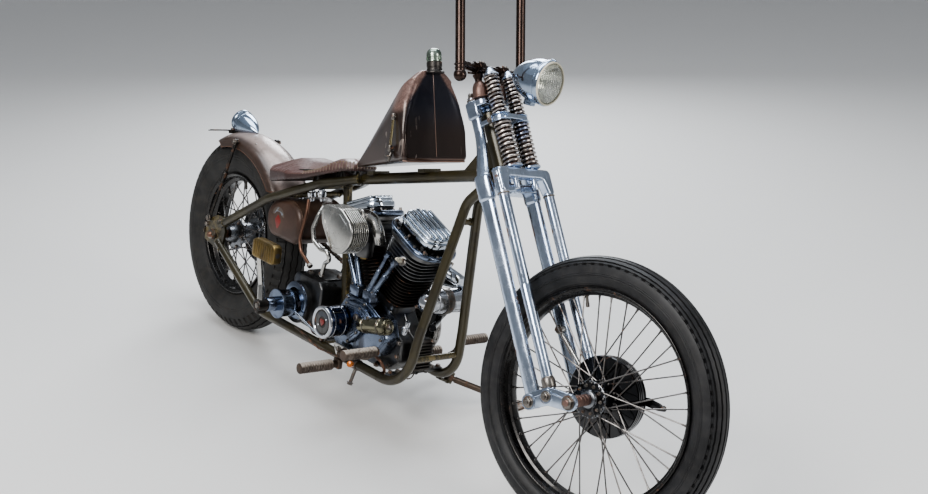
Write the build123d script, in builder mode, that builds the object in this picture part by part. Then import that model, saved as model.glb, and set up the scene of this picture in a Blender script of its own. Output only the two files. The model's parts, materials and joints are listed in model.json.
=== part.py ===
from build123d import *
import math
import os

# Chopper motorcycle: rigid frame, springer fork, 45 degree V-twin, parked on its side stand.
# Everything is modelled upright in the bike's own frame, in millimetres: +X forward, +Y to the
# rider's left, +Z up, zero on the ground below the rear axle. The parked pose at the end leans
# the whole machine to its left until both tyres and the stand's foot meet the floor.

# ---------------------------------------------------------------- driving dimensions
WHEELBASE = 1651.0
REAR_R, REAR_HALF = 335.0, 64.0          # 5.00-16 tyre: outer radius, half width
FRONT_R, FRONT_HALF = 348.0, 42.0        # 3.00-21 tyre
RAKE = 31.6                              # steering axis behind vertical, degrees
OFFSET = 112.0                           # front axle ahead of the steering axis
STEER_REST = 10.7                        # turned to the left, resting on the stop
LEAN = 11.2                              # leaning to the left on the side stand
TUBE_R = 14.0                            # frame tube, 28 mm
NECK_LOW, NECK_HIGH = 606.0, 782.0       # ends of the steering head, along the steering axis
LEG_Y = 100.0                            # fork legs from the middle plane
LEG_REAR_U, LEG_FRONT_U = 0.0, 53.0      # rigid and sprung leg ahead of the steering axis
YOKE_W = 612.0                           # crown of the sprung legs, along the steering axis
PERCH_W = 748.0                          # spring perch on the rigid legs
SPRING_Y, SPRING_U = 40.0, 58.0
RAIL_Z = 163.0                           # lower rails above the ground, upright
CRANK = (820.0, 0.0, 258.0)              # crankshaft centre
V_HALF = 22.5                            # each cylinder from the vertical
BARREL_LOW, BARREL_HIGH = 124.0, 234.0   # finned barrel, up the cylinder axis from the crank
HEAD_HIGH = 322.0                        # top of the cylinder head
COVER_HIGH = 388.0                       # top of the rocker cover
TANK_HALF = 119.0                        # fuel tank half width
PLATE_HOLE_R = 3.5                       # two holes of the plate bracket, 120 apart

RHO = math.radians(RAKE)
AXIS = (-math.sin(RHO), 0.0, math.cos(RHO))
AHEAD = (math.cos(RHO), 0.0, math.sin(RHO))
FRONT_AXLE = (WHEELBASE, 0.0, FRONT_R)
FOOT_O = tuple(FRONT_AXLE[i] - OFFSET * AHEAD[i] for i in range(3))   # axis point level with the axle

pieces = {}                              # name: (part, where it rides)


def tube(route, radius, bend=60.0):
    """A round bar along a bent route."""
    with BuildPart() as run:
        with BuildLine() as path:
            if len(route) == 2:
                Line(*route)
            else:
                FilletPolyline(*route, radius=bend)
        with BuildSketch(Plane(origin=path.line @ 0, z_dir=path.line % 0)):
            Circle(radius)
        sweep(path=path.line)
    return run.part


def drum(start, direction, length, radius):
    """A plain cylinder from a start point along a direction."""
    with BuildPart() as body:
        with BuildSketch(Plane(origin=start, z_dir=direction)):
            Circle(radius)
        extrude(amount=length)
    return body.part


def between(a, b, radius):
    """A straight bar between two points."""
    d = tuple(b[i] - a[i] for i in range(3))
    return drum(a, d, math.dist(a, b), radius)


# ================================================================ wheels (own centre, axle along Y)
def tyre(radius, half, bead_r, bead_y, wall):
    """A hollow tyre: crown arc, sidewall arc and two beads, open towards the rim."""
    mid = radius - half
    rise, run_ = mid - (bead_r + 8), half - (bead_y + 3)
    big = (rise * rise + run_ * run_) / (2 * run_)
    turn = math.asin(rise / big) / 2
    out_mid = (mid - big * math.sin(turn), half - big + big * math.cos(turn))
    inner = half - wall
    rise2, run2 = mid - (bead_r + 8), inner - (bead_y - 5)
    big2 = (rise2 * rise2 + run2 * run2) / (2 * run2)
    turn2 = math.asin(rise2 / big2) / 2
    in_mid = (mid - big2 * math.sin(turn2), inner - big2 + big2 * math.cos(turn2))
    with BuildPart() as body:
        with BuildSketch(Plane.XY):
            with BuildLine():
                CenterArc((mid, 0), half, 0, 90)
                ThreePointArc((mid, half), out_mid, (bead_r + 8, bead_y + 3))
                Polyline((bead_r + 8, bead_y + 3), (bead_r, bead_y), (bead_r, bead_y - 8), (bead_r + 8, bead_y - 5))
                ThreePointArc((bead_r + 8, bead_y - 5), in_mid, (mid, inner))
                CenterArc((mid, 0), inner, 90, -90)
                Line((mid + inner, 0), (radius, 0))
            make_face()
            mirror(about=Plane.XZ)
        revolve(axis=Axis.Y)
    return body.part


def rim(half_profile):
    with BuildPart() as body:
        with BuildSketch(Plane.XY):
            with BuildLine():
                Polyline(*half_profile, close=True)
            make_face()
            mirror(about=Plane.XZ)
        revolve(axis=Axis.Y)
    return body.part


def spokes(count, hub_r, hub_y, rim_r, rim_y, wire, lead):
    """Crossed wire spokes: each flange carries half, alternately outside and inside, leading and trailing."""
    with BuildPart() as body:
        for i in range(count):
            side = 1 if i % 2 == 0 else -1
            pair = i // 2
            outside = pair % 2 == 0
            turn = lead if outside else -lead
            at = 360.0 * i / count
            a, b = math.radians(at + turn), math.radians(at)
            y0 = side * (hub_y + (wire if outside else -wire))
            start = (hub_r * math.cos(a), y0, hub_r * math.sin(a))
            end = (rim_r * math.cos(b), side * rim_y, rim_r * math.sin(b))
            d = tuple(end[k] - start[k] for k in range(3))
            with BuildSketch(Plane(origin=start, z_dir=d)):
                Circle(wire / 2)
            extrude(amount=math.dist(start, end))
    return body.part


# rear wheel
rear_tyre = tyre(REAR_R, REAR_HALF, 200.0, 35.5, 10.0)
rear_rim = rim([(184, 0), (184, 13), (196, 20), (198, 37), (207, 41), (207, 46), (203, 47),
                (195, 41), (192, 24), (180, 16), (180, 0)])
with BuildPart() as rear_hub:
    with BuildSketch(Plane.XY):
        with BuildLine():
            # radius, lateral: right end cap, right flange, barrel, left flange, brake drum, left end
            Polyline((10.3, -70), (26, -70), (30, -58), (33, -46), (58, -42), (58, -38), (34, -34),
                     (34, 34), (58, 38), (60, 46), (100, 50), (104, 54), (104, 78), (98, 84),
                     (40, 84), (34, 92), (10.3, 92), close=True)
        make_face()
    revolve(axis=Axis.Y)
rear_spokes = spokes(40, 53.0, 40.0, 182.5, 7.0, 4.0, 38.0)

# toothed final sprocket on the drum
TEETH, PITCH = 48, 15.875
SPROCKET_R = PITCH / 2 / math.sin(math.pi / TEETH)
CHAIN_Y = 96.0
with BuildPart() as rear_sprocket:
    with BuildSketch(Plane(origin=(0, CHAIN_Y + 3, 0), x_dir=(1, 0, 0), z_dir=(0, -1, 0))):
        Circle(SPROCKET_R - 5)
        Circle(36, mode=Mode.SUBTRACT)
        with PolarLocations(78, 6):
            Circle(17, mode=Mode.SUBTRACT)
    extrude(amount=6)
    with BuildSketch(Plane(origin=(0, CHAIN_Y - 3, 0), x_dir=(1, 0, 0), z_dir=(0, -1, 0))):
        Circle(60)
        Circle(45, mode=Mode.SUBTRACT)
    extrude(amount=CHAIN_Y - 3 - 84.0)

# front wheel
front_tyre = tyre(FRONT_R, FRONT_HALF, 265.0, 24.0, 7.0)
front_rim = rim([(254, 0), (254, 9), (262, 13), (263, 24), (271, 29), (271, 33), (267, 34),
                 (261, 28), (258.5, 15), (250.5, 11), (250.5, 0)])
with BuildPart() as front_hub:
    with BuildSketch(Plane.XY):
        with BuildLine():
            Polyline((9.0, -44), (22, -44), (24, -36), (46, -34), (46, -30), (24, -26), (24, 20),
                     (46, 24), (98, 26), (102, 30), (102, 56), (94, 58), (94, 34), (30, 32), (9.0, 32), close=True)
        make_face()
    revolve(axis=Axis.Y)
# the left spokes leave the drum's inner face
with BuildPart() as front_spokes:
    for i in range(40):
        side = 1 if i % 2 == 0 else -1
        outside = (i // 2) % 2 == 0
        turn = 38.0 if outside else -38.0
        at = 360.0 * i / 40
        a, b = math.radians(at + turn), math.radians(at)
        if side > 0:
            y0 = 23.0 if outside else 17.0
        else:
            y0 = -(35.5 if outside else 28.5)
        start = (41.5 * math.cos(a), y0, 41.5 * math.sin(a))
        end = (252.5 * math.cos(b), side * 4.5, 252.5 * math.sin(b))
        d = tuple(end[k] - start[k] for k in range(3))
        with BuildSketch(Plane(origin=start, z_dir=d)):
            Circle(1.8)
        extrude(amount=math.dist(start, end))

# ================================================================ fork (u ahead, y left, w up the steering axis)
with BuildPart() as steering_stem:
    with BuildSketch(Plane.XY.offset(NECK_LOW - 22)):
        Circle(12.7)
    extrude(amount=NECK_HIGH - NECK_LOW + 62)
    with BuildSketch(Plane.XY.offset(NECK_LOW - 48)):
        Circle(19)
    extrude(amount=26)
    with BuildSketch(Plane.XY.offset(NECK_HIGH + 36)):
        Circle(17)
    extrude(amount=12)

# rigid legs: a flattened forging from the lower knuckle, bending in above the crown to the top clamp
leg_parts = []
for side in (-1, 1):
    with BuildPart() as leg:
        with BuildLine() as path:
            Line((LEG_REAR_U, side * LEG_Y, 26), (LEG_REAR_U, side * LEG_Y, 575))
        with BuildSketch(Plane(origin=path.line @ 0, x_dir=(1, 0, 0), z_dir=path.line % 0)):
            RectangleRounded(42, 20, 8)
        sweep(path=path.line)
    with BuildPart() as upper:
        with BuildSketch(Plane.XY.offset(575)):
            with Locations((LEG_REAR_U, side * LEG_Y)):
                RectangleRounded(42, 20, 8)
        with BuildSketch(Plane.XY.offset(655)):
            with Locations((LEG_REAR_U - 5, side * 70)):
                RectangleRounded(38, 20, 8)
        loft(ruled=True)
        with BuildSketch(Plane.XY.offset(655)):
            with Locations((LEG_REAR_U - 5, side * 70)):
                RectangleRounded(38, 20, 8)
        with BuildSketch(Plane.XY.offset(735)):
            with Locations((-10, side * 52)):
                RectangleRounded(30, 18, 8)
        loft(ruled=True)
        with BuildSketch(Plane.XY.offset(735)):
            with Locations((-10, side * 52)):
                RectangleRounded(30, 18, 8)
        extrude(amount=82)
    with BuildPart() as cap:
        with Locations((-10, side * 52, 820)):
            Cylinder(11, 10)
    leg_parts += [leg.part, upper.part, cap.part]
with BuildPart() as rigid_fork:
    for piece in leg_parts:
        add(piece)
    # lower crown under the steering head
    with BuildSketch(Plane.XY.offset(NECK_LOW - 46)):
        with Locations((2, 0)):
            RectangleRounded(46, 2 * LEG_Y + 10, 18)
        Circle(19.0, mode=Mode.SUBTRACT)
    extrude(amount=24)
    # top clamp over the steering head
    with BuildSketch(Plane.XY.offset(NECK_HIGH + 14)):
        with Locations((5, 0)):
            RectangleRounded(60, 126, 18)
        Circle(12.7, mode=Mode.SUBTRACT)
    extrude(amount=20)
    # knuckles that carry the rockers
    for side in (-1, 1):
        with BuildSketch(Plane(origin=(LEG_REAR_U - 1, side * (LEG_Y - 13), 26), x_dir=(1, 0, 0), z_dir=(0, side, 0))):
            Circle(19)
        extrude(amount=27)
    # spring perch ahead of the steering head, on two arms
    with BuildSketch(Plane.XY.offset(PERCH_W - 7)):
        with Locations((SPRING_U, 0)):
            RectangleRounded(46, 2 * SPRING_Y + 46, 22)
        with Locations((14, -52), (14, 52)):
            Rectangle(56, 14)
        with Locations((SPRING_U, -SPRING_Y), (SPRING_U, SPRING_Y)):
            Circle(7.5, mode=Mode.SUBTRACT)
    extrude(amount=14)

# sprung legs with their inverted U crown
with BuildPart() as sprung_fork:
    for side in (-1, 1):
        with BuildSketch(Plane.XY.offset(44)):
            with Locations((LEG_FRONT_U, side * LEG_Y)):
                Circle(14)
        extrude(amount=YOKE_W - 14 - 44)
        with BuildSketch(Plane(origin=(LEG_FRONT_U, side * (LEG_Y - 9), 28), x_dir=(1, 0, 0), z_dir=(0, side, 0))):
            Circle(17)
        extrude(amount=16)
    with BuildSketch(Plane(origin=(LEG_FRONT_U, 0, 0), x_dir=(0, 1, 0), z_dir=(1, 0, 0))):
        with BuildLine():
            Polyline((-113, YOKE_W - 70), (-113, YOKE_W - 6), (-105, YOKE_W), (105, YOKE_W), (113, YOKE_W - 6),
                     (113, YOKE_W - 70), (88, YOKE_W - 70), (72, YOKE_W - 24), (-72, YOKE_W - 24), (-88, YOKE_W - 70), close=True)
        make_face()
    extrude(amount=14, both=True)
    for side in (-1, 1):
        with BuildSketch(Plane.XY.offset(YOKE_W)):
            with Locations((SPRING_U, side * SPRING_Y)):
                Circle(27)
        extrude(amount=5)
        # rod up through both springs
        with BuildSketch(Plane.XY.offset(YOKE_W)):
            with Locations((SPRING_U, side * SPRING_Y)):
                Circle(6.5)
        extrude(amount=868 - YOKE_W)
        with BuildSketch(Plane.XY.offset(868)):
            with Locations((SPRING_U, side * SPRING_Y)):
                RegularPolygon(13, 6)
        extrude(amount=10)
        with BuildSketch(Plane.XY.offset(878)):
            with Locations((SPRING_U, side * SPRING_Y)):
                Circle(8)
        extrude(amount=8)


def coil(low, high, turns, outer, inner):
    """A coil spring's closed outer shape, waisted between its turns."""
    step = (high - low) / turns
    with BuildPart() as body:
        with BuildSketch(Plane.XZ):
            with BuildLine():
                pts = [(inner, low), (outer - 5, low)]
                for k in range(turns):
                    z = low + k * step
                    pts += [(outer, z + 0.3 * step), (outer, z + 0.7 * step), (outer - 5, z + step)]
                pts.append((inner, high))
                Polyline(*pts, close=True)
            make_face()
        revolve(axis=Axis.Z)
    return body.part


coil_low = coil(YOKE_W + 5.5, PERCH_W - 7.5, 11, 24.0, 8.0)
coil_high = coil(PERCH_W + 7.5, 867.5, 10, 21.0, 8.0)
with BuildPart() as lower_springs:
    for side in (-1, 1):
        with Locations((SPRING_U, side * SPRING_Y, 0)):
            add(coil_low)
with BuildPart() as upper_springs:
    for side in (-1, 1):
        with Locations((SPRING_U, side * SPRING_Y, 0)):
            add(coil_high)

# rockers from the rigid legs' knuckles past the sprung legs to the axle
with BuildPart() as fork_rockers:
    for side in (-1, 1):
        face = Plane(origin=(0, side * (LEG_Y + 14.6), 0), x_dir=(1, 0, 0), z_dir=(0, side, 0))
        flip = -1 if side > 0 else 1
        with BuildSketch(face):
            with BuildLine():
                Polyline((LEG_REAR_U - 4, flip * 44), (62, flip * 46), (126, flip * 14), (122, flip * -14), (100, flip * -14),
                         (LEG_REAR_U - 6, flip * 10), close=True)
            make_face()
        extrude(amount=9)
        for u, w, r in ((LEG_REAR_U - 1, 26, 20), (LEG_FRONT_U, 28, 19), (OFFSET, 0, 21)):
            with BuildSketch(face):
                with Locations((u, flip * w)):
                    Circle(r)
            extrude(amount=11)
        with BuildSketch(face):
            with Locations((OFFSET, 0)):
                Circle(8.2)
        extrude(amount=12, mode=Mode.SUBTRACT)
with BuildPart() as front_axle:
    add(drum((OFFSET, -139, 0), (0, 1, 0), 278, 8.0))
    for a, b, r in ((-114.3, -46, 14.0), (-136, -126.2, 15.0), (75, 114.3, 14.0), (126.2, 136, 15.0)):
        with BuildSketch(Plane(origin=(OFFSET, a, 0), x_dir=(1, 0, 0), z_dir=(0, 1, 0))):
            Circle(r)
        extrude(amount=b - a)
with BuildPart() as front_brake_plate:
    add(drum((OFFSET, 64, 0), (0, 1, 0), 6, 99.0))
    with BuildSketch(Plane(origin=(OFFSET, 59.5, 0), x_dir=(1, 0, 0), z_dir=(0, 1, 0))):
        Circle(88)
        Circle(15, mode=Mode.SUBTRACT)
    extrude(amount=5)
    add(drum((OFFSET, 56, 0), (0, 1, 0), 22, 8.2), mode=Mode.SUBTRACT)
    # lever at the plate's rim
    with BuildSketch(Plane(origin=(OFFSET, 70, 0), x_dir=(1, 0, 0), z_dir=(0, -1, 0))):
        with BuildLine():
            Polyline((70, -20), (128, -52), (136, -62), (124, -64), (66, -40), close=True)
        make_face()
    extrude(amount=-6)
with BuildPart() as torque_arm:
    add(between((OFFSET - 62, 78, 56), (LEG_REAR_U + 2, 78, 196), 5.5))
    add(drum((OFFSET - 62, 70.3, 56), (0, 1, 0), 15, 11))
    add(drum((LEG_REAR_U + 2, 73, 196), (0, 1, 0), 16.7, 12))

# handlebars: a cross bar between two tall uprights that end below it in a ball
BAR_U, BAR_W, BAR_TILT, BAR_Y = 37.6, 900.0, 0.30, 131.3
with BuildPart() as handlebars:
    for side in (-1, 1):
        foot = (BAR_U - BAR_TILT * 32, side * BAR_Y, BAR_W - 32)
        add(between(foot, (BAR_U + BAR_TILT * 362, side * (BAR_Y + 2.3), BAR_W + 362), 12.7))
        with Locations(foot):
            Sphere(17)
    add(tube([(BAR_U - 1.5, -BAR_Y, BAR_W - 5), (27, -80, BAR_W - 3), (27, 80, BAR_W - 3), (BAR_U - 1.5, BAR_Y, BAR_W - 5)], 12.7, 60))
with BuildPart() as bar_risers:
    for side in (-1, 1):
        add(between((18, side * 50, NECK_HIGH + 36), (26, side * 50, BAR_W - 16), 12))
        with BuildSketch(Plane(origin=(27, side * 50 - 13, BAR_W - 3), x_dir=(1, 0, 0), z_dir=(0, 1, 0))):
            Circle(17)
            Circle(12.7, mode=Mode.SUBTRACT)
        extrude(amount=26)

for name, part in (("steering_stem", steering_stem.part), ("rigid_fork", rigid_fork.part), ("sprung_fork", sprung_fork.part),
                   ("lower_springs", lower_springs.part), ("upper_springs", upper_springs.part), ("fork_rockers", fork_rockers.part),
                   ("front_axle", front_axle.part), ("front_brake_plate", front_brake_plate.part), ("torque_arm", torque_arm.part),
                   ("handlebars", handlebars.part), ("bar_risers", bar_risers.part)):
    pieces[name] = (part, "fork")
for name, part in (("front_tyre", front_tyre), ("front_rim", front_rim), ("front_hub", front_hub.part),
                   ("front_spokes", front_spokes.part)):
    pieces[name] = (part, "front_wheel")
for name, part in (("rear_tyre", rear_tyre), ("rear_rim", rear_rim), ("rear_hub", rear_hub.part),
                   ("rear_spokes", rear_spokes), ("rear_sprocket", rear_sprocket.part)):
    pieces[name] = (part, "rear_wheel")


# ================================================================ frame
HUB_Z = REAR_R
DOWN = [(1216, 16, 802), (1128, 21, 712), (1078, 78, 330), (1060, 92, RAIL_Z), (950, 96, RAIL_Z)]


def sided(route, side):
    return [(x, side * y, z) for x, y, z in route]


neck_plane = Plane(origin=FOOT_O, x_dir=AHEAD, z_dir=AXIS)
with BuildPart() as frame_backbone:
    with BuildSketch(neck_plane.offset(NECK_LOW)):
        Circle(24)
    extrude(amount=NECK_HIGH - NECK_LOW)
    for low, high in ((NECK_LOW, NECK_LOW + 16), (NECK_HIGH - 16, NECK_HIGH)):
        with BuildSketch(neck_plane.offset(low)):
            Circle(28)
        extrude(amount=high - low)
    add(between((1222, 0, 810), (640, 0, 668), 17))
    # gusset between backbone and steering head
    with BuildSketch(Plane(origin=(0, 5, 0), x_dir=(1, 0, 0), z_dir=(0, -1, 0))):
        with BuildLine():
            Polyline((1225, 812), (1065, 773), (1172, 905), close=True)
        make_face()
    extrude(amount=10)
    # bore of the steering head
    with BuildSketch(neck_plane.offset(NECK_LOW - 5)):
        Circle(18)
    extrude(amount=NECK_HIGH - NECK_LOW + 10, mode=Mode.SUBTRACT)
with BuildPart() as frame_seat_post:
    add(between((554, 0, 646), (640, 0, 176), 14))
    add(between((554, -66, 640), (554, 66, 640), 11))
    add(between((642, -102, 166), (642, 102, 166), 11))
for name_, side in (("right", -1), ("left", 1)):
    with BuildPart() as down:
        add(tube(sided(DOWN, side), TUBE_R, [60, 220, 110]))
    pieces[f"frame_downtube_{name_}"] = (down.part, "frame")
    with BuildPart() as rail:
        add(tube(sided([(949, 96, RAIL_Z), (322, 114, RAIL_Z), (34, 123, 318)], side), TUBE_R, 170))
    pieces[f"frame_rail_{name_}"] = (rail.part, "frame")
    with BuildPart() as stay:
        add(tube(sided([(640, 19, 668), (523, 80, 628), (300, 112, 532), (46, 124, 380)], side), TUBE_R, [90, 110]))
    pieces[f"frame_stay_{name_}"] = (stay.part, "frame")
with BuildPart() as frame_crossmembers:
    add(between((1066, -88, 250), (1066, 88, 250), 9))
    add(between((1112, -29, 655), (1112, 29, 655), 9))
    add(between((330, -100, 166), (330, 100, 166), 10))
    add(between((452, -84, 603), (452, 84, 603), 9))
    add(between((402, -84, 566), (402, 84, 566), 9))
with BuildPart() as axle_plates:
    for side in (-1, 1):
        with BuildSketch(Plane(origin=(0, side * 121, 0), x_dir=(1, 0, 0), z_dir=(0, -1, 0))):
            with BuildLine():
                Polyline((-56, 306), (30, 292), (62, 306), (74, 362), (52, 408), (10, 404), (-52, 372), close=True)
            make_face()
            with Locations((0, HUB_Z)):
                SlotOverall(46, 19.6, mode=Mode.SUBTRACT)
        extrude(amount=4, both=True)
with BuildPart() as rear_axle:
    add(drum((0, -146, HUB_Z), (0, 1, 0), 292, 9.5))
    for a, b, r in ((-138, -125.3, 18), (-116.7, -72, 15), (100, 116.7, 15), (125.3, 138, 18)):
        with BuildSketch(Plane(origin=(0, a, HUB_Z), x_dir=(1, 0, 0), z_dir=(0, 1, 0))):
            Circle(r)
        extrude(amount=b - a)

# ================================================================ engine
with BuildPart() as crankcase:
    with BuildSketch(Plane(origin=CRANK, x_dir=(1, 0, 0), z_dir=(0, -1, 0))):
        Circle(104)
        with BuildLine():
            Polyline((-118, 28), (-74, 88), (-20, 94), (20, 94), (74, 88), (118, 28), (150, 10), (150, -52), (104, -92), (-110, -92), (-140, -40), close=True)
        make_face()
    extrude(amount=46, both=True)
    for sgn in (-1, 1):
        axis = (sgn * math.sin(math.radians(V_HALF)), 0, math.cos(math.radians(V_HALF)))
        with BuildSketch(Plane(origin=CRANK, x_dir=(math.cos(math.radians(V_HALF)), 0, -sgn * math.sin(math.radians(V_HALF))), z_dir=axis).offset(70)):
            RectangleRounded(104, 91, 18)
        extrude(amount=BARREL_LOW - 70.3)
with BuildPart() as gear_case:
    with BuildSketch(Plane(origin=(CRANK[0], -46.3, CRANK[2]), x_dir=(1, 0, 0), z_dir=(0, -1, 0))):
        with BuildLine():
            Polyline((-98, -50), (-92, 40), (-52, 96), (40, 98), (118, 66), (140, 14), (100, -46), (20, -72), (-60, -74), close=True)
        make_face()
        fillet(vertices(), 14)
    extrude(amount=62)
with BuildPart() as cam_cover:
    with BuildSketch(Plane(origin=(CRANK[0], -108.6, CRANK[2]), x_dir=(1, 0, 0), z_dir=(0, -1, 0))):
        with BuildLine():
            Polyline((-70, 46), (-30, 88), (40, 90), (92, 70), (36, -4), (-6, -40), (-62, -36), close=True)
        make_face()
        fillet(vertices(), 10)
    extrude(amount=22)
with BuildPart() as timer_drum:
    add(drum((781, -130.9, 280), (0, -1, 0), 59, 45))
    with BuildSketch(Plane(origin=(781, -189.9, 280), x_dir=(1, 0, 0), z_dir=(0, -1, 0))):
        Circle(48)
    extrude(amount=8)
with BuildPart() as tappet_blocks:
    for x in (788, 852):
        with Locations((x, -88, 372)):
            Box(44, 32, 30)
    for x0, x1, z1, sgn in ((778, 700, 500, -1), (800, 736, 514, -1), (840, 904, 514, 1), (862, 940, 500, 1)):
        add(between((x0, -86, 384), (x1, -84, z1), 7.5))

for name_, sgn in (("front", 1), ("rear", -1)):
    a = math.radians(V_HALF)
    up = Plane(origin=CRANK, x_dir=(math.cos(a), 0, -sgn * math.sin(a)), z_dir=(sgn * math.sin(a), 0, math.cos(a)))
    with BuildPart() as barrel:
        with BuildSketch(up.offset(BARREL_LOW)):
            Circle(46)
        extrude(amount=BARREL_HIGH - BARREL_LOW - 0.3)
        for k in range(8):
            with BuildSketch(up.offset(BARREL_LOW + 12 + k * 12)):
                RectangleRounded(136, 128, 40)
            extrude(amount=4.5)
        # the fins stop short of the other cylinder's
        with Locations((CRANK[0] - sgn * 148.5, 0, CRANK[2] + 200)):
            Box(300, 200, 500, mode=Mode.SUBTRACT)
    pieces[f"cylinder_{name_}"] = (barrel.part, "frame")
    with BuildPart() as head:
        with BuildSketch(up.offset(BARREL_HIGH)):
            RectangleRounded(118, 112, 30)
        extrude(amount=HEAD_HIGH - BARREL_HIGH - 0.3)
        for k in range(5):
            with BuildSketch(up.offset(BARREL_HIGH + 4 + k * 12)):
                RectangleRounded(158, 138, 46)
            extrude(amount=5)
        with BuildSketch(up.offset(HEAD_HIGH - 14)):
            RectangleRounded(176, 142, 46)
        extrude(amount=13.7)
    pieces[f"cylinder_head_{name_}"] = (head.part, "frame")
    with BuildPart() as cover:
        with BuildSketch(up.offset(HEAD_HIGH)):
            RectangleRounded(204, 154, 56)
        extrude(amount=15)
        with BuildSketch(up.offset(HEAD_HIGH + 15)):
            RectangleRounded(184, 128, 46)
        extrude(amount=COVER_HIGH - HEAD_HIGH - 21)
        with BuildSketch(up.offset(COVER_HIGH - 6)):
            RectangleRounded(170, 104, 30)
        extrude(amount=6)
    pieces[f"rocker_cover_{name_}"] = (cover.part, "frame")
with BuildPart() as generator:
    add(drum((1012, -2, 396), (0, 1, 0), 112, 36))
    with Locations((1012, -2, 396)):
        Sphere(36)
    with BuildSketch(Plane(origin=(0, 40, 0), x_dir=(1, 0, 0), z_dir=(0, -1, 0))):
        with BuildLine():
            Polyline((934, 330), (1000, 372), (1024, 372), (966, 300), close=True)
        make_face()
    extrude(amount=30)
with BuildPart() as carburettor:
    with Locations((792, -92, 545)):
        Cylinder(24, 66, rotation=(90, 0, 0))
    with Locations((792, -84, 498)):
        Cylinder(26, 50)
    add(between((792, -58, 552), (792, 20, 552), 17))
    add(between((792, 8, 552), (745, 8, 520), 15))
    add(between((792, 8, 552), (842, 8, 520), 15))
with BuildPart() as air_cleaner:
    with BuildSketch(Plane(origin=(0, -130, 0), x_dir=(1, 0, 0), z_dir=(0, -1, 0))):
        with BuildLine():
            Polyline((700, 614), (800, 618), (862, 582), (862, 528), (818, 488), (770, 490), (712, 560), close=True)
        make_face()
        fillet(vertices().sort_by(Axis.X)[1:], 22)
    extrude(amount=62)
with BuildPart() as exhaust_pipes:
    # both sweep round to the left and run back above the primary cover
    add(tube([(1003, 44, 486), (1036, 62, 470), (1012, 136, 436), (880, 138, 418), (150, 150, 414)], 18, [22, 50, 90]))
    add(tube([(632, 44, 480), (602, 74, 474), (566, 146, 462), (470, 149, 458), (230, 150, 458)], 18, [22, 50, 60]))
    for x in (300, 520):
        add(between((x, 150, 414), (x, 150, 458), 6))
with BuildPart() as engine_mounts:
    for x in (667.5, 985.3):
        with Locations((x, 0, 181.5)):
            Box(24, 196, 8)
with BuildPart() as voltage_regulator:
    with Locations((1008, 0, 238)):
        Box(36, 62, 92)
with BuildPart() as transmission:
    with Locations((512, 0, 252)):
        Box(160, 150, 156)
with BuildPart() as kicker_cover:
    for a, b, r in ((-75.3, -92, 66), (-92, -150, 42), (-150, -160, 46), (-160, -196, 22)):
        with BuildSketch(Plane(origin=(480, a, 240), x_dir=(1, 0, 0), z_dir=(0, -1, 0))):
            Circle(r)
        extrude(amount=abs(b - a))
with BuildPart() as kick_starter:
    with BuildSketch(Plane(origin=(480, -196.3, 240), x_dir=(1, 0, 0), z_dir=(0, -1, 0))):
        Circle(19)
    extrude(amount=34)
    add(between((480, -213, 240), (472, -236, 420), 10))
    with Locations((528, -245, 426)):
        Box(124, 30, 60)
with BuildPart() as oil_tank:
    with BuildSketch(Plane(origin=(0, -92, 0), x_dir=(1, 0, 0), z_dir=(0, -1, 0))):
        with BuildLine():
            Polyline((262, 440), (262, 492), (306, 538), (400, 546), (456, 512), (456, 436), (426, 410), (292, 410), close=True)
        make_face()
        fillet(vertices(), 22)
    extrude(amount=-184)
    with BuildSketch(Plane(origin=(0, 0, HUB_Z), x_dir=(1, 0, 0), z_dir=(0, -1, 0))):
        Circle(352)
    extrude(amount=78, both=True, mode=Mode.SUBTRACT)

# ================================================================ tank, seat, fender, lights
TANK_FRONT = Plane(origin=(958, 0, 787), x_dir=(0, 1, 0), z_dir=(math.cos(math.radians(16)), 0, math.sin(math.radians(16))))
with BuildPart() as fuel_tank:
    with BuildSketch(TANK_FRONT):
        with BuildLine():
            Polyline((-96, 254), (-TANK_HALF, 190), (-TANK_HALF, 0), (TANK_HALF, 0), (TANK_HALF, 190), (96, 254))
            ThreePointArc((96, 254), (0, 266), (-96, 254))
        make_face()
    with BuildSketch(Plane(origin=(652, 0, 708), x_dir=(0, 1, 0), z_dir=(math.cos(math.radians(16)), 0, math.sin(math.radians(16))))):
        with BuildLine():
            Polyline((-34, 20), (-46, 10), (-46, 0), (46, 0), (46, 10), (34, 20))
            ThreePointArc((34, 20), (0, 24), (-34, 20))
        make_face()
    loft(ruled=True)
with BuildPart() as tank_mounts:
    for x, z in ((930, 757), (700, 700)):
        with Locations(Location((x, 0, z), (0, -13.7, 0))):
            Box(30, 60, 12)
with BuildPart() as fuel_cap:
    add(drum((893, 0, 1036), (-0.2756, 0, 0.9613), 24, 22))
    add(drum((886.5, 0, 1058.6), (-0.2756, 0, 0.9613), 38, 21.5))
    fillet(fuel_cap.edges().filter_by(GeomType.CIRCLE).sort_by(Axis.Z)[-1:], 13)
with BuildPart() as seat_pan:
    with BuildSketch(Plane(origin=(455, 0, 654), x_dir=(1, 0, 0.2), z_dir=(-0.2, 0, 1))):
        with BuildLine():
            Polyline((-182, -88), (-187, 0), (-182, 88), (-58, 109), (104, 63), (166, 33.5), (170, 0), (166, -33.5), (104, -63), (-58, -109), close=True)
        make_face()
        fillet(vertices(), 20)
    extrude(amount=5)
    # posts down to the cross tubes
    for side in (-1, 1):
        add(between((452, side * 50, 611.5), (452, side * 50, 656), 8))
        add(between((554, side * 36, 649), (554, side * 36, 676), 8))
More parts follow.
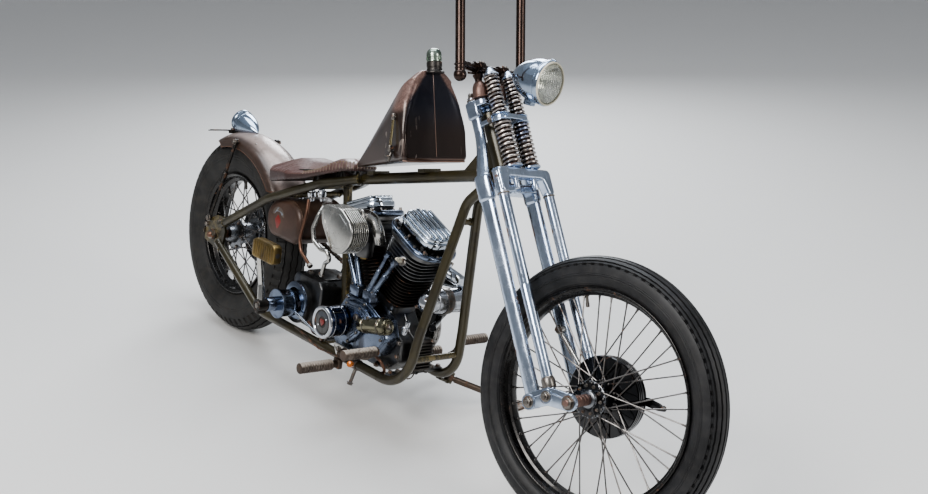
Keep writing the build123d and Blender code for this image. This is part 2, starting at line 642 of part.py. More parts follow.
with BuildPart() as seat:
    with BuildSketch(Plane(origin=(453.9, 0, 659.6), x_dir=(1, 0, 0.2), z_dir=(-0.2, 0, 1))):
        with BuildLine():
            Polyline((-199, -104), (-205, 0), (-199, 104), (-60, 128), (112, 80), (183, 47), (188, 0), (183, -47), (112, -80), (-60, -128), close=True)
        make_face()
        fillet(vertices(), 20)
    extrude(amount=24)
    # rolled leather edge round the pan, hanging deepest at the back
    with BuildSketch(Plane(origin=(453.9, 0, 659.6), x_dir=(1, 0, 0.2), z_dir=(-0.2, 0, 1))):
        with BuildLine():
            Polyline((-199, -104), (-205, 0), (-199, 104), (-60, 128), (112, 80), (183, 47), (188, 0), (183, -47), (112, -80), (-60, -128), close=True)
        make_face()
        fillet(vertices(), 20)
        with BuildLine():
            Polyline((-186.5, -93), (-192, 0), (-186.5, 93), (-60, 114.8), (107.5, 68), (171, 38.5), (175, 0), (171, -38.5), (107.5, -68), (-60, -114.8), close=True)
        make_face(mode=Mode.SUBTRACT)
    extrude(amount=-52)
    with BuildSketch(Plane(origin=(453.9, 0, 659.6), x_dir=(1, 0, 0.2), z_dir=(0, -1, 0))):
        with BuildLine():
            Polyline((-240, -47), (0, -32), (150, -6), (240, -4), (240, -90), (-240, -90), close=True)
        make_face()
    extrude(amount=160, both=True, mode=Mode.SUBTRACT)


def fender_profile(thickness):
    """The edges of the fender's section; 0 gives it filled down to the tyre's middle."""
    with BuildLine() as line:
        Polyline((296, -76), (318, -73.5), (332, -52))
        ThreePointArc((332, -52), (350, 0), (332, 52))
        if thickness:
            Polyline((332, 52), (318, 73.5), (296, 76), (296, 73), (316.5, 70.6), (329.4, 50.3))
            ThreePointArc((329.4, 50.3), (347, 0), (329.4, -50.3))
            Polyline((329.4, -50.3), (316.5, -70.6), (296, -73), (296, -76))
        else:
            Polyline((332, 52), (318, 73.5), (296, 76), (200, 76), (200, -76), (296, -76))
    return line.edges()


with BuildPart() as rear_fender:
    with BuildSketch(Plane.XY):
        make_face(fender_profile(3))
    revolve(axis=Axis.Y, revolution_arc=84)
    # the tail is trimmed round
    with BuildSketch(Plane.YZ.offset(230)):
        with Locations((0, -30)):
            Rectangle(200, 140)
        with Locations((0, -100)):
            Ellipse(79, 98, mode=Mode.SUBTRACT)
    extrude(amount=180, mode=Mode.SUBTRACT)
with BuildPart() as fender_fill:
    with BuildSketch(Plane.XY):
        make_face(fender_profile(0))
    revolve(axis=Axis.Y, revolution_arc=84)
with BuildPart() as fender_struts:
    for side in (-1, 1):
        add(between((8, side * 81, 652), (-30, side * 126, 376), 7))
with BuildPart() as tail_light:
    with BuildSketch(Plane.XY):
        with BuildLine():
            Polyline((0, 0), (110, 0))
            ThreePointArc((110, 0), (60, 29), (6, 38))
            Polyline((6, 38), (6, 40), (0, 40), (0, 0))
        make_face()
    revolve(axis=Axis.X)
with BuildPart() as foot_pegs:
    for side in (-1, 1):
        add(between((790, side * 117, 150), (790, side * 264, 150), 11))
        add(between((790, side * 150, 150), (790, side * 262, 150), 16))
with BuildPart() as brake_pedal:
    add(between((985, -144, 256), (985, -262, 256), 15))
    add(tube([(985, -150, 256), (925, -132, 214), (812, -132, 190)], 7, 40))
    add(drum((812, -117, 190), (0, -1, 0), 24, 13))
with BuildPart() as clutch_pedal:
    add(between((985, 166, 256), (985, 262, 256), 15))
    add(tube([(985, 168, 256), (960, 168, 214), (930, 168, 190)], 7, 20))

# ================================================================ headlight (on the fork)
with BuildPart() as headlight:
    with BuildSketch(Plane.XZ):
        with BuildLine():
            Polyline((-6, 0), (-6, 54), (0, 54), (6, 58), (0, 60), (-14, 59))
            ThreePointArc((-14, 59), (-78, 44), (-112, 0))
            Line((-112, 0), (-6, 0))
        make_face()
    revolve(axis=Axis.X)
    with BuildSketch(Plane.XY.offset(-66)):
        with Locations((-48, 0)):
            Rectangle(26, 20)
    extrude(amount=14)
with BuildPart() as headlight_lens:
    with BuildSketch(Plane.XZ):
        with BuildLine():
            Polyline((-5.7, 0), (-5.7, 53.5), (0, 53.5), (5, 40), (8, 20), (9, 0), close=True)
        make_face()
    revolve(axis=Axis.X)

with BuildPart() as tail_light_lens:
    with BuildSketch(Plane(origin=(-0.3, 0, 0), x_dir=(0, 1, 0), z_dir=(-1, 0, 0))):
        Circle(36)
    extrude(amount=8)
with BuildPart() as plate_bracket:
    with BuildSketch(Plane.XY):
        RectangleRounded(84, 150, 8)
        with Locations((-24, -60), (-24, 60)):
            Circle(PLATE_HOLE_R, mode=Mode.SUBTRACT)
    extrude(amount=3)
    with Locations((34, 0, -5)):
        Box(16, 60, 10)


def belt(c1, r1, c2, r2):
    """A closed loop round two circles, larger one first, in a sketch."""
    dx, dz = c2[0] - c1[0], c2[1] - c1[1]
    span = math.hypot(dx, dz)
    base, open_ = math.atan2(dz, dx), math.acos((r1 - r2) / span)
    pts = []
    for c, r in ((c1, r1), (c2, r2)):
        for sign in (1, -1):
            a = base + sign * open_
            pts.append((c[0] + r * math.cos(a), c[1] + r * math.sin(a)))
    far1 = (c1[0] - r1 * math.cos(base), c1[1] - r1 * math.sin(base))
    far2 = (c2[0] + r2 * math.cos(base), c2[1] + r2 * math.sin(base))
    Line(pts[0], pts[2])
    ThreePointArc(pts[2], far2, pts[3])
    Line(pts[3], pts[1])
    ThreePointArc(pts[1], far1, pts[0])


GEARBOX_OUT = (512.0, 272.0)
with BuildPart() as primary_cover:
    with BuildSketch(Plane(origin=(0, 164, 0), x_dir=(1, 0, 0), z_dir=(0, -1, 0))):
        with BuildLine():
            belt((512, 272), 112, (CRANK[0], CRANK[2]), 88)
        make_face()
    extrude(amount=40)
with BuildPart() as drive_chain:
    with BuildSketch(Plane(origin=(0, CHAIN_Y + 6, 0), x_dir=(1, 0, 0), z_dir=(0, -1, 0))):
        with BuildLine():
            belt((0, HUB_Z), SPROCKET_R + 8.5, GEARBOX_OUT, 69.0)
        make_face()
        with BuildLine():
            belt((0, HUB_Z), SPROCKET_R - 2.5, GEARBOX_OUT, 58.0)
        make_face(mode=Mode.SUBTRACT)
    extrude(amount=12)
with BuildPart() as drive_sprocket:
    with BuildSketch(Plane(origin=(GEARBOX_OUT[0], CHAIN_Y + 3, GEARBOX_OUT[1]), x_dir=(1, 0, 0), z_dir=(0, -1, 0))):
        Circle(57.5)
    extrude(amount=6)
    with BuildSketch(Plane(origin=(GEARBOX_OUT[0], CHAIN_Y - 3, GEARBOX_OUT[1]), x_dir=(1, 0, 0), z_dir=(0, -1, 0))):
        Circle(24)
    extrude(amount=CHAIN_Y - 3 - 75.3)

# ================================================================ parked pose
REAR_RING, FRONT_RING = REAR_R - REAR_HALF, FRONT_R - FRONT_HALF


def turned(v, pitch):
    """Lean to the left, then pitch the nose up or down."""
    l, x, y, z = math.radians(LEAN), *v
    y, z = y * math.cos(l) + z * math.sin(l), z * math.cos(l) - y * math.sin(l)
    return (x * math.cos(pitch) + z * math.sin(pitch), y, z * math.cos(pitch) - x * math.sin(pitch))


def untilted(v, pitch):
    l, x, y, z = math.radians(LEAN), *v
    x, z = x * math.cos(pitch) - z * math.sin(pitch), z * math.cos(pitch) + x * math.sin(pitch)
    return (x, y * math.cos(l) - z * math.sin(l), z * math.cos(l) + y * math.sin(l))


def steered(v, angle=STEER_REST):
    """A direction turned about the steering axis."""
    a, k = math.radians(angle), AXIS
    dot = sum(k[i] * v[i] for i in range(3))
    cross = (k[1] * v[2] - k[2] * v[1], k[2] * v[0] - k[0] * v[2], k[0] * v[1] - k[1] * v[0])
    return tuple(v[i] * math.cos(a) + cross[i] * math.sin(a) + k[i] * dot * (1 - math.cos(a)) for i in range(3))


def touch(centre, axle, ring, tube_r, pitch):
    """Height of a leaning tyre's lowest point."""
    c, n = turned(centre, pitch), turned(axle, pitch)
    return c[2] - ring * math.sqrt(1 - n[2] ** 2) - tube_r


arm = tuple(FRONT_AXLE[i] - FOOT_O[i] for i in range(3))
FRONT_CENTRE = tuple(FOOT_O[i] + steered(arm)[i] for i in range(3))
FRONT_SPIN = steered((0, 1, 0))
pitch = 0.0
for _ in range(12):
    rear_low = touch((0, 0, HUB_Z), (0, 1, 0), REAR_RING, REAR_HALF, pitch)
    front_low = touch(FRONT_CENTRE, FRONT_SPIN, FRONT_RING, FRONT_HALF, pitch)
    pitch += (front_low - rear_low) / WHEELBASE
LIFT = -touch((0, 0, HUB_Z), (0, 1, 0), REAR_RING, REAR_HALF, pitch)
FLOOR_UP = untilted((0, 0, 1), pitch)


def floor_z(x, y):
    """Height of the floor in the bike's own frame at a place beside the machine."""
    return -(LIFT + x * FLOOR_UP[0] + y * FLOOR_UP[1]) / FLOOR_UP[2]


# side stand: hinge under the left rail, foot out to the left and ahead of the hinge
HINGE = (985.0, 138.0, 146.0)
FOOT = (1087.0, 330.0, floor_z(1087.0, 330.0))
deployed = tuple(FOOT[i] - HINGE[i] for i in range(3))
FOLDED = (-0.96, 0.17, -0.17)
cx = (deployed[1] * FOLDED[2] - deployed[2] * FOLDED[1], deployed[2] * FOLDED[0] - deployed[0] * FOLDED[2],
      deployed[0] * FOLDED[1] - deployed[1] * FOLDED[0])
size = math.sqrt(sum(c * c for c in cx))
STAND_AXIS = tuple(c / size for c in cx)


def along(start, direction, amount):
    return tuple(start[i] + direction[i] * amount for i in range(3))


with BuildPart() as side_stand:
    add(drum(along(HINGE, STAND_AXIS, -8), STAND_AXIS, 16, 13))
    add(between(HINGE, along(HINGE, deployed, 0.2), 7.6))
    add(between(along(HINGE, deployed, 0.09), along(FOOT, FLOOR_UP, 10.5), 9.5))
    with BuildSketch(Plane(origin=FOOT, x_dir=(1, 0, 0.01), z_dir=FLOOR_UP)):
        Circle(30)
    extrude(amount=7)
    add(drum(along(HINGE, STAND_AXIS, -9), STAND_AXIS, 18, 5.4), mode=Mode.SUBTRACT)
with BuildPart() as stand_bracket:
    add(drum(along(HINGE, STAND_AXIS, -17), STAND_AXIS, 8.7, 14))
    add(drum(along(HINGE, STAND_AXIS, 8.3), STAND_AXIS, 8.7, 14))
    add(drum(along(HINGE, STAND_AXIS, -19), STAND_AXIS, 38, 5.0))
    for x in (978, 992):
        add(between(along(HINGE, STAND_AXIS, 15), (x, 100, 172), 4.2))
        add(between(along(HINGE, STAND_AXIS, -14), (x, 96, 150), 4.2))

PARK = Location((0, 0, LIFT)) * Location((0, 0, 0), (0, math.degrees(pitch), 0)) * Location((0, 0, 0), (-LEAN, 0, 0))
FORK = Location(Plane(origin=FOOT_O, x_dir=AHEAD, z_dir=AXIS)) * Location((0, 0, 0), (0, 0, STEER_REST))
FRONT_WHEEL = FORK * Location((OFFSET, 0, 0))
REAR_WHEEL = Location((0, 0, HUB_Z))
HEADLIGHT = FORK * Location((201, 0, 791), (0, RAKE + 2, 0))
TAIL = Location((-97, 0, 708), (0, 10.4, 0))
SEATED = {"frame": Location(), "fork": FORK, "front_wheel": FRONT_WHEEL, "rear_wheel": REAR_WHEEL, "lamp": HEADLIGHT,
          "tail": TAIL, "fender": REAR_WHEEL * Location((0, 0, 0), (0, -122, 0)),
          "plate": Location((-160, 0, 663), (0, -12, 0))}

for name, part, rides in (
        ("frame_backbone", frame_backbone.part, "frame"), ("frame_seat_post", frame_seat_post.part, "frame"),
        ("frame_crossmembers", frame_crossmembers.part, "frame"), ("axle_plates", axle_plates.part, "frame"),
        ("rear_axle", rear_axle.part, "frame"), ("crankcase", crankcase.part, "frame"), ("gear_case", gear_case.part, "frame"),
        ("cam_cover", cam_cover.part, "frame"), ("timer_drum", timer_drum.part, "frame"), ("pushrod_tubes", tappet_blocks.part, "frame"),
        ("generator", generator.part, "frame"), ("carburettor", carburettor.part, "frame"), ("air_cleaner", air_cleaner.part, "frame"),
        ("exhaust_pipes", exhaust_pipes.part, "frame"), ("engine_mounts", engine_mounts.part, "frame"),
        ("voltage_regulator", voltage_regulator.part, "frame"), ("primary_cover", primary_cover.part, "frame"),
        ("transmission", transmission.part, "frame"), ("kicker_cover", kicker_cover.part, "frame"),
        ("kick_starter", kick_starter.part, "frame"), ("oil_tank", oil_tank.part, "frame"), ("fuel_tank", fuel_tank.part, "frame"),
        ("tank_mounts", tank_mounts.part, "frame"), ("fuel_cap", fuel_cap.part, "frame"), ("seat_pan", seat_pan.part, "frame"),
        ("seat", seat.part, "frame"), ("rear_fender", rear_fender.part, "fender"), ("fender_struts", fender_struts.part, "frame"),
        ("tail_light", tail_light.part, "tail"), ("tail_light_lens", tail_light_lens.part, "tail"),
        ("plate_bracket", plate_bracket.part, "plate"), ("foot_pegs", foot_pegs.part, "frame"),
        ("brake_pedal", brake_pedal.part, "frame"), ("clutch_pedal", clutch_pedal.part, "frame"),
        ("headlight", headlight.part, "lamp"), ("headlight_lens", headlight_lens.part, "lamp"),
        ("drive_chain", drive_chain.part, "frame"), ("drive_sprocket", drive_sprocket.part, "frame"),
        ("stand_bracket", stand_bracket.part, "frame"), ("side_stand", side_stand.part, "frame")):
    pieces[name] = (part, rides)

# welded joints: (piece that is cut, pieces it is fitted against)
COPED = (("frame_downtube_left", ("frame_backbone",)), ("frame_downtube_right", ("frame_backbone",)),
         ("frame_stay_left", ("frame_backbone", "axle_plates")), ("frame_stay_right", ("frame_backbone", "axle_plates")),
         ("frame_rail_left", ("axle_plates",)), ("frame_rail_right", ("axle_plates",)),
         ("frame_crossmembers", ("frame_downtube_left", "frame_downtube_right", "frame_rail_left", "frame_rail_right",
                                 "frame_stay_left", "frame_stay_right")),
         ("frame_seat_post", ("frame_rail_left", "frame_rail_right", "frame_stay_left", "frame_stay_right")),
         ("tank_mounts", ("frame_backbone", "fuel_tank")), ("fuel_cap", ("fuel_tank",)),
         ("engine_mounts", ("frame_downtube_left", "frame_downtube_right", "frame_rail_left", "frame_rail_right", "crankcase",
                            "frame_seat_post")),
         ("carburettor", ("cylinder_head_front", "cylinder_head_rear", "cylinder_front", "cylinder_rear")),
         ("exhaust_pipes", ("cylinder_head_front", "cylinder_head_rear")),
         ("generator", ("crankcase", "cylinder_front", "exhaust_pipes")),
         ("fender_struts", ("axle_plates", "rear_fender")), ("stand_bracket", ("frame_rail_left", "frame_downtube_left")),
         ("foot_pegs", ("frame_rail_left", "frame_rail_right")), ("seat_pan", ("frame_crossmembers", "frame_seat_post")),
         ("tail_light", ("fender_fill",)), ("plate_bracket", ("fender_fill",)))
for name, others in COPED:
    part, rides = pieces[name]
    with BuildPart() as coped:
        add(part)
        for other in others:
            cutter, seat_of = pieces[other] if other in pieces else (fender_fill.part, "fender")
            add(cutter.moved(SEATED[rides].inverse() * SEATED[seat_of]), mode=Mode.SUBTRACT)
    pieces[name] = (coped.part, rides)

# pieces that are one node: welded or bolted together, or the two sides of a pair
JOINED = (("frame_downtubes", ("frame_downtube_left", "frame_downtube_right")),
          ("frame_rails", ("frame_rail_left", "frame_rail_right", "axle_plates", "stand_bracket")),
          ("frame_stays", ("frame_stay_left", "frame_stay_right")),
          ("frame_crossmembers", ("frame_crossmembers", "frame_seat_post")),
          ("frame_backbone", ("frame_backbone", "tank_mounts")),
          ("crankcase", ("crankcase", "engine_mounts")),
          ("gear_case", ("gear_case", "cam_cover")),
          ("cylinders", ("cylinder_front", "cylinder_rear")),
          ("cylinder_heads", ("cylinder_head_front", "cylinder_head_rear")),
          ("rocker_covers", ("rocker_cover_front", "rocker_cover_rear")),
          ("transmission", ("transmission", "kicker_cover", "drive_sprocket")),
          ("rear_fender", ("rear_fender", "fender_struts")),
          ("foot_controls", ("brake_pedal", "clutch_pedal")),
          ("rigid_fork", ("rigid_fork", "steering_stem")),
          ("fork_springs", ("lower_springs", "upper_springs")),
          ("front_brake_plate", ("front_brake_plate", "torque_arm")),
          ("handlebars", ("handlebars", "bar_risers")))
for name, members in JOINED:
    seat_of = "fork" if pieces[members[0]][1] == "fork" else "frame"
    with BuildPart() as node:
        for member in members:
            part, rides = pieces.pop(member)
            add(part if rides == "fork" else part.moved(SEATED[rides]))
    pieces[name] = (node.part, seat_of)

# the parked machine's box puts the origin under its middle
low, high = [1e9, 1e9, 1e9], [-1e9, -1e9, -1e9]
for name, (part, rides) in pieces.items():
    part.location = PARK * SEATED[rides]
    box = part.bounding_box()
    for i, (a, b) in enumerate(zip(tuple(box.min), tuple(box.max))):
        low[i], high[i] = min(low[i], a), max(high[i], b)
MIDDLE = (-(low[0] + high[0]) / 2, -(low[1] + high[1]) / 2, 0)
print("middle", MIDDLE)
print("box", [round(v, 3) for v in low], [round(v, 3) for v in high], "pitch", round(math.degrees(pitch), 3), "lift", round(LIFT, 3))


def parked(p):
    v = turned(p, pitch)
    return [round((v[0] + MIDDLE[0]) / 1000, 6), round((v[1] + MIDDLE[1]) / 1000, 6), round((v[2] + LIFT) / 1000, 6)]


def heading(d):
    return [round(c, 6) for c in turned(d, pitch)]


print("steering", parked(FOOT_O), heading(AXIS))
print("front_wheel_spin", parked(FRONT_CENTRE), heading(FRONT_SPIN))
print("rear_wheel_spin", parked((0, 0, HUB_Z)), heading((0, 1, 0)))
print("side_stand_fold", parked(HINGE), heading(STAND_AXIS))
print("axle_end", parked((0, -146, HUB_Z)), heading((0, -1, 0)))
hole_mid, hole_up = (SEATED["plate"] * Location((-24, 0, 3))).position, (SEATED["plate"] * Location((-24, 0, 4))).position
print("plate_holes", parked(tuple(hole_mid)), heading(tuple(hole_up - hole_mid)))
swing = sum(d * f for d, f in zip(deployed, FOLDED)) / math.dist(HINGE, FOOT) / math.hypot(*FOLDED)
print("stand folds by", round(math.degrees(math.acos(swing)), 2))

os.makedirs("parts", exist_ok=True)
for name, (part, rides) in pieces.items():
    part.location = Location(MIDDLE) * PARK * SEATED[rides]
    part.label = name
    export_step(part, f"parts/{name}.step")
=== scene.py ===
import bpy, bmesh, json, math, random
import numpy as np
from mathutils import Matrix, Vector
from mathutils.bvhtree import BVHTree

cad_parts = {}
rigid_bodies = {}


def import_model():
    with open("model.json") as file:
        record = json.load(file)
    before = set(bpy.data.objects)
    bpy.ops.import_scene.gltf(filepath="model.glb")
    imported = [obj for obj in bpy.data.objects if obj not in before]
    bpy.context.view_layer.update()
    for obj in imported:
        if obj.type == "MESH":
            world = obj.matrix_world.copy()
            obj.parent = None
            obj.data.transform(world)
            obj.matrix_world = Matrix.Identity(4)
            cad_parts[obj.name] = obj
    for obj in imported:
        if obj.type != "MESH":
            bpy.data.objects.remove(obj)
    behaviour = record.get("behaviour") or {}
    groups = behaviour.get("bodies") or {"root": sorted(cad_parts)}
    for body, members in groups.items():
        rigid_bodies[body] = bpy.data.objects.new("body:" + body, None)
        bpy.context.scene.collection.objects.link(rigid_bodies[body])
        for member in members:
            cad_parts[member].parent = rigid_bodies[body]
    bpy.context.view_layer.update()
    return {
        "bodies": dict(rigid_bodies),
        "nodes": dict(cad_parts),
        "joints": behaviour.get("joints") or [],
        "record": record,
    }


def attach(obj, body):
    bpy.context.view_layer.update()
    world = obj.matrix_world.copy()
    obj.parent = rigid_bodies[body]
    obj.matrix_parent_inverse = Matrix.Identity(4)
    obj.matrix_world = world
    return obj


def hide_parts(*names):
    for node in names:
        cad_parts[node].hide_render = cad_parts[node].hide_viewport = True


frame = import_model()
rnd = random.Random(11)
pi, sin, cos = math.pi, math.sin, math.cos


# ================================================================ frames: local millimetres -> row metres
def T(x, y, z):
    return Matrix.Translation((x * 0.001, y * 0.001, z * 0.001))


def R(deg, axis):
    return Matrix.Rotation(math.radians(deg), 4, axis)


RAKE, LEAN, STEER, OFFSET = 31.6, 11.2, 10.7, 112.0
RHO = math.radians(RAKE)
AHEAD, AXIS = Vector((cos(RHO), 0, sin(RHO))), Vector((-sin(RHO), 0, cos(RHO)))
O = Vector((1651, 0, 348)) - OFFSET * AHEAD
BIKE = T(-829.706, -106.407, 1.219) @ R(0.081, "Y") @ R(-LEAN, "X")
FORK = BIKE @ T(*O) @ R(-RAKE, "Y") @ R(STEER, "Z")
FRONT = FORK @ T(OFFSET, 0, 0)
REAR = BIKE @ T(0, 0, 335)
LAMP = FORK @ T(201, 0, 791) @ R(RAKE + 2, "Y")
TAIL = BIKE @ T(-97, 0, 708) @ R(10.4, "Y")
FENDER = REAR @ R(-122, "Y")
PLATE = BIKE @ T(-160, 0, 663) @ R(-12, "Y")


# ================================================================ mesh building (millimetres)
def frame_of(z, x=None):
    """Rotation whose third column is z."""
    z = Vector(z).normalized()
    x = Vector(x) if x is not None else (Vector((1, 0, 0)) if abs(z.x) < 0.9 else Vector((0, 1, 0)))
    x = (x - z * x.dot(z)).normalized()
    y = z.cross(x)
    return Matrix((x, y, z)).transposed().to_4x4()


def at(p, z=(0, 0, 1), x=None):
    return Matrix.Translation(p) @ frame_of(z, x)


def fillet(pts, radius, step=12.0, closed=False):
    """A polyline with its corners rounded."""
    pts = [Vector(p) for p in pts]
    n, out = len(pts), []
    for i, p in enumerate(pts):
        if not closed and i in (0, n - 1):
            out.append(p)
            continue
        a, b = pts[i - 1], pts[(i + 1) % n]
        u, v = (a - p), (b - p)
        lu, lv = u.length, v.length
        u, v = u / lu, v / lv
        ang = u.angle(v)
        r = radius[i] if isinstance(radius, (list, tuple)) else radius
        if ang > pi - 0.02 or r <= 0:
            out.append(p)
            continue
        t = min(r / math.tan(ang / 2), lu * 0.49, lv * 0.49)
        rr = t * math.tan(ang / 2)
        c = p + (u + v).normalized() * (rr / sin(ang / 2))
        s, e = p + u * t - c, p + v * t - c
        k = max(3, int((pi - ang) / math.radians(step)) + 1)
        for j in range(k + 1):
            w = j / k
            out.append(c + s.slerp(e, w).normalized() * rr if s.angle(e) > 1e-3 else p)
    return out


def fil2(pts, radius, step=15.0):
    return [(q.x, q.y) for q in fillet([(x, y, 0) for x, y in pts], radius, step, True)]


def rect(w, d, r, n=14, cx=0.0, cy=0.0):
    return fil2([(cx - w / 2, cy - d / 2), (cx + w / 2, cy - d / 2), (cx + w / 2, cy + d / 2), (cx - w / 2, cy + d / 2)], r, n)


def inset(poly, d):
    """Mitred offset of a closed outline towards its inside."""
    n = len(poly)
    area = sum(poly[i][0] * poly[(i + 1) % n][1] - poly[(i + 1) % n][0] * poly[i][1] for i in range(n))
    s = 1 if area > 0 else -1
    out = []
    for i in range(n):
        p, q, r = Vector(poly[i - 1]), Vector(poly[i]), Vector(poly[(i + 1) % n])
        a, b = (q - p), (r - q)
        if a.length < 1e-6 or b.length < 1e-6:
            out.append(tuple(q))
            continue
        a, b = a.normalized(), b.normalized()
        na, nb = Vector((-a.y, a.x)) * s, Vector((-b.y, b.x)) * s
        m = na + nb
        k = 2 / max(m.length_squared, 0.5)
        out.append(tuple(q + m * (d * k)))
    return out


class Mesh:
    def __init__(self):
        self.v, self.f, self.m, self.mat = [], [], [], 0
        self.M = Matrix.Identity(4)

    def add(self, verts, faces):
        n = len(self.v)
        M = self.M
        self.v += [M @ Vector(p) for p in verts]
        self.f += [tuple(i + n for i in f) for f in faces]
        self.m += [self.mat] * len(faces)
        return self

    def rings(self, rings, closed=True, wrap=False, cap0=False, cap1=False):
        """Skins a list of rings of equal length."""
        n, verts, faces = len(rings[0]), [p for r in rings for p in r], []
        k = len(rings)
        for i in range(k if wrap else k - 1):
            for j in range(n if closed else n - 1):
                a, b = i * n + j, i * n + (j + 1) % n
                c, d = ((i + 1) % k) * n + (j + 1) % n, ((i + 1) % k) * n + j
                faces.append((a, b, c, d))
        if cap0:
            faces.append(tuple(range(n))[::-1])
        if cap1:
            faces.append(tuple(range((k - 1) * n, k * n)))
        return self.add(verts, faces)

    def lathe(self, profile, M=Matrix.Identity(4), seg=40, closed=False, arc=360.0, start=0.0):
        """Profile of (radius, height) turned about the local Z of M."""
        rings = []
        full = arc >= 359.9
        for i in range(seg if full else seg + 1):
            a = math.radians(start + arc * i / seg)
            rings.append([M @ Vector((r * cos(a), r * sin(a), h)) for r, h in profile])
        return self.rings(rings, closed=closed, wrap=full)

    def cyl(self, a, b, r, seg=20, bevel=0.8, r2=None):
        a, b = Vector(a), Vector(b)
        L = (b - a).length
        r2 = r if r2 is None else r2
        e = min(bevel, r * 0.45, r2 * 0.45, L * 0.45)
        return self.lathe([(0, 0), (r - e, 0), (r - e * 0.3, e * 0.3), (r, e), (r2, L - e), (r2 - e * 0.3, L - e * 0.3), (r2 - e, L), (0, L)], at(a, b - a), seg)

    def ball(self, c, r, seg=20, squash=1.0, z=(0, 0, 1)):
        k = max(8, seg // 2)
        return self.lathe([(r * sin(pi * i / k), -r * squash * cos(pi * i / k)) for i in range(k + 1)], at(c, z), seg)

    def ring(self, c, z, R_, r, seg=40, k=10, squash=1.0):
        return self.lathe([(R_ + r * cos(2 * pi * i / k), r * squash * sin(2 * pi * i / k)) for i in range(k)], at(c, z), seg, closed=True)

    def tube(self, pts, r, seg=12, caps=True, closed=False, flat=1.0, up=None):
        pts = [Vector(p) for p in pts]
        n = len(pts)
        tan = []
        for i in range(n):
            a, b = (pts[i - 1] if closed or i > 0 else pts[0]), (pts[(i + 1) % n] if closed or i < n - 1 else pts[-1])
            tan.append((b - a).normalized())
        x = Vector(up) if up is not None else (Vector((0, 0, 1)) if abs(tan[0].z) < 0.9 else Vector((1, 0, 0)))
        x = (x - tan[0] * x.dot(tan[0])).normalized()
        rings = []
        for i in range(n):
            if i:
                x = (x - tan[i] * x.dot(tan[i])).normalized()
            y = tan[i].cross(x)
            ri = r[i] if isinstance(r, (list, tuple)) else r
            rings.append([pts[i] + x * (ri * cos(2 * pi * j / seg)) + y * (ri * flat * sin(2 * pi * j / seg)) for j in range(seg)])
        return self.rings(rings, wrap=closed, cap0=caps and not closed, cap1=caps and not closed)

    def prism(self, poly, z0, z1, M=Matrix.Identity(4), bevel=0.0, segs=3, only=None):
        """A closed outline raised from z0 to z1 along the local Z of M, its edges rounded."""
        if z1 < z0:
            z0, z1 = z1, z0
        rings = []
        e = min(bevel, (z1 - z0) * 0.49)
        if e <= 0:
            levels = [(0, z0), (0, z1)]
        else:
            q = [(e * (1 - sin(pi / 2 * k / segs)), e * (1 - cos(pi / 2 * k / segs))) for k in range(segs + 1)]
            low = [(d, z0 + h) for d, h in q] if only != "top" else [(0, z0)]
            high = [(d, z1 - h) for d, h in reversed(q)] if only != "bottom" else [(0, z1)]
            levels = low + high
        for d, z in levels:
            o = inset(poly, d) if d > 1e-6 else poly
            rings.append([M @ Vector((p[0], p[1], z)) for p in o])
        return self.rings(rings, cap0=True, cap1=True)

    def box(self, size, M, bevel=1.0, corner=None):
        x, y, z = size[0] / 2, size[1] / 2, size[2] / 2
        c = corner if corner is not None else bevel
        return self.prism(fil2([(-x, -y), (x, -y), (x, y), (-x, y)], c, 30) if c > 0 else [(-x, -y), (x, -y), (x, y), (-x, y)], -z, z, M, bevel, 2)

    def hexn(self, M, r=6.0, h=5.0, washer=True, chamfer=0.8):
        """A hexagon nut or bolt head standing on local Z of M."""
        z = 0.0
        if washer:
            self.lathe([(0, 0), (r * 1.28, 0), (r * 1.28, 1.2), (r * 1.2, 1.5), (0, 1.5)], M, 20)
            z = 1.5
        poly = [(r * cos(pi / 3 * k), r * sin(pi / 3 * k)) for k in range(6)]
        rings = [[M @ Vector((px, py, z)) for px, py in poly], [M @ Vector((px, py, z + h - chamfer)) for px, py in poly],
                 [M @ Vector((px * 0.86, py * 0.86, z + h)) for px, py in poly]]
        return self.rings(rings, cap0=True, cap1=True)

    def cap_screw(self, M, r=4.5, h=4.5):
        self.lathe([(0, 0), (r, 0), (r, h - 0.7), (r - 0.7, h), (r * 0.55, h), (r * 0.5, h - 2.2), (0, h - 2.2)], M, 16)
        return self

    def acorn(self, M, r=8.0, h=14.0):
        self.hexn(M, r, h * 0.4, True, 0.4)
        k = 7
        self.lathe([(r * 0.84 * cos(pi / 2 * i / k), 1.5 + h * 0.4 + h * 0.6 * sin(pi / 2 * i / k)) for i in range(k + 1)], M, 18)
        return self

    def loft(self, stations, e=2.4, n=32):
        """Upright rounded sections (x, y, z, width, depth) skinned one after another."""
        rings = []
        for x, y, z, w, d in stations:
            row = []
            for j in range(n):
                a = 2 * pi * j / n
                c, s = cos(a), sin(a)
                row.append((x + w / 2 * math.copysign(abs(c) ** (2 / e), c), y + d / 2 * math.copysign(abs(s) ** (2 / e), s), z))
            rings.append(row)
        return self.rings(rings, cap0=True, cap1=True)

    def coil(self, c, z, R_, wire, pitch, turns, seg=26, k=10, flat_ends=True):
        n = int(turns * seg)
        pts, h = [], 0.0
        M = at(c, z)
        for i in range(n + 1):
            t = i / seg
            p = pitch
            if flat_ends:
                e = min(t, turns - t)
                p = wire * 2.05 + (pitch - wire * 2.05) * min(1.0, e / 1.0)
            pts.append(M @ Vector((R_ * cos(2 * pi * t), R_ * sin(2 * pi * t), h)))
            h += p / seg
        return self.tube(pts, wire, k, up=z)


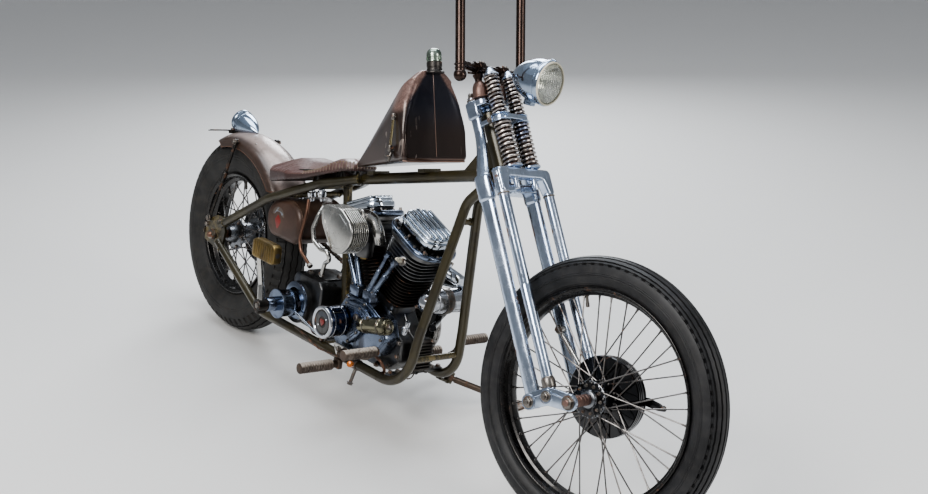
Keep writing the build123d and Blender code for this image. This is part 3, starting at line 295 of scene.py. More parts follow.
def piece(name, mesh, M, body, mats, replaces=(), sharp=32.0, weld=0.01, keep_normals=False):
    """One object from a Mesh: millimetres in, riding on a body."""
    me = bpy.data.meshes.new(name)
    me.from_pydata([M @ (p * 0.001) for p in mesh.v], [], mesh.f)
    mats = mats if isinstance(mats, (list, tuple)) else [mats]
    for m in mats:
        me.materials.append(m)
    if len(mats) > 1:
        me.polygons.foreach_set("material_index", mesh.m)
    bm = bmesh.new()
    bm.from_mesh(me)
    if weld:
        bmesh.ops.remove_doubles(bm, verts=bm.verts, dist=weld * 0.001)
        bmesh.ops.dissolve_degenerate(bm, dist=1e-6, edges=bm.edges)
    if not keep_normals:
        bmesh.ops.recalc_face_normals(bm, faces=bm.faces)
    lim = math.radians(sharp)
    for f in bm.faces:
        f.smooth = True
    for e in bm.edges:
        if len(e.link_faces) == 2:
            e.smooth = e.calc_face_angle(0.0) < lim
    bm.to_mesh(me)
    bm.free()
    o = bpy.data.objects.new(name, me)
    bpy.context.scene.collection.objects.link(o)
    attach(o, body)
    if replaces:
        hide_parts(*replaces)
    return o


# ================================================================ materials
class Mat:
    """A procedural material on one principled shader; positions are the piece's own, in metres."""

    def __init__(self, name, base=(0.5, 0.5, 0.5), metal=0.0, rough=0.5, frame=None, **consts):
        self.m = bpy.data.materials.new(name)
        self.m.use_nodes = True
        self.t = self.m.node_tree
        self.t.nodes.clear()
        self.out = self.t.nodes.new("ShaderNodeOutputMaterial")
        self.b = self.t.nodes.new("ShaderNodeBsdfPrincipled")
        self.t.links.new(self.b.outputs[0], self.out.inputs[0])
        self.color, self.metal, self.rough = (*base, 1.0), metal, rough
        for k, v in consts.items():
            self.b.inputs[k].default_value = v
        co = self.t.nodes.new("ShaderNodeTexCoord")
        self.pos, self.frame = co.outputs["Object"], frame
        if frame is not None:
            # positions in a part's own upright frame
            inv = frame.inverted()
            self.pos = self.n("ShaderNodeMapping", _vector_type="POINT", i0=self.pos, i1=tuple(inv.translation), i2=tuple(inv.to_euler("XYZ"))).outputs[0]
        self.h, self.last = None, None

    def n(self, kind, **inputs):
        node = self.t.nodes.new(kind)
        for k, v in inputs.items():
            if k.startswith("_"):
                setattr(node, k[1:], v)
        for k, v in inputs.items():
            if not k.startswith("_"):
                key = k.replace("__", " ")
                self.put(node.inputs[int(key[1:])] if key[0] == "i" and key[1:].isdigit() else node.inputs[key], v)
        return node

    def put(self, socket, v):
        if isinstance(v, bpy.types.NodeSocket):
            self.t.links.new(v, socket)
        elif isinstance(v, (tuple, list)) and socket.type == "RGBA" and len(v) == 3:
            socket.default_value = (*v, 1.0)
        else:
            socket.default_value = v

    def math(self, op, a, b=0.0, clamp=False):
        return self.n("ShaderNodeMath", _operation=op, _use_clamp=clamp, i0=a, i1=b).outputs[0]

    def mapped(self, scale=(1, 1, 1), loc=(0, 0, 0), rot=(0, 0, 0)):
        return self.n("ShaderNodeMapping", i0=self.pos, i1=loc, i2=rot, i3=scale).outputs[0]

    def noise(self, scale, detail=6.0, rough=0.6, vec=None, warp=0.0):
        return self.n("ShaderNodeTexNoise", Vector=vec if vec is not None else self.pos, Scale=scale, Detail=detail, Roughness=rough, Distortion=warp).outputs[0]

    def cells(self, scale, vec=None, feature="F1", rand=1.0, out="Distance"):
        return self.n("ShaderNodeTexVoronoi", _feature=feature, Vector=vec if vec is not None else self.pos, Scale=scale, Randomness=rand).outputs[out]

    def step(self, v, low, high, a=0.0, b=1.0):
        return self.n("ShaderNodeMapRange", _interpolation_type="SMOOTHSTEP", i0=v, i1=low, i2=high, i3=a, i4=b).outputs[0]

    def xyz(self):
        return self.n("ShaderNodeSeparateXYZ", i0=self.pos).outputs

    def along(self, direction):
        return self.n("ShaderNodeVectorMath", _operation="DOT_PRODUCT", i0=self.pos, i1=direction).outputs["Value"]

    def edges(self, low=0.52, high=0.6):
        g = self.n("ShaderNodeNewGeometry")
        return self.step(g.outputs["Pointiness"], low, high)

    def facing(self, direction, low, high):
        """1 where the surface faces a direction of the piece's own frame."""
        co = self.n("ShaderNodeTexCoord").outputs["Normal"]
        if self.frame is not None:
            direction = tuple(self.frame.to_3x3() @ Vector(direction))
        d = self.n("ShaderNodeVectorMath", _operation="DOT_PRODUCT", i0=co, i1=direction).outputs["Value"]
        return self.step(d, low, high)

    def mix(self, f, a, b):
        node = self.n("ShaderNodeMix", _data_type="RGBA", _clamp_factor=True)
        self.put(node.inputs[0], f)
        self.put(node.inputs[6], a)
        self.put(node.inputs[7], b)
        return node.outputs[2]

    def lerp(self, f, a, b):
        node = self.n("ShaderNodeMix", _data_type="FLOAT", _clamp_factor=True)
        self.put(node.inputs[0], f)
        self.put(node.inputs[2], a)
        self.put(node.inputs[3], b)
        return node.outputs[0]

    def layer(self, mask, color=None, metal=None, rough=None):
        """Lays a finish over the current one where mask is 1."""
        if color is not None:
            self.color = self.mix(mask, self.color, color)
        if metal is not None:
            self.metal = self.lerp(mask, self.metal, metal)
        if rough is not None:
            self.rough = self.lerp(mask, self.rough, rough)
        return self

    def tint(self, fac, color):
        self.color = self.mix(fac, self.color, color)
        return self

    def bump(self, height, strength=0.3, distance=0.001, invert=False):
        node = self.n("ShaderNodeBump", _invert=invert, Strength=strength, Distance=distance, Height=height)
        if self.last is not None:
            self.t.links.new(self.last, node.inputs["Normal"])
        self.last = node.outputs[0]
        return self

    def both(self, a, b):
        return self.math("MULTIPLY", a, b, True)

    def either(self, a, b):
        return self.math("MAXIMUM", a, b)

    def done(self):
        self.put(self.b.inputs["Base Color"], self.color)
        self.put(self.b.inputs["Metallic"], self.metal)
        self.put(self.b.inputs["Roughness"], self.rough)
        if self.last is not None:
            self.t.links.new(self.last, self.b.inputs["Normal"])
        return self.m


def metal(name, base, rough=0.22, rust=0.35, rust_scale=30.0, edge=0.5, grime=0.4, rust_col=(0.115, 0.052, 0.024), dark=(0.03, 0.022, 0.015), brush=0.0, direction=None, coat=0.0, frame=None, stain_and_sheen=None, lean=0.12):
    """Plated or bare metal with stains and painted sheen, pitting, rusty edges and scratches."""
    k = Mat(name, base, 1.0, rough, frame, **({"Coat Weight": coat} if coat else {}))
    soft, fine, pits = k.noise(7.0, 5, 0.6), k.noise(70.0, 8, 0.65), k.noise(420.0, 3, 0.5)
    k.tint(k.step(soft, 0.35, 0.72), tuple(c * 0.62 for c in base))
    # patches of a second tint: a real stain on some metals, a painted bluish sheen on the chromes and dark alloys
    if stain_and_sheen:
        k.tint(k.math("MULTIPLY", k.step(k.noise(11.0, 4, 0.6, warp=0.8), 0.52, 0.66), 0.8), stain_and_sheen)
    k.rough = k.math("ADD", k.rough, k.math("MULTIPLY", k.step(fine, 0.4, 0.75), 0.16))
    smear = k.noise(16.0, 6, 0.7, k.mapped((1, 1, 0.25)), 0.6)
    k.layer(k.math("MULTIPLY", k.step(smear, 0.5, 0.72), grime), dark, 0.35, 0.62)
    r = k.math("ADD", k.noise(rust_scale, 9, 0.72, warp=0.4), k.math("MULTIPLY", k.edges(), 0.09 * edge))
    if direction:
        r = k.math("ADD", r, k.math("MULTIPLY", k.facing(direction, 0.1, 0.9), lean))
    mask = k.step(r, 0.68 - 0.22 * rust, 0.76 - 0.2 * rust)
    k.layer(mask, k.mix(k.step(pits, 0.35, 0.65), rust_col, tuple(c * 2.3 for c in rust_col)), 0.15, 0.82)
    if brush:
        k.bump(k.noise(900.0, 2, 0.5, k.mapped((1, 1, 0.04))), brush, 0.0002)
    k.bump(k.math("MULTIPLY", mask, k.noise(260.0, 6, 0.7)), 0.35, 0.0006)
    k.bump(k.noise(22.0, 3, 0.5), 0.06, 0.003)
    return k.done()


def paint(name, base, worn, rough=0.35, wear=0.5, grime=0.5, dust=(0.30, 0.25, 0.19), dusty=0.35, chips=0.5, metallic=0.0, coat=0.25, patch=None, peel=0.05):
    """Old paint: faded patches, chips down to metal on the edges, streaks of grime and dust on top."""
    k = Mat(name, base, metallic, rough, **{"Coat Weight": coat, "Coat Roughness": 0.25})
    big, mid, fine = k.noise(5.5, 5, 0.6, warp=0.5), k.noise(26.0, 8, 0.7), k.noise(170.0, 6, 0.65)
    k.tint(k.step(big, 0.38, 0.68), tuple(c * 0.55 for c in base))
    if patch:
        k.tint(k.step(k.noise(9.0, 7, 0.7, warp=0.8), 0.52, 0.66), patch)
    k.rough = k.math("ADD", k.rough, k.math("MULTIPLY", mid, 0.25))
    e = k.math("ADD", k.math("MULTIPLY", k.edges(0.515, 0.6), wear), k.math("MULTIPLY", k.step(mid, 0.5, 0.8), 0.35))
    k.layer(k.step(k.math("ADD", e, k.math("MULTIPLY", fine, 0.5)), 0.62, 0.74), worn, 0.5, 0.45)
    chip = k.step(k.noise(60.0, 10, 0.8), 0.735 - 0.09 * chips, 0.76 - 0.09 * chips)
    k.layer(chip, k.mix(fine, (0.09, 0.04, 0.02), (0.26, 0.14, 0.07)), 0.2, 0.85)
    k.layer(k.math("MULTIPLY", k.step(k.noise(12.0, 8, 0.75, k.mapped((1, 1, 0.35)), 0.7), 0.5, 0.74), grime), (0.028, 0.020, 0.013), 0.0, 0.7)
    k.layer(k.math("MULTIPLY", k.both(k.facing((0, 0.19, 0.98), 0.35, 1.0), k.step(k.noise(34.0, 6, 0.6), 0.3, 0.7)), dusty), dust, 0.0, 0.85)
    k.bump(chip, 0.25, 0.0006, True)
    k.bump(k.noise(380.0, 2, 0.5), peel, 0.0004)
    return k.done()


def rubber(name, base=(0.021, 0.020, 0.019), dust=(0.16, 0.13, 0.10), dusty=0.5, rough=0.62, top=0.0):
    k = Mat(name, base, 0.0, rough, BIKE if top else None, **{"Specular IOR Level": 0.4})
    k.tint(k.step(k.noise(14.0, 5, 0.6), 0.35, 0.7), tuple(c * 2.0 for c in base))
    k.layer(k.math("MULTIPLY", k.step(k.math("ADD", k.noise(38.0, 8, 0.7), k.math("MULTIPLY", k.edges(0.5, 0.58), -0.12)), 0.42, 0.72), dusty), dust, 0.0, 0.9)
    if top:
        # dust lies thick on whatever looks up
        k.layer(k.math("MULTIPLY", k.both(k.facing((0, 0, 1), 0.35, 0.75), k.step(k.noise(60.0, 6, 0.7), 0.25, 0.5)), top), dust, 0.0, 0.9)
    k.bump(k.noise(520.0, 4, 0.6), 0.25, 0.0006)
    k.bump(k.cells(60.0), 0.05, 0.001)
    return k.done()


# position masks are in the bike's leaning frame, so the seat and the tank read the same on every copy
chrome = metal("chrome", (0.56, 0.60, 0.66), 0.09, 0.12, 34.0, 0.5, 0.35, brush=0.02)
# the blue-white base colour of the fork chrome is a painted sky reflection
fork_chrome = metal("fork_chrome", (0.60, 0.69, 0.84), 0.13, 0.26, 26.0, 0.8, 0.45, (0.085, 0.048, 0.034), brush=0.05, direction=(-1, 0, -0.1), frame=FORK, lean=0.2)
# the bluish base colour of the lamp chrome is a painted sky reflection
lamp_chrome = metal("lamp_chrome", (0.44, 0.53, 0.66), 0.10, 0.20, 26.0, 0.6, 0.35, (0.105, 0.05, 0.03))
spring_chrome = metal("spring_chrome", (0.52, 0.47, 0.44), 0.17, 0.36, 60.0, 0.3, 0.5, (0.15, 0.075, 0.045), stain_and_sheen=(0.26, 0.30, 0.42))
# dark brown for the cores inside the fork springs: painted shade
spring_shade_core = metal("spring_shade_core", (0.06, 0.042, 0.036), 0.5, 0.5, 60.0, 0.3, 0.5, (0.07, 0.034, 0.02))
engine_chrome = metal("engine_chrome", (0.62, 0.64, 0.68), 0.07, 0.08, 30.0, 0.4, 0.45)
# the dark blue base colour is painted reflection and shade: ground and sky mirrored in the chrome
chrome_painted_dark_blue = metal("chrome_painted_dark_blue", (0.21, 0.25, 0.33), 0.14, 0.16, 24.0, 0.5, 0.7, (0.08, 0.045, 0.03), stain_and_sheen=(0.055, 0.065, 0.095))
rocker_chrome = metal("rocker_chrome", (0.66, 0.72, 0.80), 0.06, 0.05, 30.0, 0.3, 0.25, (0.12, 0.07, 0.03))
# the dark, gold-tinted base colour is a painted reflection on the chrome
chrome_painted_gold_reflection = metal("chrome_painted_gold_reflection", (0.25, 0.235, 0.17), 0.16, 0.20, 30.0, 0.5, 0.7, (0.09, 0.06, 0.03), stain_and_sheen=(0.11, 0.12, 0.125))
cap_chrome = metal("cap_chrome", (0.40, 0.47, 0.40), 0.10, 0.12, 60.0, 0.6, 0.5, (0.07, 0.06, 0.035), stain_and_sheen=(0.14, 0.20, 0.15))
# the cases get a dark base and heavy grime: painted shade, as if the alloy lay in deep shadow; the bluish tint over it
# is a painted sheen
case_alloy = metal("case_alloy", (0.155, 0.155, 0.155), 0.32, 0.12, 24.0, 0.3, 0.95, (0.07, 0.05, 0.035), brush=0.12, stain_and_sheen=(0.085, 0.095, 0.12))
head_alloy = metal("head_alloy", (0.20, 0.20, 0.20), 0.34, 0.12, 24.0, 0.3, 0.85, (0.08, 0.055, 0.04), brush=0.12, stain_and_sheen=(0.10, 0.11, 0.14))
hub_alloy = metal("hub_alloy", (0.26, 0.27, 0.29), 0.26, 0.18, 30.0, 0.4, 0.8, (0.09, 0.05, 0.03), brush=0.1)
polished = metal("polished_alloy", (0.60, 0.59, 0.56), 0.17, 0.05, 30.0, 0.2, 0.5, (0.10, 0.06, 0.035), brush=0.08, stain_and_sheen=(0.42, 0.42, 0.41))
copper = metal("old_copper", (0.25, 0.145, 0.105), 0.34, 0.34, 40.0, 0.6, 0.8, (0.10, 0.045, 0.028), brush=0.1)
egg_brown = metal("riser_nut_patina", (0.31, 0.205, 0.175), 0.46, 0.30, 50.0, 0.5, 0.4, (0.16, 0.085, 0.06), brush=0.05)
brass = metal("old_brass", (0.33, 0.24, 0.105), 0.32, 0.30, 46.0, 0.5, 0.85, (0.10, 0.055, 0.03), brush=0.1)
spoke_steel = metal("spoke_steel", (0.20, 0.19, 0.185), 0.26, 0.30, 60.0, 0.6, 0.5, (0.085, 0.042, 0.025))
dark_steel = metal("dark_steel", (0.075, 0.070, 0.066), 0.34, 0.34, 30.0, 0.8, 0.6, (0.075, 0.038, 0.022))
rusty_steel = metal("rusty_steel", (0.12, 0.095, 0.078), 0.42, 0.6, 36.0, 0.8, 0.7, (0.085, 0.044, 0.027))
bolt_steel = metal("bolt_steel", (0.26, 0.24, 0.22), 0.30, 0.42, 90.0, 0.7, 0.6, (0.12, 0.055, 0.028))
black_gloss = metal("black_gloss", (0.035, 0.035, 0.038), 0.12, 0.20, 22.0, 0.9, 0.3, (0.10, 0.045, 0.022), coat=0.6)
barrel_iron = metal("barrel_iron", (0.055, 0.050, 0.046), 0.42, 0.36, 34.0, 0.8, 0.6, (0.12, 0.055, 0.028))
bar_paint = metal("bar_paint", (0.058, 0.036, 0.029), 0.26, 0.34, 30.0, 0.7, 0.4, (0.085, 0.042, 0.027), coat=0.3)
frame_paint = paint("frame_paint", (0.044, 0.035, 0.013), (0.17, 0.13, 0.055), 0.25, 0.4, 0.55, (0.12, 0.10, 0.065), 0.08, metallic=0.35, patch=(0.026, 0.020, 0.009), coat=0.55)
oil_paint = paint("oil_tank_paint", (0.095, 0.052, 0.036), (0.27, 0.17, 0.12), 0.34, 0.45, 0.5, dusty=0.22, metallic=0.25, patch=(0.055, 0.030, 0.021))
dull_red = paint("dull_red_enamel", (0.22, 0.020, 0.014), (0.20, 0.09, 0.06), 0.34, 0.4, 0.5, dusty=0.15, coat=0.3)
pale_grey = paint("pale_grey_enamel", (0.24, 0.27, 0.31), (0.14, 0.11, 0.09), 0.38, 0.5, 0.6, dusty=0.15, coat=0.2)
rim_paint = metal("rim_black", (0.045, 0.043, 0.042), 0.24, 0.34, 26.0, 0.9, 0.45, (0.11, 0.05, 0.025), coat=0.4)
tyre_rear = rubber("tyre_rear", (0.016, 0.0155, 0.015), (0.075, 0.063, 0.052), 0.34)
tyre_front = rubber("tyre_front", (0.013, 0.013, 0.014), (0.075, 0.068, 0.062), 0.30, 0.46)
peg_rubber = rubber("peg_rubber", (0.045, 0.033, 0.026), (0.42, 0.37, 0.32), 0.45, 0.7, 0.95)
black_rubber = rubber("black_rubber", (0.02, 0.019, 0.018), (0.12, 0.10, 0.08), 0.3)


def fender_material():
    k = Mat("fender_paint", (0.34, 0.275, 0.25), 0.15, 0.32, FENDER, **{"Coat Weight": 0.4, "Coat Roughness": 0.25})
    x, y, z = k.xyz()[:3]
    side = k.step(k.math("ADD", k.math("ABSOLUTE", y), k.math("MULTIPLY", k.noise(14.0, 5, 0.6), 0.010)), 0.044, 0.068)
    k.tint(k.step(k.noise(8.0, 7, 0.7, warp=0.6), 0.5, 0.7), (0.25, 0.185, 0.16))
    # painted highlight: the pale pinkish base is kept on the crown only, the skirts are made near black-brown
    k.tint(side, (0.052, 0.032, 0.024))
    k.tint(k.both(side, k.step(k.noise(10.0, 6, 0.7), 0.5, 0.7)), (0.095, 0.056, 0.042))
    fine = k.noise(150.0, 7, 0.7)
    k.layer(k.step(k.math("ADD", k.math("MULTIPLY", k.edges(0.51, 0.58), 0.5), k.math("MULTIPLY", fine, 0.7)), 0.62, 0.72), (0.09, 0.042, 0.024), 0.2, 0.8)
    k.layer(k.step(k.noise(44.0, 10, 0.8), 0.63, 0.67), (0.10, 0.045, 0.025), 0.1, 0.85)
    k.layer(k.math("MULTIPLY", k.step(k.noise(20.0, 8, 0.7), 0.5, 0.7), 0.4), (0.04, 0.026, 0.018), 0, 0.7)
    k.bump(k.noise(340.0, 3, 0.5), 0.08, 0.0005)
    return k.done()


def tank_material():
    """Dark brown patina under painted light: near-black face and blue-black crown are painted reflection, pale pinkish
    shoulders a painted highlight; scratches and a bare lower lip.
    """
    k = Mat("tank_patina_and_painted_sheen", (0.050, 0.029, 0.022), 0.40, 0.28, BIKE, **{"Coat Weight": 0.5, "Coat Roughness": 0.16})
    x, y, z = k.xyz()[:3]
    big, mid, fine = k.noise(6.0, 6, 0.65, warp=0.6), k.noise(24.0, 9, 0.72), k.noise(190.0, 6, 0.65)
    k.tint(k.step(big, 0.4, 0.66), (0.030, 0.019, 0.016))
    front = k.facing((0.961, 0, 0.276), 0.78, 0.95)
    # height on the front plane and distance behind it
    h = k.math("SUBTRACT", k.math("ADD", k.math("MULTIPLY", x, -0.27564), k.math("MULTIPLY", z, 0.96126)), 0.49245)
    d = k.math("SUBTRACT", 1.13782, k.math("ADD", k.math("MULTIPLY", x, 0.96126), k.math("MULTIPLY", z, 0.27564)))
    # painted reflection: the crown and the middle of the face are made blue-black above, dark brown below
    dark = k.mix(k.step(h, 0.07, 0.17), (0.026, 0.016, 0.013), (0.011, 0.014, 0.026))
    k.layer(k.math("MULTIPLY", k.either(front, k.step(h, 0.20, 0.245)), 0.88), dark, 0.5, 0.22)
    # painted highlight: the upper shoulders are made a pale pinkish brown
    q = k.math("ADD", k.math("ADD", k.math("ABSOLUTE", y), k.math("MULTIPLY", mid, 0.010)), k.math("MULTIPLY", k.math("SUBTRACT", h, 0.150), 0.8))
    fold = k.both(k.step(q, 0.101, 0.117), k.both(k.step(h, 0.09, 0.15), k.step(d, 0.16, 0.05)))
    k.layer(k.math("MULTIPLY", k.both(fold, k.step(mid, 0.25, 0.5)), 0.92), k.mix(k.step(fine, 0.4, 0.6), (0.17, 0.100, 0.082), (0.26, 0.165, 0.14)), 0.30, 0.34)
    k.layer(k.math("MULTIPLY", k.both(k.step(h, 0.014, 0.006), front), 0.8), (0.16, 0.075, 0.05), 0.4, 0.4)
    rub = k.step(k.math("ADD", k.math("MULTIPLY", k.edges(0.505, 0.56), 0.55), k.math("MULTIPLY", fine, 0.7)), 0.66, 0.78)
    k.layer(k.math("MULTIPLY", rub, 0.6), (0.24, 0.15, 0.115), 0.5, 0.38)
    # hairline scratches, gathered on the lower right of the face
    scratch = k.step(k.noise(34.0, 2, 0.4, k.mapped((1.0, 2.6, 0.25), rot=(0.35, 0.0, 0.1)), 1.4), 0.672, 0.682)
    where = k.either(k.both(k.step(z, 0.905, 0.86), k.step(y, -0.045, -0.075)), k.math("MULTIPLY", k.step(k.noise(4.0, 3, 0.5), 0.55, 0.7), 0.5))
    k.layer(k.math("MULTIPLY", k.both(scratch, where), 0.75), (0.30, 0.25, 0.22), 0.6, 0.4)
    rust = k.step(k.noise(52.0, 10, 0.8), 0.655, 0.69)
    k.layer(rust, k.mix(fine, (0.08, 0.034, 0.018), (0.22, 0.10, 0.05)), 0.1, 0.85)
    k.bump(rust, 0.2, 0.0005)
    k.bump(k.noise(9.0, 2, 0.4), 0.08, 0.008)
    k.bump(k.noise(420.0, 2, 0.5), 0.04, 0.0004)
    return k.done()


def leather(name="seat_leather"):
    k = Mat(name, (0.098, 0.047, 0.039), 0.0, 0.38, BIKE, **{"Specular IOR Level": 0.6, "Coat Weight": 0.4, "Coat Roughness": 0.28})
    big, mid = k.noise(9.0, 7, 0.7, warp=0.5), k.noise(48.0, 8, 0.7)
    k.tint(k.step(big, 0.40, 0.66), (0.125, 0.066, 0.056))
    # painted shade: darker down the rolled sides, where the surface turns away from up
    k.tint(k.step(k.facing((0, 0, 1), -0.1, 0.75), 0.75, 0.1), (0.038, 0.016, 0.014))
    k.tint(k.step(k.noise(17.0, 7, 0.7, warp=0.9), 0.52, 0.72), (0.085, 0.036, 0.030))
    crease = k.step(k.cells(85.0, k.mapped((1, 1, 1)), "DISTANCE_TO_EDGE"), 0.0, 0.10)
    k.layer(k.math("MULTIPLY", k.math("SUBTRACT", 1.0, crease), 0.55), (0.04, 0.018, 0.012), 0, 0.7)
    k.layer(k.both(k.edges(0.53, 0.59), k.step(mid, 0.35, 0.6)), (0.20, 0.125, 0.105), 0, 0.5)
    k.rough = k.math("ADD", k.rough, k.math("MULTIPLY", mid, 0.2))
    k.bump(crease, 0.25, 0.0008)
    k.bump(k.noise(460.0, 5, 0.6), 0.2, 0.0005)
    k.bump(k.noise(30.0, 3, 0.5, warp=0.5), 0.15, 0.004)
    return k.done()


def thong():
    k = Mat("lacing", (0.34, 0.28, 0.22), 0.0, 0.62)
    k.tint(k.noise(80.0, 5, 0.6), (0.12, 0.085, 0.06))
    k.bump(k.noise(420.0, 3, 0.6), 0.3, 0.0006)
    return k.done()


def glass(name, col, rough=0.03, wave=0.0):
    k = Mat(name, col, 0.0, rough, **{"Transmission Weight": 0.92, "IOR": 1.5})
    k.rough = k.math("ADD", k.math("MULTIPLY", k.step(k.noise(60.0, 6, 0.7), 0.5, 0.75), 0.22), rough)
    k.tint(k.math("MULTIPLY", k.step(k.noise(30.0, 5, 0.6), 0.4, 0.8), 0.35), tuple(c * 0.6 for c in col))
    if wave:
        k.bump(k.noise(120.0, 2, 0.5), wave, 0.001)
    return k.done()


tank_mat, fender_mat, leather_mat, thong_mat = tank_material(), fender_material(), leather(), thong()
lens_glass = glass("lens_glass", (0.90, 0.92, 0.88), 0.02, 0.05)
red_glass = glass("red_glass", (0.60, 0.02, 0.015), 0.05, 0.05)
tube_glass = glass("sight_glass", (0.70, 0.60, 0.35), 0.08)
blue_drum = metal("drum_blue", (0.020, 0.035, 0.085), 0.22, 0.14, 30.0, 0.7, 0.4, (0.10, 0.05, 0.03), coat=0.5)
primary_mat = metal("primary_tin", (0.30, 0.29, 0.28), 0.22, 0.30, 16.0, 0.5, 0.75, (0.10, 0.05, 0.03), brush=0.08)
reflector = metal("reflector", (0.86, 0.85, 0.80), 0.12, 0.06, 30.0, 0.0, 0.25, (0.16, 0.10, 0.05))
cream = paint("cream_rim", (0.66, 0.62, 0.50), (0.42, 0.34, 0.24), 0.4, 0.4, 0.3, dusty=0.1)
amber = paint("amber_lacquer", (0.55, 0.16, 0.02), (0.30, 0.12, 0.05), 0.16, 0.3, 0.4, dusty=0.1, coat=0.8, metallic=0.3)
olive_wire = paint("wire_cover", (0.035, 0.032, 0.028), (0.10, 0.08, 0.06), 0.5, 0.3, 0.3, dusty=0.4)


# ================================================================ wheels
YAX = (0, 1, 0)


def hub_frame(y=0.0, side=1):
    """Local Z along the axle, outwards on the given side."""
    return at((0, y, 0), (0, side, 0), (1, 0, 0))


def arc3(p0, pm, p1, n):
    (ax, ay), (bx, by), (cx, cy) = p0, pm, p1
    d = 2 * (ax * (by - cy) + bx * (cy - ay) + cx * (ay - by))
    ux = ((ax * ax + ay * ay) * (by - cy) + (bx * bx + by * by) * (cy - ay) + (cx * cx + cy * cy) * (ay - by)) / d
    uy = ((ax * ax + ay * ay) * (cx - bx) + (bx * bx + by * by) * (ax - cx) + (cx * cx + cy * cy) * (bx - ax)) / d
    a0, am, a1 = (math.atan2(q[1] - uy, q[0] - ux) for q in (p0, pm, p1))
    r = math.hypot(ax - ux, ay - uy)
    while am - a0 > pi: am -= 2 * pi
    while am - a0 < -pi: am += 2 * pi
    while a1 - am > pi: a1 -= 2 * pi
    while a1 - am < -pi: a1 += 2 * pi
    return [(ux + r * cos(a0 + (a1 - a0) * i / n), uy + r * sin(a0 + (a1 - a0) * i / n)) for i in range(n + 1)]


def tyre(radius, half, bead_r, bead_y, wall, count, cuts, crown, lines):
    mid = radius - half

    def sidewall(run_half, b_r, b_y, n, marks):
        rise, run_ = mid - b_r, run_half - b_y
        big = (rise * rise + run_ * run_) / (2 * run_)
        turn = math.asin(rise / big) / 2
        pm = (mid - big * sin(turn), run_half - big + big * cos(turn))
        pts = arc3((b_r, b_y), pm, (mid, run_half), n)
        out = []
        for i, (r, y) in enumerate(pts):
            t = i / n
            d = sum(depth for lo, hi, depth in marks if lo <= t <= hi)
            out.append((r, y - d))
        return out
    outer = [(bead_r, bead_y - 8), (bead_r, bead_y)] + sidewall(half, bead_r + 8, bead_y + 3, 22, lines)
    inner = sidewall(half - wall, bead_r + 8, bead_y - 5, 5, ())
    inner_crown = [(mid + (half - wall) * cos(a), (half - wall) * sin(a)) for a in (pi / 2 - pi * k / 10 for k in range(1, 10))]
    m, rings, k = Mesh(), [], 0
    for i in range(count):
        for f in cuts:
            th = 2 * pi * (i + f) / count
            sec = list(outer)
            for phi, d in crown(f):
                a = math.radians(phi)
                sec.append((mid + (half - d) * cos(a), (half - d) * sin(a)))
            sec += [(r, -y) for r, y in reversed(outer)]
            sec += [(r, -y) for r, y in inner]
            sec += [(r, -y) for r, y in inner_crown]
            sec += [(r, y) for r, y in reversed(inner)]
            rings.append([(r * cos(th), y, r * sin(th)) for r, y in sec])
    m.rings(rings, closed=True, wrap=True)
    return m


def rear_crown(f):
    z = 1 - 4 * abs(f - 0.5)
    slot = 6.0 if 0.58 < f < 0.94 else 0.0
    half_slot = 4.5 if 0.08 < f < 0.4 else 0.0
    pos = [(84, 0.8), (76, 0), (69, 0), (67.5, slot * 0.9), (50, slot), (48.5, slot if slot else 0), (41 + z, 0), (40.3 + z, 6), (37.2 + z, 6), (36.5 + z, 0),
           (32, half_slot * 0), (28, 0), (20.5 - z * 2.2, 0), (19.8 - z * 2.2, 6), (17.2 - z * 2.2, 6), (16.5 - z * 2.2, 0), (9, 0), (2.2 + z * 1.5, 0), (1.5 + z * 1.5, 4.5)]
    neg = [(-p, d) for p, d in ((84, 0.8), (76, 0), (69, 0), (67.5, slot * 0.9), (50, slot), (48.5, slot if slot else 0), (41 - z, 0), (40.3 - z, 6), (37.2 - z, 6), (36.5 - z, 0),
                                (32, 0), (28, 0), (20.5 + z * 2.2, 0), (19.8 + z * 2.2, 6), (17.2 + z * 2.2, 6), (16.5 + z * 2.2, 0), (9, 0), (2.2 - z * 1.5, 0), (1.5 - z * 1.5, 4.5))]
    return pos + neg[::-1]


def front_crown(f):
    z = 1 - 4 * abs(f - 0.5)
    saw = 3.5 if 0.55 < f < 0.9 else 0.0
    half = [(82, 0.6), (72, 0.0), (64, 0.0), (62.5, 2.5 + saw * 0.4), (58, 2.5 + saw), (55.5, saw), (54, 0), (48.5, 0), (47.4, 4.2), (43.6, 4.2), (42.5, 0),
            (36, -0.0), (30.5, 0), (29.4, 4.4), (25.0, 4.4), (23.9, 0), (17, 0), (11.4, 0), (10.3, 4.4), (6.4, 4.4), (5.3, 0)]
    pos = [(p + (z * 0.9 if d > 0 and p < 55 else z * 0.5 if p < 54 else 0), d) for p, d in half]
    neg = [(-(p - (z * 0.9 if d > 0 and p < 55 else z * 0.5 if p < 54 else 0)), d) for p, d in half]
    return pos + [(0, 0)] + neg[::-1]


SIDE = ((0.02, 0.06, 0.9), (0.16, 0.19, 1.0), (0.30, 0.78, 0.8), (0.80, 0.83, 1.6), (0.88, 0.90, 1.0), (0.95, 0.97, 1.0))
piece("rear_tyre_tread", tyre(334.8, 63.9, 200.0, 35.5, 10.0, 60, (0.0, 0.25, 0.5, 0.6, 0.92, 0.98), rear_crown, SIDE), REAR, "rear_wheel", tyre_rear, ["rear_tyre"], 28)
piece("front_tyre_tread", tyre(347.8, 41.9, 265.0, 24.0, 7.0, 84, (0.0, 0.25, 0.5, 0.57, 0.88), front_crown, SIDE), FRONT, "front_wheel", tyre_front, ["front_tyre"], 28)


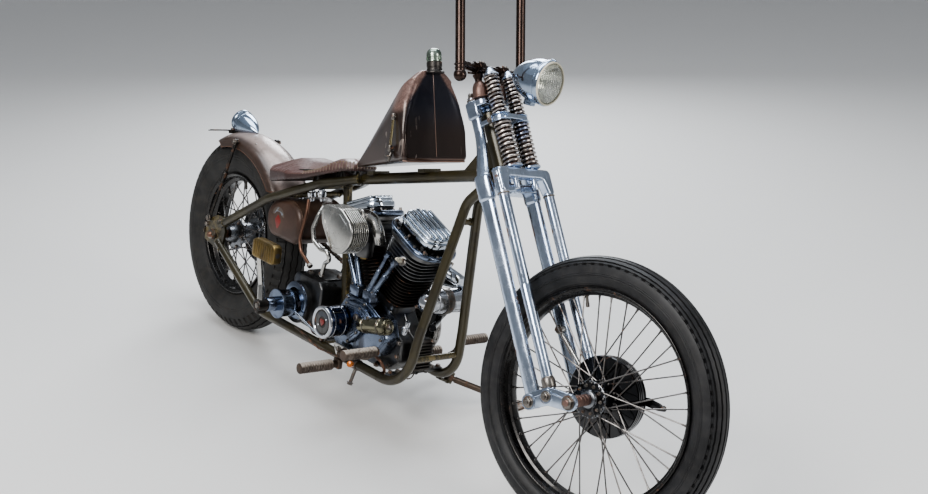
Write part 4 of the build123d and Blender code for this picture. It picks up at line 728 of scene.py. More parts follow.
def rim_and_nipples(half_profile, ends, nip_r, nip_len, valve_at, seg):
    full = half_profile + [(r, -y) for r, y in reversed(half_profile)]
    pts = []
    for p in full:
        if not pts or math.dist(p, pts[-1]) > 0.01:
            pts.append(p)
    if math.dist(pts[0], pts[-1]) < 0.01:
        pts.pop()
    sec = fil2(pts, 3.0, 22)
    m = Mesh()
    m.lathe(sec, hub_frame(), seg, closed=True)
    m.mat = 1
    for start, end in ends:
        s, e = Vector(start), Vector(end)
        d = (s - e).normalized()
        m.lathe([(0, -1), (nip_r * 1.35, -1), (nip_r * 1.35, 1.5), (nip_r, 3), (nip_r, nip_len * 0.5), (nip_r * 0.72, nip_len * 0.55), (nip_r * 0.72, nip_len), (0, nip_len)], at(e, d), 8)
    m.mat = 2
    a = math.radians(valve_at)
    r = min(p[0] for p in full)
    p = Vector((r * cos(a), 0, r * sin(a)))
    m.lathe([(0, -2), (6.5, -2), (6.5, 2), (4, 3), (4, 18), (4.8, 19), (4.8, 27), (3.5, 29), (0, 29)], at(p, -p), 12)
    return m


def spoke_ends(count, flange):
    """Index, side and whether the wire runs outside, for each wire in turn; flange is not used."""
    out = []
    for i in range(count):
        side = 1 if i % 2 == 0 else -1
        outside = (i // 2) % 2 == 0
        out.append((i, side, outside))
    return out


rear_ends, front_ends = [], []
for i, side, outside in spoke_ends(40, None):
    b = 2 * pi * i / 40
    a = b + math.radians(38 if outside else -38)
    rear_ends.append(((53 * cos(a), side * (40 + (4 if outside else -4)), 53 * sin(a)), (182.5 * cos(b), side * 7, 182.5 * sin(b))))
    y0 = (23.0 if outside else 17.0) if side > 0 else -(35.5 if outside else 28.5)
    front_ends.append(((41.5 * cos(a), y0, 41.5 * sin(a)), (252.5 * cos(b), side * 4.5, 252.5 * sin(b))))


def wires(ends, r, flange_y):
    m = Mesh()
    for s, e in ends:
        s, e = Vector(s), Vector(e)
        d = (e - s).normalized()
        m.tube([s, s + d * 8, e - d * 4, e], [r, r, r, r], 8)
        side = 1 if s.y > 0 else -1
        # the elbow goes through the flange to its head on the other face
        f = flange_y(side)
        inward = 1 if f > s.y else -1
        m.tube([s, s + Vector((0, inward * 2.5, 0)), s + Vector((0, inward * 7.5, 0))], r, 8)
        m.ball(s + Vector((0, inward * 8.0, 0)), r * 1.75, 8, 0.7, YAX)
    return m


piece("rear_rim_dished", rim_and_nipples([(184, 0), (184, 13), (196, 20), (198, 37), (207, 41), (207, 46), (203, 47), (195, 41), (192, 24), (180, 16), (180, 0)],
                                         rear_ends, 3.6, 15, 100, 160), REAR, "rear_wheel", [rim_paint, spoke_steel, bolt_steel], ["rear_rim"])
piece("front_rim_rolled", rim_and_nipples([(254, 0), (254, 9), (262, 13), (263, 24), (271, 29), (271, 33), (267, 34), (261, 28), (258.5, 15), (250.5, 11), (250.5, 0)],
                                          front_ends, 3.2, 14, 80, 176), FRONT, "front_wheel", [rim_paint, spoke_steel, bolt_steel], ["front_rim"])
piece("rear_wire_spokes", wires(rear_ends, 2.0, lambda s: 40 * s), REAR, "rear_wheel", spoke_steel, ["rear_spokes"])
piece("front_wire_spokes", wires(front_ends, 1.8, lambda s: 20.0 if s > 0 else -32.0), FRONT, "front_wheel", spoke_steel, ["front_spokes"])

m = Mesh()
H = hub_frame()
prof = [(10.3, -70), (20, -70), (24, -69), (26, -66), (30, -58), (33, -46), (56, -42.6), (58, -41.5), (58, -38.8), (56, -38), (36, -35), (34, -32), (34, -22), (36, -20), (36, 20), (34, 22),
        (34, 32), (36, 35), (56, 38), (60, 42), (60, 46), (98, 50), (102, 51.5), (104, 54), (104, 57), (101.5, 57.6), (101.5, 60.4), (104, 61), (104, 64), (101.5, 64.6), (101.5, 67.4), (104, 68),
        (104, 71), (101.5, 71.6), (101.5, 74.4), (104, 75), (104, 78), (98, 84), (40, 84), (36, 87), (34, 92), (10.3, 92)]
m.lathe(prof, H, 96, closed=True)
m.mat = 1
for k in range(6):
    a = pi / 3 * k
    m.hexn(at((0, -57, 0), (0, -1, 0)) @ Matrix.Translation((0, 0, 0)) @ Matrix.Translation(Vector((47 * cos(a), 47 * sin(a), -12))), 4.5, 4)
for i in range(40):
    a = 2 * pi * i / 40
    m.ring((49 * cos(a), -42.9, 49 * sin(a)), YAX, 2.6, 0.7, 8, 4)
piece("rear_hub_ribbed", m, REAR, "rear_wheel", [hub_alloy, bolt_steel], ["rear_hub"])

m = Mesh()
m.lathe([(9.0, -44), (18, -44), (21, -42.5), (22, -40), (24, -37), (44, -34.6), (46, -33.5), (46, -30.8), (44, -30), (26, -27), (24, -24), (24, 16), (9.0, 16)], H, 64, closed=True)
m.mat = 1
m.lathe([(9.0, 15.8), (24, 15.8), (26, 19), (46, 23), (96, 26), (100, 27),
         (102, 30), (102, 34), (100, 34.6), (100, 37.4), (102, 38), (102, 42), (100, 42.6), (100, 45.4), (102, 46), (102, 54), (100, 57), (94, 58), (94, 36), (30, 32), (9.0, 32)], H, 96, closed=True)
# notched black flange on the near side
teeth = []
for i in range(20):
    a0 = 2 * pi * i / 20
    for da, r in ((0.02, 45.6), (0.19, 45.6), (0.215, 41.5), (0.29, 41.5)):
        teeth.append((r * cos(a0 + da), r * sin(a0 + da)))
m.prism(teeth, 34.8, 37.4, at((0, 0, 0), (0, -1, 0), (1, 0, 0)), 0.5, 2)
m.mat = 2
for k in range(10):
    a = 2 * pi * k / 10 + 0.2
    m.hexn(at((34 * cos(a), -37.4, 34 * sin(a)), (0, -1, 0)), 3.6, 3.2)
piece("front_hub_turned", m, FRONT, "front_wheel", [hub_alloy, black_gloss, bolt_steel], ["front_hub"])

# rear sprocket: 48 teeth, lightening holes as in the frame, six bolts
N, PITCH = 48, 15.875
SPR = PITCH / 2 / sin(pi / N)
m = Mesh()
out = []
for i in range(N):
    a0 = 2 * pi * i / N
    for da, r in ((-0.50, SPR - 5.2), (-0.34, SPR - 4.4), (-0.17, SPR + 1.2), (-0.08, SPR + 3.6), (0.08, SPR + 3.6), (0.17, SPR + 1.2), (0.34, SPR - 4.4)):
        a = a0 + da * 2 * pi / N
        out.append((r * cos(a), r * sin(a)))


def plate_with_holes(m, outer, holes, z0, z1, M):
    """A flat plate whose faces are cut out of a triangulated outline with round holes."""
    bm = bmesh.new()
    edges = []
    for loop in [outer] + holes:
        vs = [bm.verts.new((p[0], p[1], 0)) for p in loop]
        edges += [bm.edges.new((vs[i], vs[(i + 1) % len(vs)])) for i in range(len(vs))]
    bmesh.ops.triangle_fill(bm, use_beauty=True, use_dissolve=False, edges=edges)
    bm.verts.index_update()
    flat = [(v.co.x, v.co.y) for v in bm.verts]
    tris = [tuple(v.index for v in f.verts) for f in bm.faces]
    bm.free()
    n = len(flat)
    verts = [M @ Vector((x, y, z0)) for x, y in flat] + [M @ Vector((x, y, z1)) for x, y in flat]
    faces = tris + [tuple(i + n for i in t[::-1]) for t in tris]
    k = 0
    for loop in [outer] + holes:
        L = len(loop)
        faces += [(k + i, k + (i + 1) % L, k + (i + 1) % L + n, k + i + n) for i in range(L)]
        k += L
    m.add(verts, faces)


def circle(cx, cy, r, n=32, start=0.0):
    return [(cx + r * cos(start + 2 * pi * i / n), cy + r * sin(start + 2 * pi * i / n)) for i in range(n)]


LEFT = at((0, 0, 0), (0, -1, 0), (1, 0, 0))          # sketch x forward, y up, z towards the right side
plate_with_holes(m, out, [circle(0, 0, 36, 48)] + [circle(78 * cos(pi / 3 * k), 78 * sin(pi / 3 * k), 17) for k in range(6)], -99, -93, LEFT)
m.lathe([(45, -93), (60, -93), (60, -84.2), (45, -84.2)], LEFT, 48, closed=True)
m.mat = 1
for k in range(6):
    a = pi / 3 * (k + 0.5)
    m.hexn(at((52 * cos(a), 99, 52 * sin(a)), YAX), 6.5, 5.5)
piece("rear_sprocket_toothed", m, REAR, "rear_wheel", [dark_steel, bolt_steel], ["rear_sprocket"])


# ================================================================ fork
def tube_line(p, q, n):
    return [Vector(p).lerp(Vector(q), i / n) for i in range(n + 1)]


# handlebars
BU, BW, BT, BY = 37.6, 900.0, 0.30, 131.3
m = Mesh()
for s in (-1, 1):
    foot, head = Vector((BU - BT * 32, s * BY, BW - 32)), Vector((BU + BT * 362, s * (BY + 2.3), BW + 362))
    d = (head - foot).normalized()
    m.tube([foot, foot + d * 6] + [foot.lerp(head, t) for t in (0.25, 0.5, 0.75)] + [head - d * 2, head - d * 0.6, head], [12.7] * 6 + [12.3, 10.6], 24)
    m.ball(foot, 16.9, 28)
    m.ring(foot + d * 17.5, d, 12.6, 1.6, 28, 8)
    m.ring(Vector((BU - 4.5, s * BY, BW - 9)) + d * 4, d, 12.9, 2.0, 28, 8)
route = fillet([(BU - 1.5, -BY, BW - 5), (27, -80, BW - 3), (27, 80, BW - 3), (BU - 1.5, BY, BW - 5)], 60, 6)
m.tube(route, 12.7, 24)
piece("handlebar_tubes", m, FORK, "fork", bar_paint, ["handlebars"])
m = Mesh()
for s in (-1, 1):
    base, top = Vector((18, s * 50, 817.5)), Vector((26, s * 50, 884))
    d = (top - base).normalized()
    m.mat = 1
    # dome nut on the clamp, then the waisted riser
    m.lathe([(0, 0), (19.5, 0), (20, 1), (20, 4), (18.6, 5.5), (19.6, 12), (19.8, 20), (18.6, 29), (15.6, 37), (11.5, 42.5), (9, 44), (0, 44)], at(base, d), 40)
    m.mat = 0
    m.lathe([(0, 40), (9.6, 40), (9.4, 46), (10.8, 53), (13.5, 59), (14, 62), (0, 62)], at(base, d), 28)
    c = Vector((27, s * 50, BW - 3))
    P = at((27, s * 50 - 13, BW - 3), YAX, (1, 0, 0))
    m.lathe([(12.8, 0), (16.4, 0), (17, 0.8), (17, 25.2), (16.4, 26), (12.8, 26)], P, 40, closed=True)
    m.mat = 0
    for e in (-1, 1):
        m.box((10, 24, 15), Matrix.Translation(c + Vector((e * 19.5, 0, 0))), 2.0)
        m.mat = 2
        for yy in (-6.5, 6.5):
            m.cap_screw(at(c + Vector((e * 19.5, yy, 7.4)), (0, 0, 1)), 3.6, 4.5)
        m.mat = 0
piece("handlebar_risers", m, FORK, "fork", [bar_paint, egg_brown, bolt_steel])


def coil_spring(m, c, low, high, outer, wire, turns):
    R_ = outer - wire
    seg, n = 26, int(turns * 26)
    hs, h = [], 0.0
    for i in range(n + 1):
        hs.append(h)
        t = i / seg
        h += (0.36 + 0.64 * min(1.0, min(t, turns - t))) / seg
    k = (high - low - 2 * wire) / hs[-1]
    m.tube([(c[0] + R_ * cos(2 * pi * i / seg), c[1] + R_ * sin(2 * pi * i / seg), low + wire + hs[i] * k) for i in range(n + 1)], wire, 10, up=(0, 0, 1))


m = Mesh()
for s in (-1, 1):
    c = (58, s * 40)
    coil_spring(m, c, 617.3, 738.5, 24.0, 3.6, 10.5)
    coil_spring(m, c, 757.5, 865.5, 21.0, 3.3, 10.0)
# dark cores filling the coils: painted shade inside the springs
m.mat = 1
for s in (-1, 1):
    c = (58, s * 40, 0)
    m.lathe([(7.2, 618), (16.6, 618), (17.2, 620), (17.2, 736), (16.6, 738), (7.2, 738)], at(c), 24, closed=True)
    m.lathe([(7.0, 758), (14.4, 758), (15.0, 760), (15.0, 862), (14.4, 864), (7.0, 864)], at(c), 24, closed=True)
m.mat = 2
for s in (-1, 1):
    c = (58, s * 40, 0)
    for z0, z1, r in ((612.2, 617.4, 26.5), (737.6, 741, 26), (755, 758.6, 25), (865.0, 868, 22)):
        m.lathe([(7.6, z0), (r - 1.5, z0), (r, z0 + 1), (r, z1 - 1), (r - 1.5, z1), (7.6, z1)], at(c), 40, closed=True)
    # lathe-turned cone nut with a rounded tip
    m.lathe([(6.6, 868), (16.5, 868), (17, 869), (17, 871.5), (15.4, 874), (11.5, 879.5), (9.2, 884.0), (7.4, 886.4), (4, 887.6), (0, 888)], at(c), 36)
piece("fork_coil_springs", m, FORK, "fork", [spring_chrome, spring_shade_core, fork_chrome], ["fork_springs"])

# rigid legs: flattened forgings that sweep in above the crown, with crown, clamp, perch and stem
m = Mesh()
for s in (-1, 1):
    rows = [(0, s * 100, w, 42 - 2.0 * sin(pi * (w - 26) / 549) - (3 if w < 40 else 0), 20.0) for w in (26, 32, 44, 120, 220, 320, 420, 500, 545)]
    for k in range(1, 21):
        t = k / 20
        g = t * t * (3 - 2 * t)
        rows.append((-10 * g, s * (100 - 48 * g), 560 + 175 * t, 42 - 12 * g, 20 - 1.5 * g))
    m.loft(rows + [(-10, s * 52, w, 30, 18.5) for w in (750, 780, 817)], 2.3, 36)
    # forged parting line down both edges
    for e in (-1, 1):
        m.tube([(e * 20.3, s * 100, w) for w in (60, 200, 350, 540)], 0.9, 6)
    # brazed lug where the crown takes the leg, square clamp at the top
    m.loft([(0.5, s * 100, w, 42 + d, 20 + d) for w, d in ((538, 0.4), (541, 5), (546, 7), (598, 6), (604, 4.5), (607, 0.4))], 2.6, 36)
    m.loft([(-10, s * 52, w, 30 + d, 18.5 + d) for w, d in ((768, 0.5), (770, 5), (773, 7.5), (811, 7.5), (814, 5), (815.5, 0.5))], 5.0, 40)
    m.lathe([(0, 815), (10.6, 815), (11, 816), (11, 824), (10, 825), (0, 825)], at((-10, s * 52, 0)), 28)
    # knuckle bosses for the rockers
    m.lathe([(0, 87), (16.5, 87), (19, 89.5), (19, 111.5), (17, 114), (0, 114)], at((-1, 0, 26), (0, s, 0), (1, 0, 0)), 40)
crown = fil2([(-20, -102), (-8, -104), (23, -102), (26, -78), (20, -44), (25, 0), (20, 44), (26, 78), (23, 102), (-8, 104), (-20, 102), (-21, 78), (-19, 40), (-19, -40), (-21, -78)], 12, 12)
m.prism(crown, 560, 584, Matrix.Identity(4), 5.5, 4)
m.prism(rect(60, 126, 18, 10, 5, 0), 796, 816, Matrix.Identity(4), 5.0, 4)
m.prism(rect(45, 124, 21, 10, 58, 0), 741, 755, Matrix.Identity(4), 3.0, 3)
for s in (-1, 1):
    m.box((56, 13, 13), Matrix.Translation((14, s * 52, 748)), 3)
m.lathe([(0, 558), (17, 558), (19, 560), (19, 584), (12.6, 584.5), (12.6, 594), (24.5, 594), (26, 596), (26, 602), (24, 604), (12.6, 604), (12.6, 785), (23, 785), (25, 787), (25, 793), (22, 795.5), (12.6, 796),
         (12.6, 817), (16, 817), (17, 818), (17, 829), (16, 830), (0, 830)], at((0, 0, 0)), 40)
piece("rigid_fork_forged", m, FORK, "fork", fork_chrome, ["rigid_fork"])

# sprung legs under their rounded yoke
m = Mesh()
for s in (-1, 1):
    m.lathe([(0, 40), (12.4, 40), (14, 42), (14, 300), (13.4, 304), (13.4, 306), (14, 310), (14, 600), (0, 600)], at((53, s * 100, 0)), 36)
    m.lathe([(0, 91), (15, 91), (17, 93), (17, 105), (15.6, 107), (0, 107)], at((53, 0, 28), (0, s, 0), (1, 0, 0)), 36)
    m.cyl((58, s * 40, 610), (58, s * 40, 868), 6.4, 20, 0.5)
    m.cyl((58, s * 40, 556), (58, s * 40, 590), 7.5, 20, 1)
yoke = [(-113, 542), (-113, 604), (-104, 612), (104, 612), (113, 604), (113, 542), (89, 542), (74, 586), (-74, 586), (-89, 542)]
m.prism(fil2(yoke, 11, 14), -14, 14, at((53, 0, 0), (1, 0, 0), (0, 1, 0)), 6.0, 5)
piece("sprung_fork_yoke", m, FORK, "fork", fork_chrome, ["sprung_fork"])

# fittings on the legs, crowns and perch
m = Mesh()
for s in (-1, 1):
    m.acorn(at((-10, s * 52, 824.8), (0, 0, 1)), 9.5, 16)
    m.lathe([(11, 817), (14, 817), (14.4, 818), (14.4, 820), (13.6, 821), (11, 821)], at((-10, s * 52, 0)), 28, closed=True)
    m.ring((53, s * 100, 541.5), (0, 0, 1), 14.2, 2.2, 32, 8)
    m.lathe([(14, 46), (16.4, 48), (17.2, 52), (17.2, 66), (15.5, 72), (14, 74)], at((53, s * 100, 0)), 32, closed=True)
    # pivot bolts of the rockers
    for u, w, r in ((-1, 26, 11.5), (53, 28, 10.5)):
        m.hexn(at((u, s * 125.6, w), (0, s, 0)), r, 7.5)
        m.lathe([(0, 9), (5.6, 9), (5.6, 12.0), (4.8, 12.8), (0, 12.8)], at((u, s * 125.6, w), (0, s, 0)), 16)
    m.hexn(at((-1, s * 86.8, 26), (0, -s, 0)), 11, 5.5)
    for u, w in ((-6, 572), (12, 572)):
        m.hexn(at((u, s * 105.2, w), (0, s, 0)), 6.2, 4.6)
m.hexn(at((0, 0, 830.0), (0, 0, 1)), 16, 10, True, 1.5)
m.lathe([(0, 840), (11.0, 840), (11.4, 841), (11.4, 843.6), (9, 845), (0, 845)], at((0, 0, 0)), 28)
for u, v in ((30, -52), (30, 52), (30, -20), (30, 20)):
    m.cap_screw(at((u, v, 816), (0, 0, 1)), 4.2, 4.0)
for s in (-1, 1):
    for v in (58.5,):
        m.hexn(at((35, s * v, 748), (0, s, 0)), 6.0, 4.5)
piece("fork_fittings", m, FORK, "fork", bolt_steel)

# rockers: forged plates with bosses
m = Mesh()
for s in (-1, 1):
    P = at((0, s * 114.6, 0), (0, s, 0), (1, 0, 0))
    fl = 1 if s < 0 else -1      # sketch y is up on the right side and down on the left
    poly = [(-8, 46), (62, 48), (90, 36), (128, 14), (128, -13), (112, -19), (96, -16), (50, 6), (-8, 8), (-18, 26)]
    poly = [(x, fl * y) for x, y in poly]
    m.prism(fil2(poly, 12, 16), 0.2, 9.2, P, 2.2, 3)
    for u, w, r in ((-1, 26, 20), (53, 28, 19), (112, 0, 21)):
        m.lathe([(0 if u < 100 else 8.3, 0.1), (r - 1, 0.1), (r, 1.1), (r, 9.6), (r - 1.6, 11), (0 if u < 100 else 8.3, 11)], P @ Matrix.Translation((u, fl * w, 0)), 36, closed=u > 100)
    # pocket rib on the face
    m.tube([P @ Vector((x, fl * y, 9.2)) for x, y in ((10, 34), (40, 36), (70, 32), (98, 14))], 2.2, 8)
piece("fork_rockers_forged", m, FORK, "fork", fork_chrome, ["fork_rockers"])

# front axle: copper spacers, pale end ring, castle nut
m = Mesh()
P = at((112, 0, 0), YAX, (1, 0, 0))
m.lathe([(0, -138.5), (6, -138.8), (8, -137.4)] + [(8 - 0.5 * (k % 2), -136.6 + 0.8 * k) for k in range(13)] + [(8, -126), (8, 126)] + [(8 - 0.5 * (k % 2), 126.6 + 0.8 * k) for k in range(13)] + [(8, 137.4), (6, 138.8), (0, 138.9)], P, 24)
for a, b, r in ((-114.3, -46, 14.0), (75, 114.3, 14.0)):
    n = 5 if b - a > 50 else 3
    sec = [(8.1, a), (r - 1, a), (r, a + 1)]
    for k in range(1, n):
        y = a + (b - a) * k / n
        sec += [(r, y - 1.4), (r - 0.9, y - 1), (r - 0.9, y + 1), (r, y + 1.4)]
    m.lathe(sec + [(r, b - 1), (r - 1, b), (8.1, b)], P, 36, closed=True)
m.mat = 1
for s in (-1, 1):
    Q = at((112, s * 126.0, 0), (0, s, 0), (1, 0, 0))
    m.lathe([(8.2, 0), (17, 0), (17.5, 0.8), (17.5, 2.2), (8.2, 2.2)], Q, 36, closed=True)
    m.hexn(Q @ Matrix.Translation((0, 0, 2.2)), 14.8, 7.2, False, 1.0)
piece("front_axle_nuts", m, FORK, "fork", [egg_brown, bolt_steel], ["front_axle"])

# front drum: ribbed backing plate, lever, torque arm
m = Mesh()
m.lathe([(8.3, 59.5), (86, 59.5), (88, 60.5), (88, 64), (97, 64), (99, 65), (99, 68.6), (97.4, 70), (90, 70.6), (84, 70.2), (80, 69), (66, 69), (62, 71), (58, 71), (54, 69), (32, 69), (28, 72.5), (22, 73.6), (8.3, 73.6)], P, 96, closed=True)
for k in range(6):
    a = pi / 3 * k + 0.35
    m.tube([P @ Vector((r * cos(a), r * sin(a), 69.2)) for r in (30, 56, 82)], 2.4, 8)
lever = [(70, -16), (100, -28), (126, -48), (139, -64), (134, -70), (112, -62), (84, -44), (64, -34)]
m.prism(fil2(lever, 6, 20), -77.5, -71.5, at((112, 0, 0), (0, -1, 0), (1, 0, 0)), 1.4, 2)
m.mat = 1
m.hexn(at((112 + 72, 77.4, -28), YAX), 8, 6)
m.hexn(at((112 + 130, 77.4, -60), YAX), 5, 4.5)
m.lathe([(0, 0), (3, 0), (3, 5.2), (0, 5.2)], at((112 + 130, 66.2, -60), YAX), 12)
m.mat = 2
a, b = Vector((50, 78, 56)), Vector((2, 78, 196))
d = (b - a).normalized()
m.tube([a + d * 10, a + d * 16, a + d * 26, b - d * 26, b - d * 16, b - d * 11], [4.2, 5.5, 5.5, 5.5, 5.5, 4.2], 18)
m.lathe([(5.2, 70.4), (10, 70.4), (11, 71.4), (11, 84.2), (10, 85.2), (5.2, 85.2)], at((50, 0, 56), YAX, (1, 0, 0)), 28, closed=True)
m.lathe([(5.2, 73.2), (11, 73.2), (12, 74.2), (12, 88.4), (11, 89.4), (5.2, 89.4)], at((2, 0, 196), YAX, (1, 0, 0)), 28, closed=True)
m.mat = 1
m.hexn(at((50, 85.2, 56), YAX), 8.4, 6)
m.lathe([(0, 71), (5.1, 71), (5.1, 95), (4.4, 95.8), (0, 95.8)], at((50, 0, 56), YAX), 16)
m.hexn(at((2, 73.2, 196), (0, -1, 0)), 8.4, 6)
piece("front_drum_plate", m, FORK, "fork", [black_gloss, bolt_steel, polished], ["front_brake_plate"])

# headlight: bucket, rim, bowl, bulb, fluted lens
m = Mesh()
shell = [(0, -112), (6, -111.9), (18, -110.6)] + [(q[1], q[0]) for q in arc3((-110.6, 18), (-78, 44), (-22, 58.2), 16)][1:] + [(58.9, -16), (58.2, -15), (58.2, -13.6), (59.4, -12.6), (60, -11), (60, -3.5), (59.2, -1.0), (57.2, 1.6)]
L_ = at((0, 0, 0), (1, 0, 0), (0, 1, 0))
m.lathe(shell, L_, 72)
m.box((10, 9, 5), at((-6.5, 0, 60.0), (0, 0, 1)), 1.5)
m.cap_screw(at((-2, 0, 58.0), (1, 0, 0)), 3.2, 4)
m.box((27, 22, 18), Matrix.Translation((-48, 0, -58)), 4)
m.lathe([(0, 0), (15, 0), (15, 5), (9, 8), (0, 8)], at((-48, 0, -66), (0, 0, 1)), 28)
m.mat = 1
m.lathe([(53.2, 1.2), (53.4, -2.5), (57.4, -2.6), (58.0, 0.4), (56.6, 3.4), (54.4, 4.4), (53.2, 3.4)], L_, 72, closed=True)
m.mat = 2
m.lathe([(53.0, -3.5), (48, -14), (40, -26), (28, -38), (14, -46), (9, -47.5)], L_, 56)
m.lathe([(10, -50), (10, -46), (7, -44), (0, -44)], L_, 24)
piece("headlight_bucket", m, LAMP, "fork", [lamp_chrome, cream, reflector], ["headlight"])
m = Mesh()
m.lathe([(0, -44), (5, -44), (5, -36), (8, -31), (9, -25), (7.6, -18), (4, -14.4), (0, -13.6)], L_, 20)
piece("headlight_bulb", m, LAMP, "fork", lens_glass)
m = Mesh()
rings = []
for i in range(25):
    r = 53.1 * i / 24
    row = []
    for j in range(96):
        a = 2 * pi * j / 96
        y, z = r * cos(a), r * sin(a)
        flute = 1.3 * abs(sin(y * pi / 8.0)) if i < 23 else 0.0
        ring_ = 0.5 if 9.5 < r < 12 else 0.0
        row.append((7.6 * (1 - (r / 53.1) ** 2) ** 0.72 + flute - ring_ - 0.4, y, z))
    rings.append(row)
back = [[(p[0] - 2.6 if k < 24 else -3.0, p[1], p[2]) for p in row] for k, row in enumerate(rings)]
m.rings(rings + back[::-1], closed=True)
piece("headlight_lens_fluted", m, LAMP, "fork", lens_glass, ["headlight_lens"], 50)


# ================================================================ engine
CR = Vector((820, 0, 258))
A = math.radians(22.5)
RIGHT = lambda x, y, z: at((x, y, z), (0, -1, 0), (1, 0, 0))     # sketch x forward and y up, raised towards the right side


def up_frame(s):
    return at(CR, (s * sin(A), 0, cos(A)), (cos(A), 0, -s * sin(A)))


def clipped(poly, s, h):
    """Keeps a fin on its own cylinder's side of the plane between the two."""
    lim = (1.8 * s - h * s * sin(A)) / cos(A)
    return [(max(x, lim), y) if s > 0 else (min(x, lim), y) for x, y in poly]


m = Mesh()
for s in (1, -1):
    U = up_frame(s)
    m.mat = 0
    m.lathe([(0, 124), (46, 124), (46, 233.6), (0, 233.6)], U, 48)
    for k in range(9):
        h = 134.5 + k * 10.4
        lo = clipped(rect(135.6, 127.6, 40, 10), s, h)
        m.prism(lo, h, h + 3.2, U, 1.2, 2)
    m.prism(clipped(rect(112, 104, 16, 12), s, 130), 124.1, 131, U, 1.5, 2)
    m.mat = 1
    for x, y in ((42, 42), (42, -42), (-42, 42), (-42, -42)):
        if (x - (1.8 * s - 130 * s * sin(A)) / cos(A)) * s > 10:
            m.hexn(U @ Matrix.Translation((x, y, 131)), 7.5, 7)
            m.lathe([(0, 131), (4.6, 131), (4.6, 142), (0, 142)], U @ Matrix.Translation((x, y, 0)), 12)
piece("cylinder_barrels", m, BIKE, "chassis", [barrel_iron, bolt_steel], ["cylinders"])

m = Mesh()
for s in (1, -1):
    U = up_frame(s)
    m.mat = 0
    m.prism(rect(118, 112, 30, 12), 234, 321.6, U, 2)
    for k in range(6):
        h = 238 + k * 11.0
        m.prism(clipped(rect(157.6, 137.6, 46, 10), s, h), h, h + 3.4, U, 1.3, 2)
    m.prism(clipped(rect(175.6, 141.6, 46, 10), s, 308), 307.6, 321.6, U, 2.2, 3)
    # spark plug boss and plug on the right
    c = U @ Vector((20 * s, -52, 266))
    d = (U.to_3x3() @ Vector((0.25 * s, -0.86, 0.45))).normalized()
    m.cyl(c, c + d * 22, 15, 28, 2)
    m.mat = 1
    m.hexn(at(c + d * 22, d), 9.5, 8)
    m.mat = 2
    m.lathe([(0, 30), (6.5, 30), (7, 34), (6.2, 36), (7, 38), (6.2, 40), (7, 42), (5.4, 46), (5, 56), (3.4, 57), (3.4, 62), (0, 62)], at(c, d), 20)
piece("cylinder_head_castings", m, BIKE, "chassis", [head_alloy, bolt_steel, cream], ["cylinder_heads"])

# rocker covers: a thick D-shaped ring, an inner wall with studs and a ribbed pan on top
m = Mesh()
for s in (1, -1):
    U = up_frame(s)
    m.mat = 0
    ringo = rect(203.4, 153.4, 58, 8)
    m.prism(ringo, 322, 338, U, 6.5, 6)
    # the inner wall is gloss black: painted shade in the recess between ring and pan
    m.mat = 1
    m.prism(rect(180, 128, 48, 8), 337.8, 339, U, 0.4)
    m.prism(rect(154, 98, 38, 8), 338.8, 352, U, 1.0)
    m.mat = 3
    m.prism(rect(164, 106, 42, 8), 350, 369, U, 5, 4)
    # long pressed ribs along the pan
    m.prism(rect(154, 96, 36, 8), 368.0, 379.6, U, 4.0, 4)
    for k in range(-2, 3):
        m.prism(rect(146 - abs(k) * 10, 12.6, 6.0, 20, 0, k * 18.2), 379.0, 387.6, U, 3.6, 4)
    m.mat = 2
    for k in range(14):
        a = 2 * pi * k / 14 + 0.22
        ex, ey = 93.5 * cos(a), 69.0 * sin(a)
        q = 1 / max(abs(ex) / 93.5, abs(ey) / 69.0) ** 0.55
        m.cap_screw(U @ Matrix.Translation((ex * min(q, 1.06), ey * min(q, 1.06), 336.2)), 4.2, 5.0)
    for x, y in ((76, 54), (76, -54), (-76, 54), (-76, -54), (0, -59), (0, 59)):
        m.cap_screw(U @ Matrix.Translation((x, y, 338.6)), 4.2, 9)
piece("rocker_cover_pans", m, BIKE, "chassis", [chrome_painted_dark_blue, black_gloss, bolt_steel, rocker_chrome], ["rocker_covers"])

# crankcase: round-shouldered castings with a parting seam, ribs and bolts
m = Mesh()
case = [(-118, 28), (-74, 88), (-20, 96), (20, 96), (74, 88), (118, 28), (150, 10), (150, -52), (104, -92), (40, -100), (-40, -100), (-110, -92), (-140, -40)]
m.prism(fil2(case, 22, 12), -45.8, -1.2, RIGHT(820, 0, 258), 7, 4)
m.prism(fil2(case, 22, 12), 1.2, 45.8, RIGHT(820, 0, 258), 7, 4)
m.prism(inset(fil2(case, 22, 12), 2.5), -1.2, 1.2, RIGHT(820, 0, 258))
for x in (667.5, 985.3):
    m.box((23.8, 194, 7.8), Matrix.Translation((x, 0, 181.5)), 1.5)
for s in (1, -1):
    m.prism(rect(104, 91, 18), 70, 123.8, up_frame(s), 3)
m.mat = 1
for x, z in ((-128, -30), (-112, -82), (-60, -96), (50, -96), (110, -82), (143, -40), (143, 4), (-104, 40), (104, 40)):
    p = CR + Vector((x * 0.97, 0, z * 0.95))
    m.cyl(p + Vector((0, -48.5, 0)), p + Vector((0, 48.5, 0)), 8.5, 20)
    m.mat = 2
    m.hexn(at(p + Vector((0, -48.5, 0)), (0, -1, 0)), 6.6, 5)
    m.mat = 1
for x in (667.5, 985.3):
    for y in (-88, 88, -62, 62):
        m.mat = 2
        m.hexn(at((x, y, 185.4), (0, 0, 1)), 7, 6)
piece("crankcase_castings", m, BIKE, "chassis", [case_alloy, case_alloy, bolt_steel], ["crankcase"])

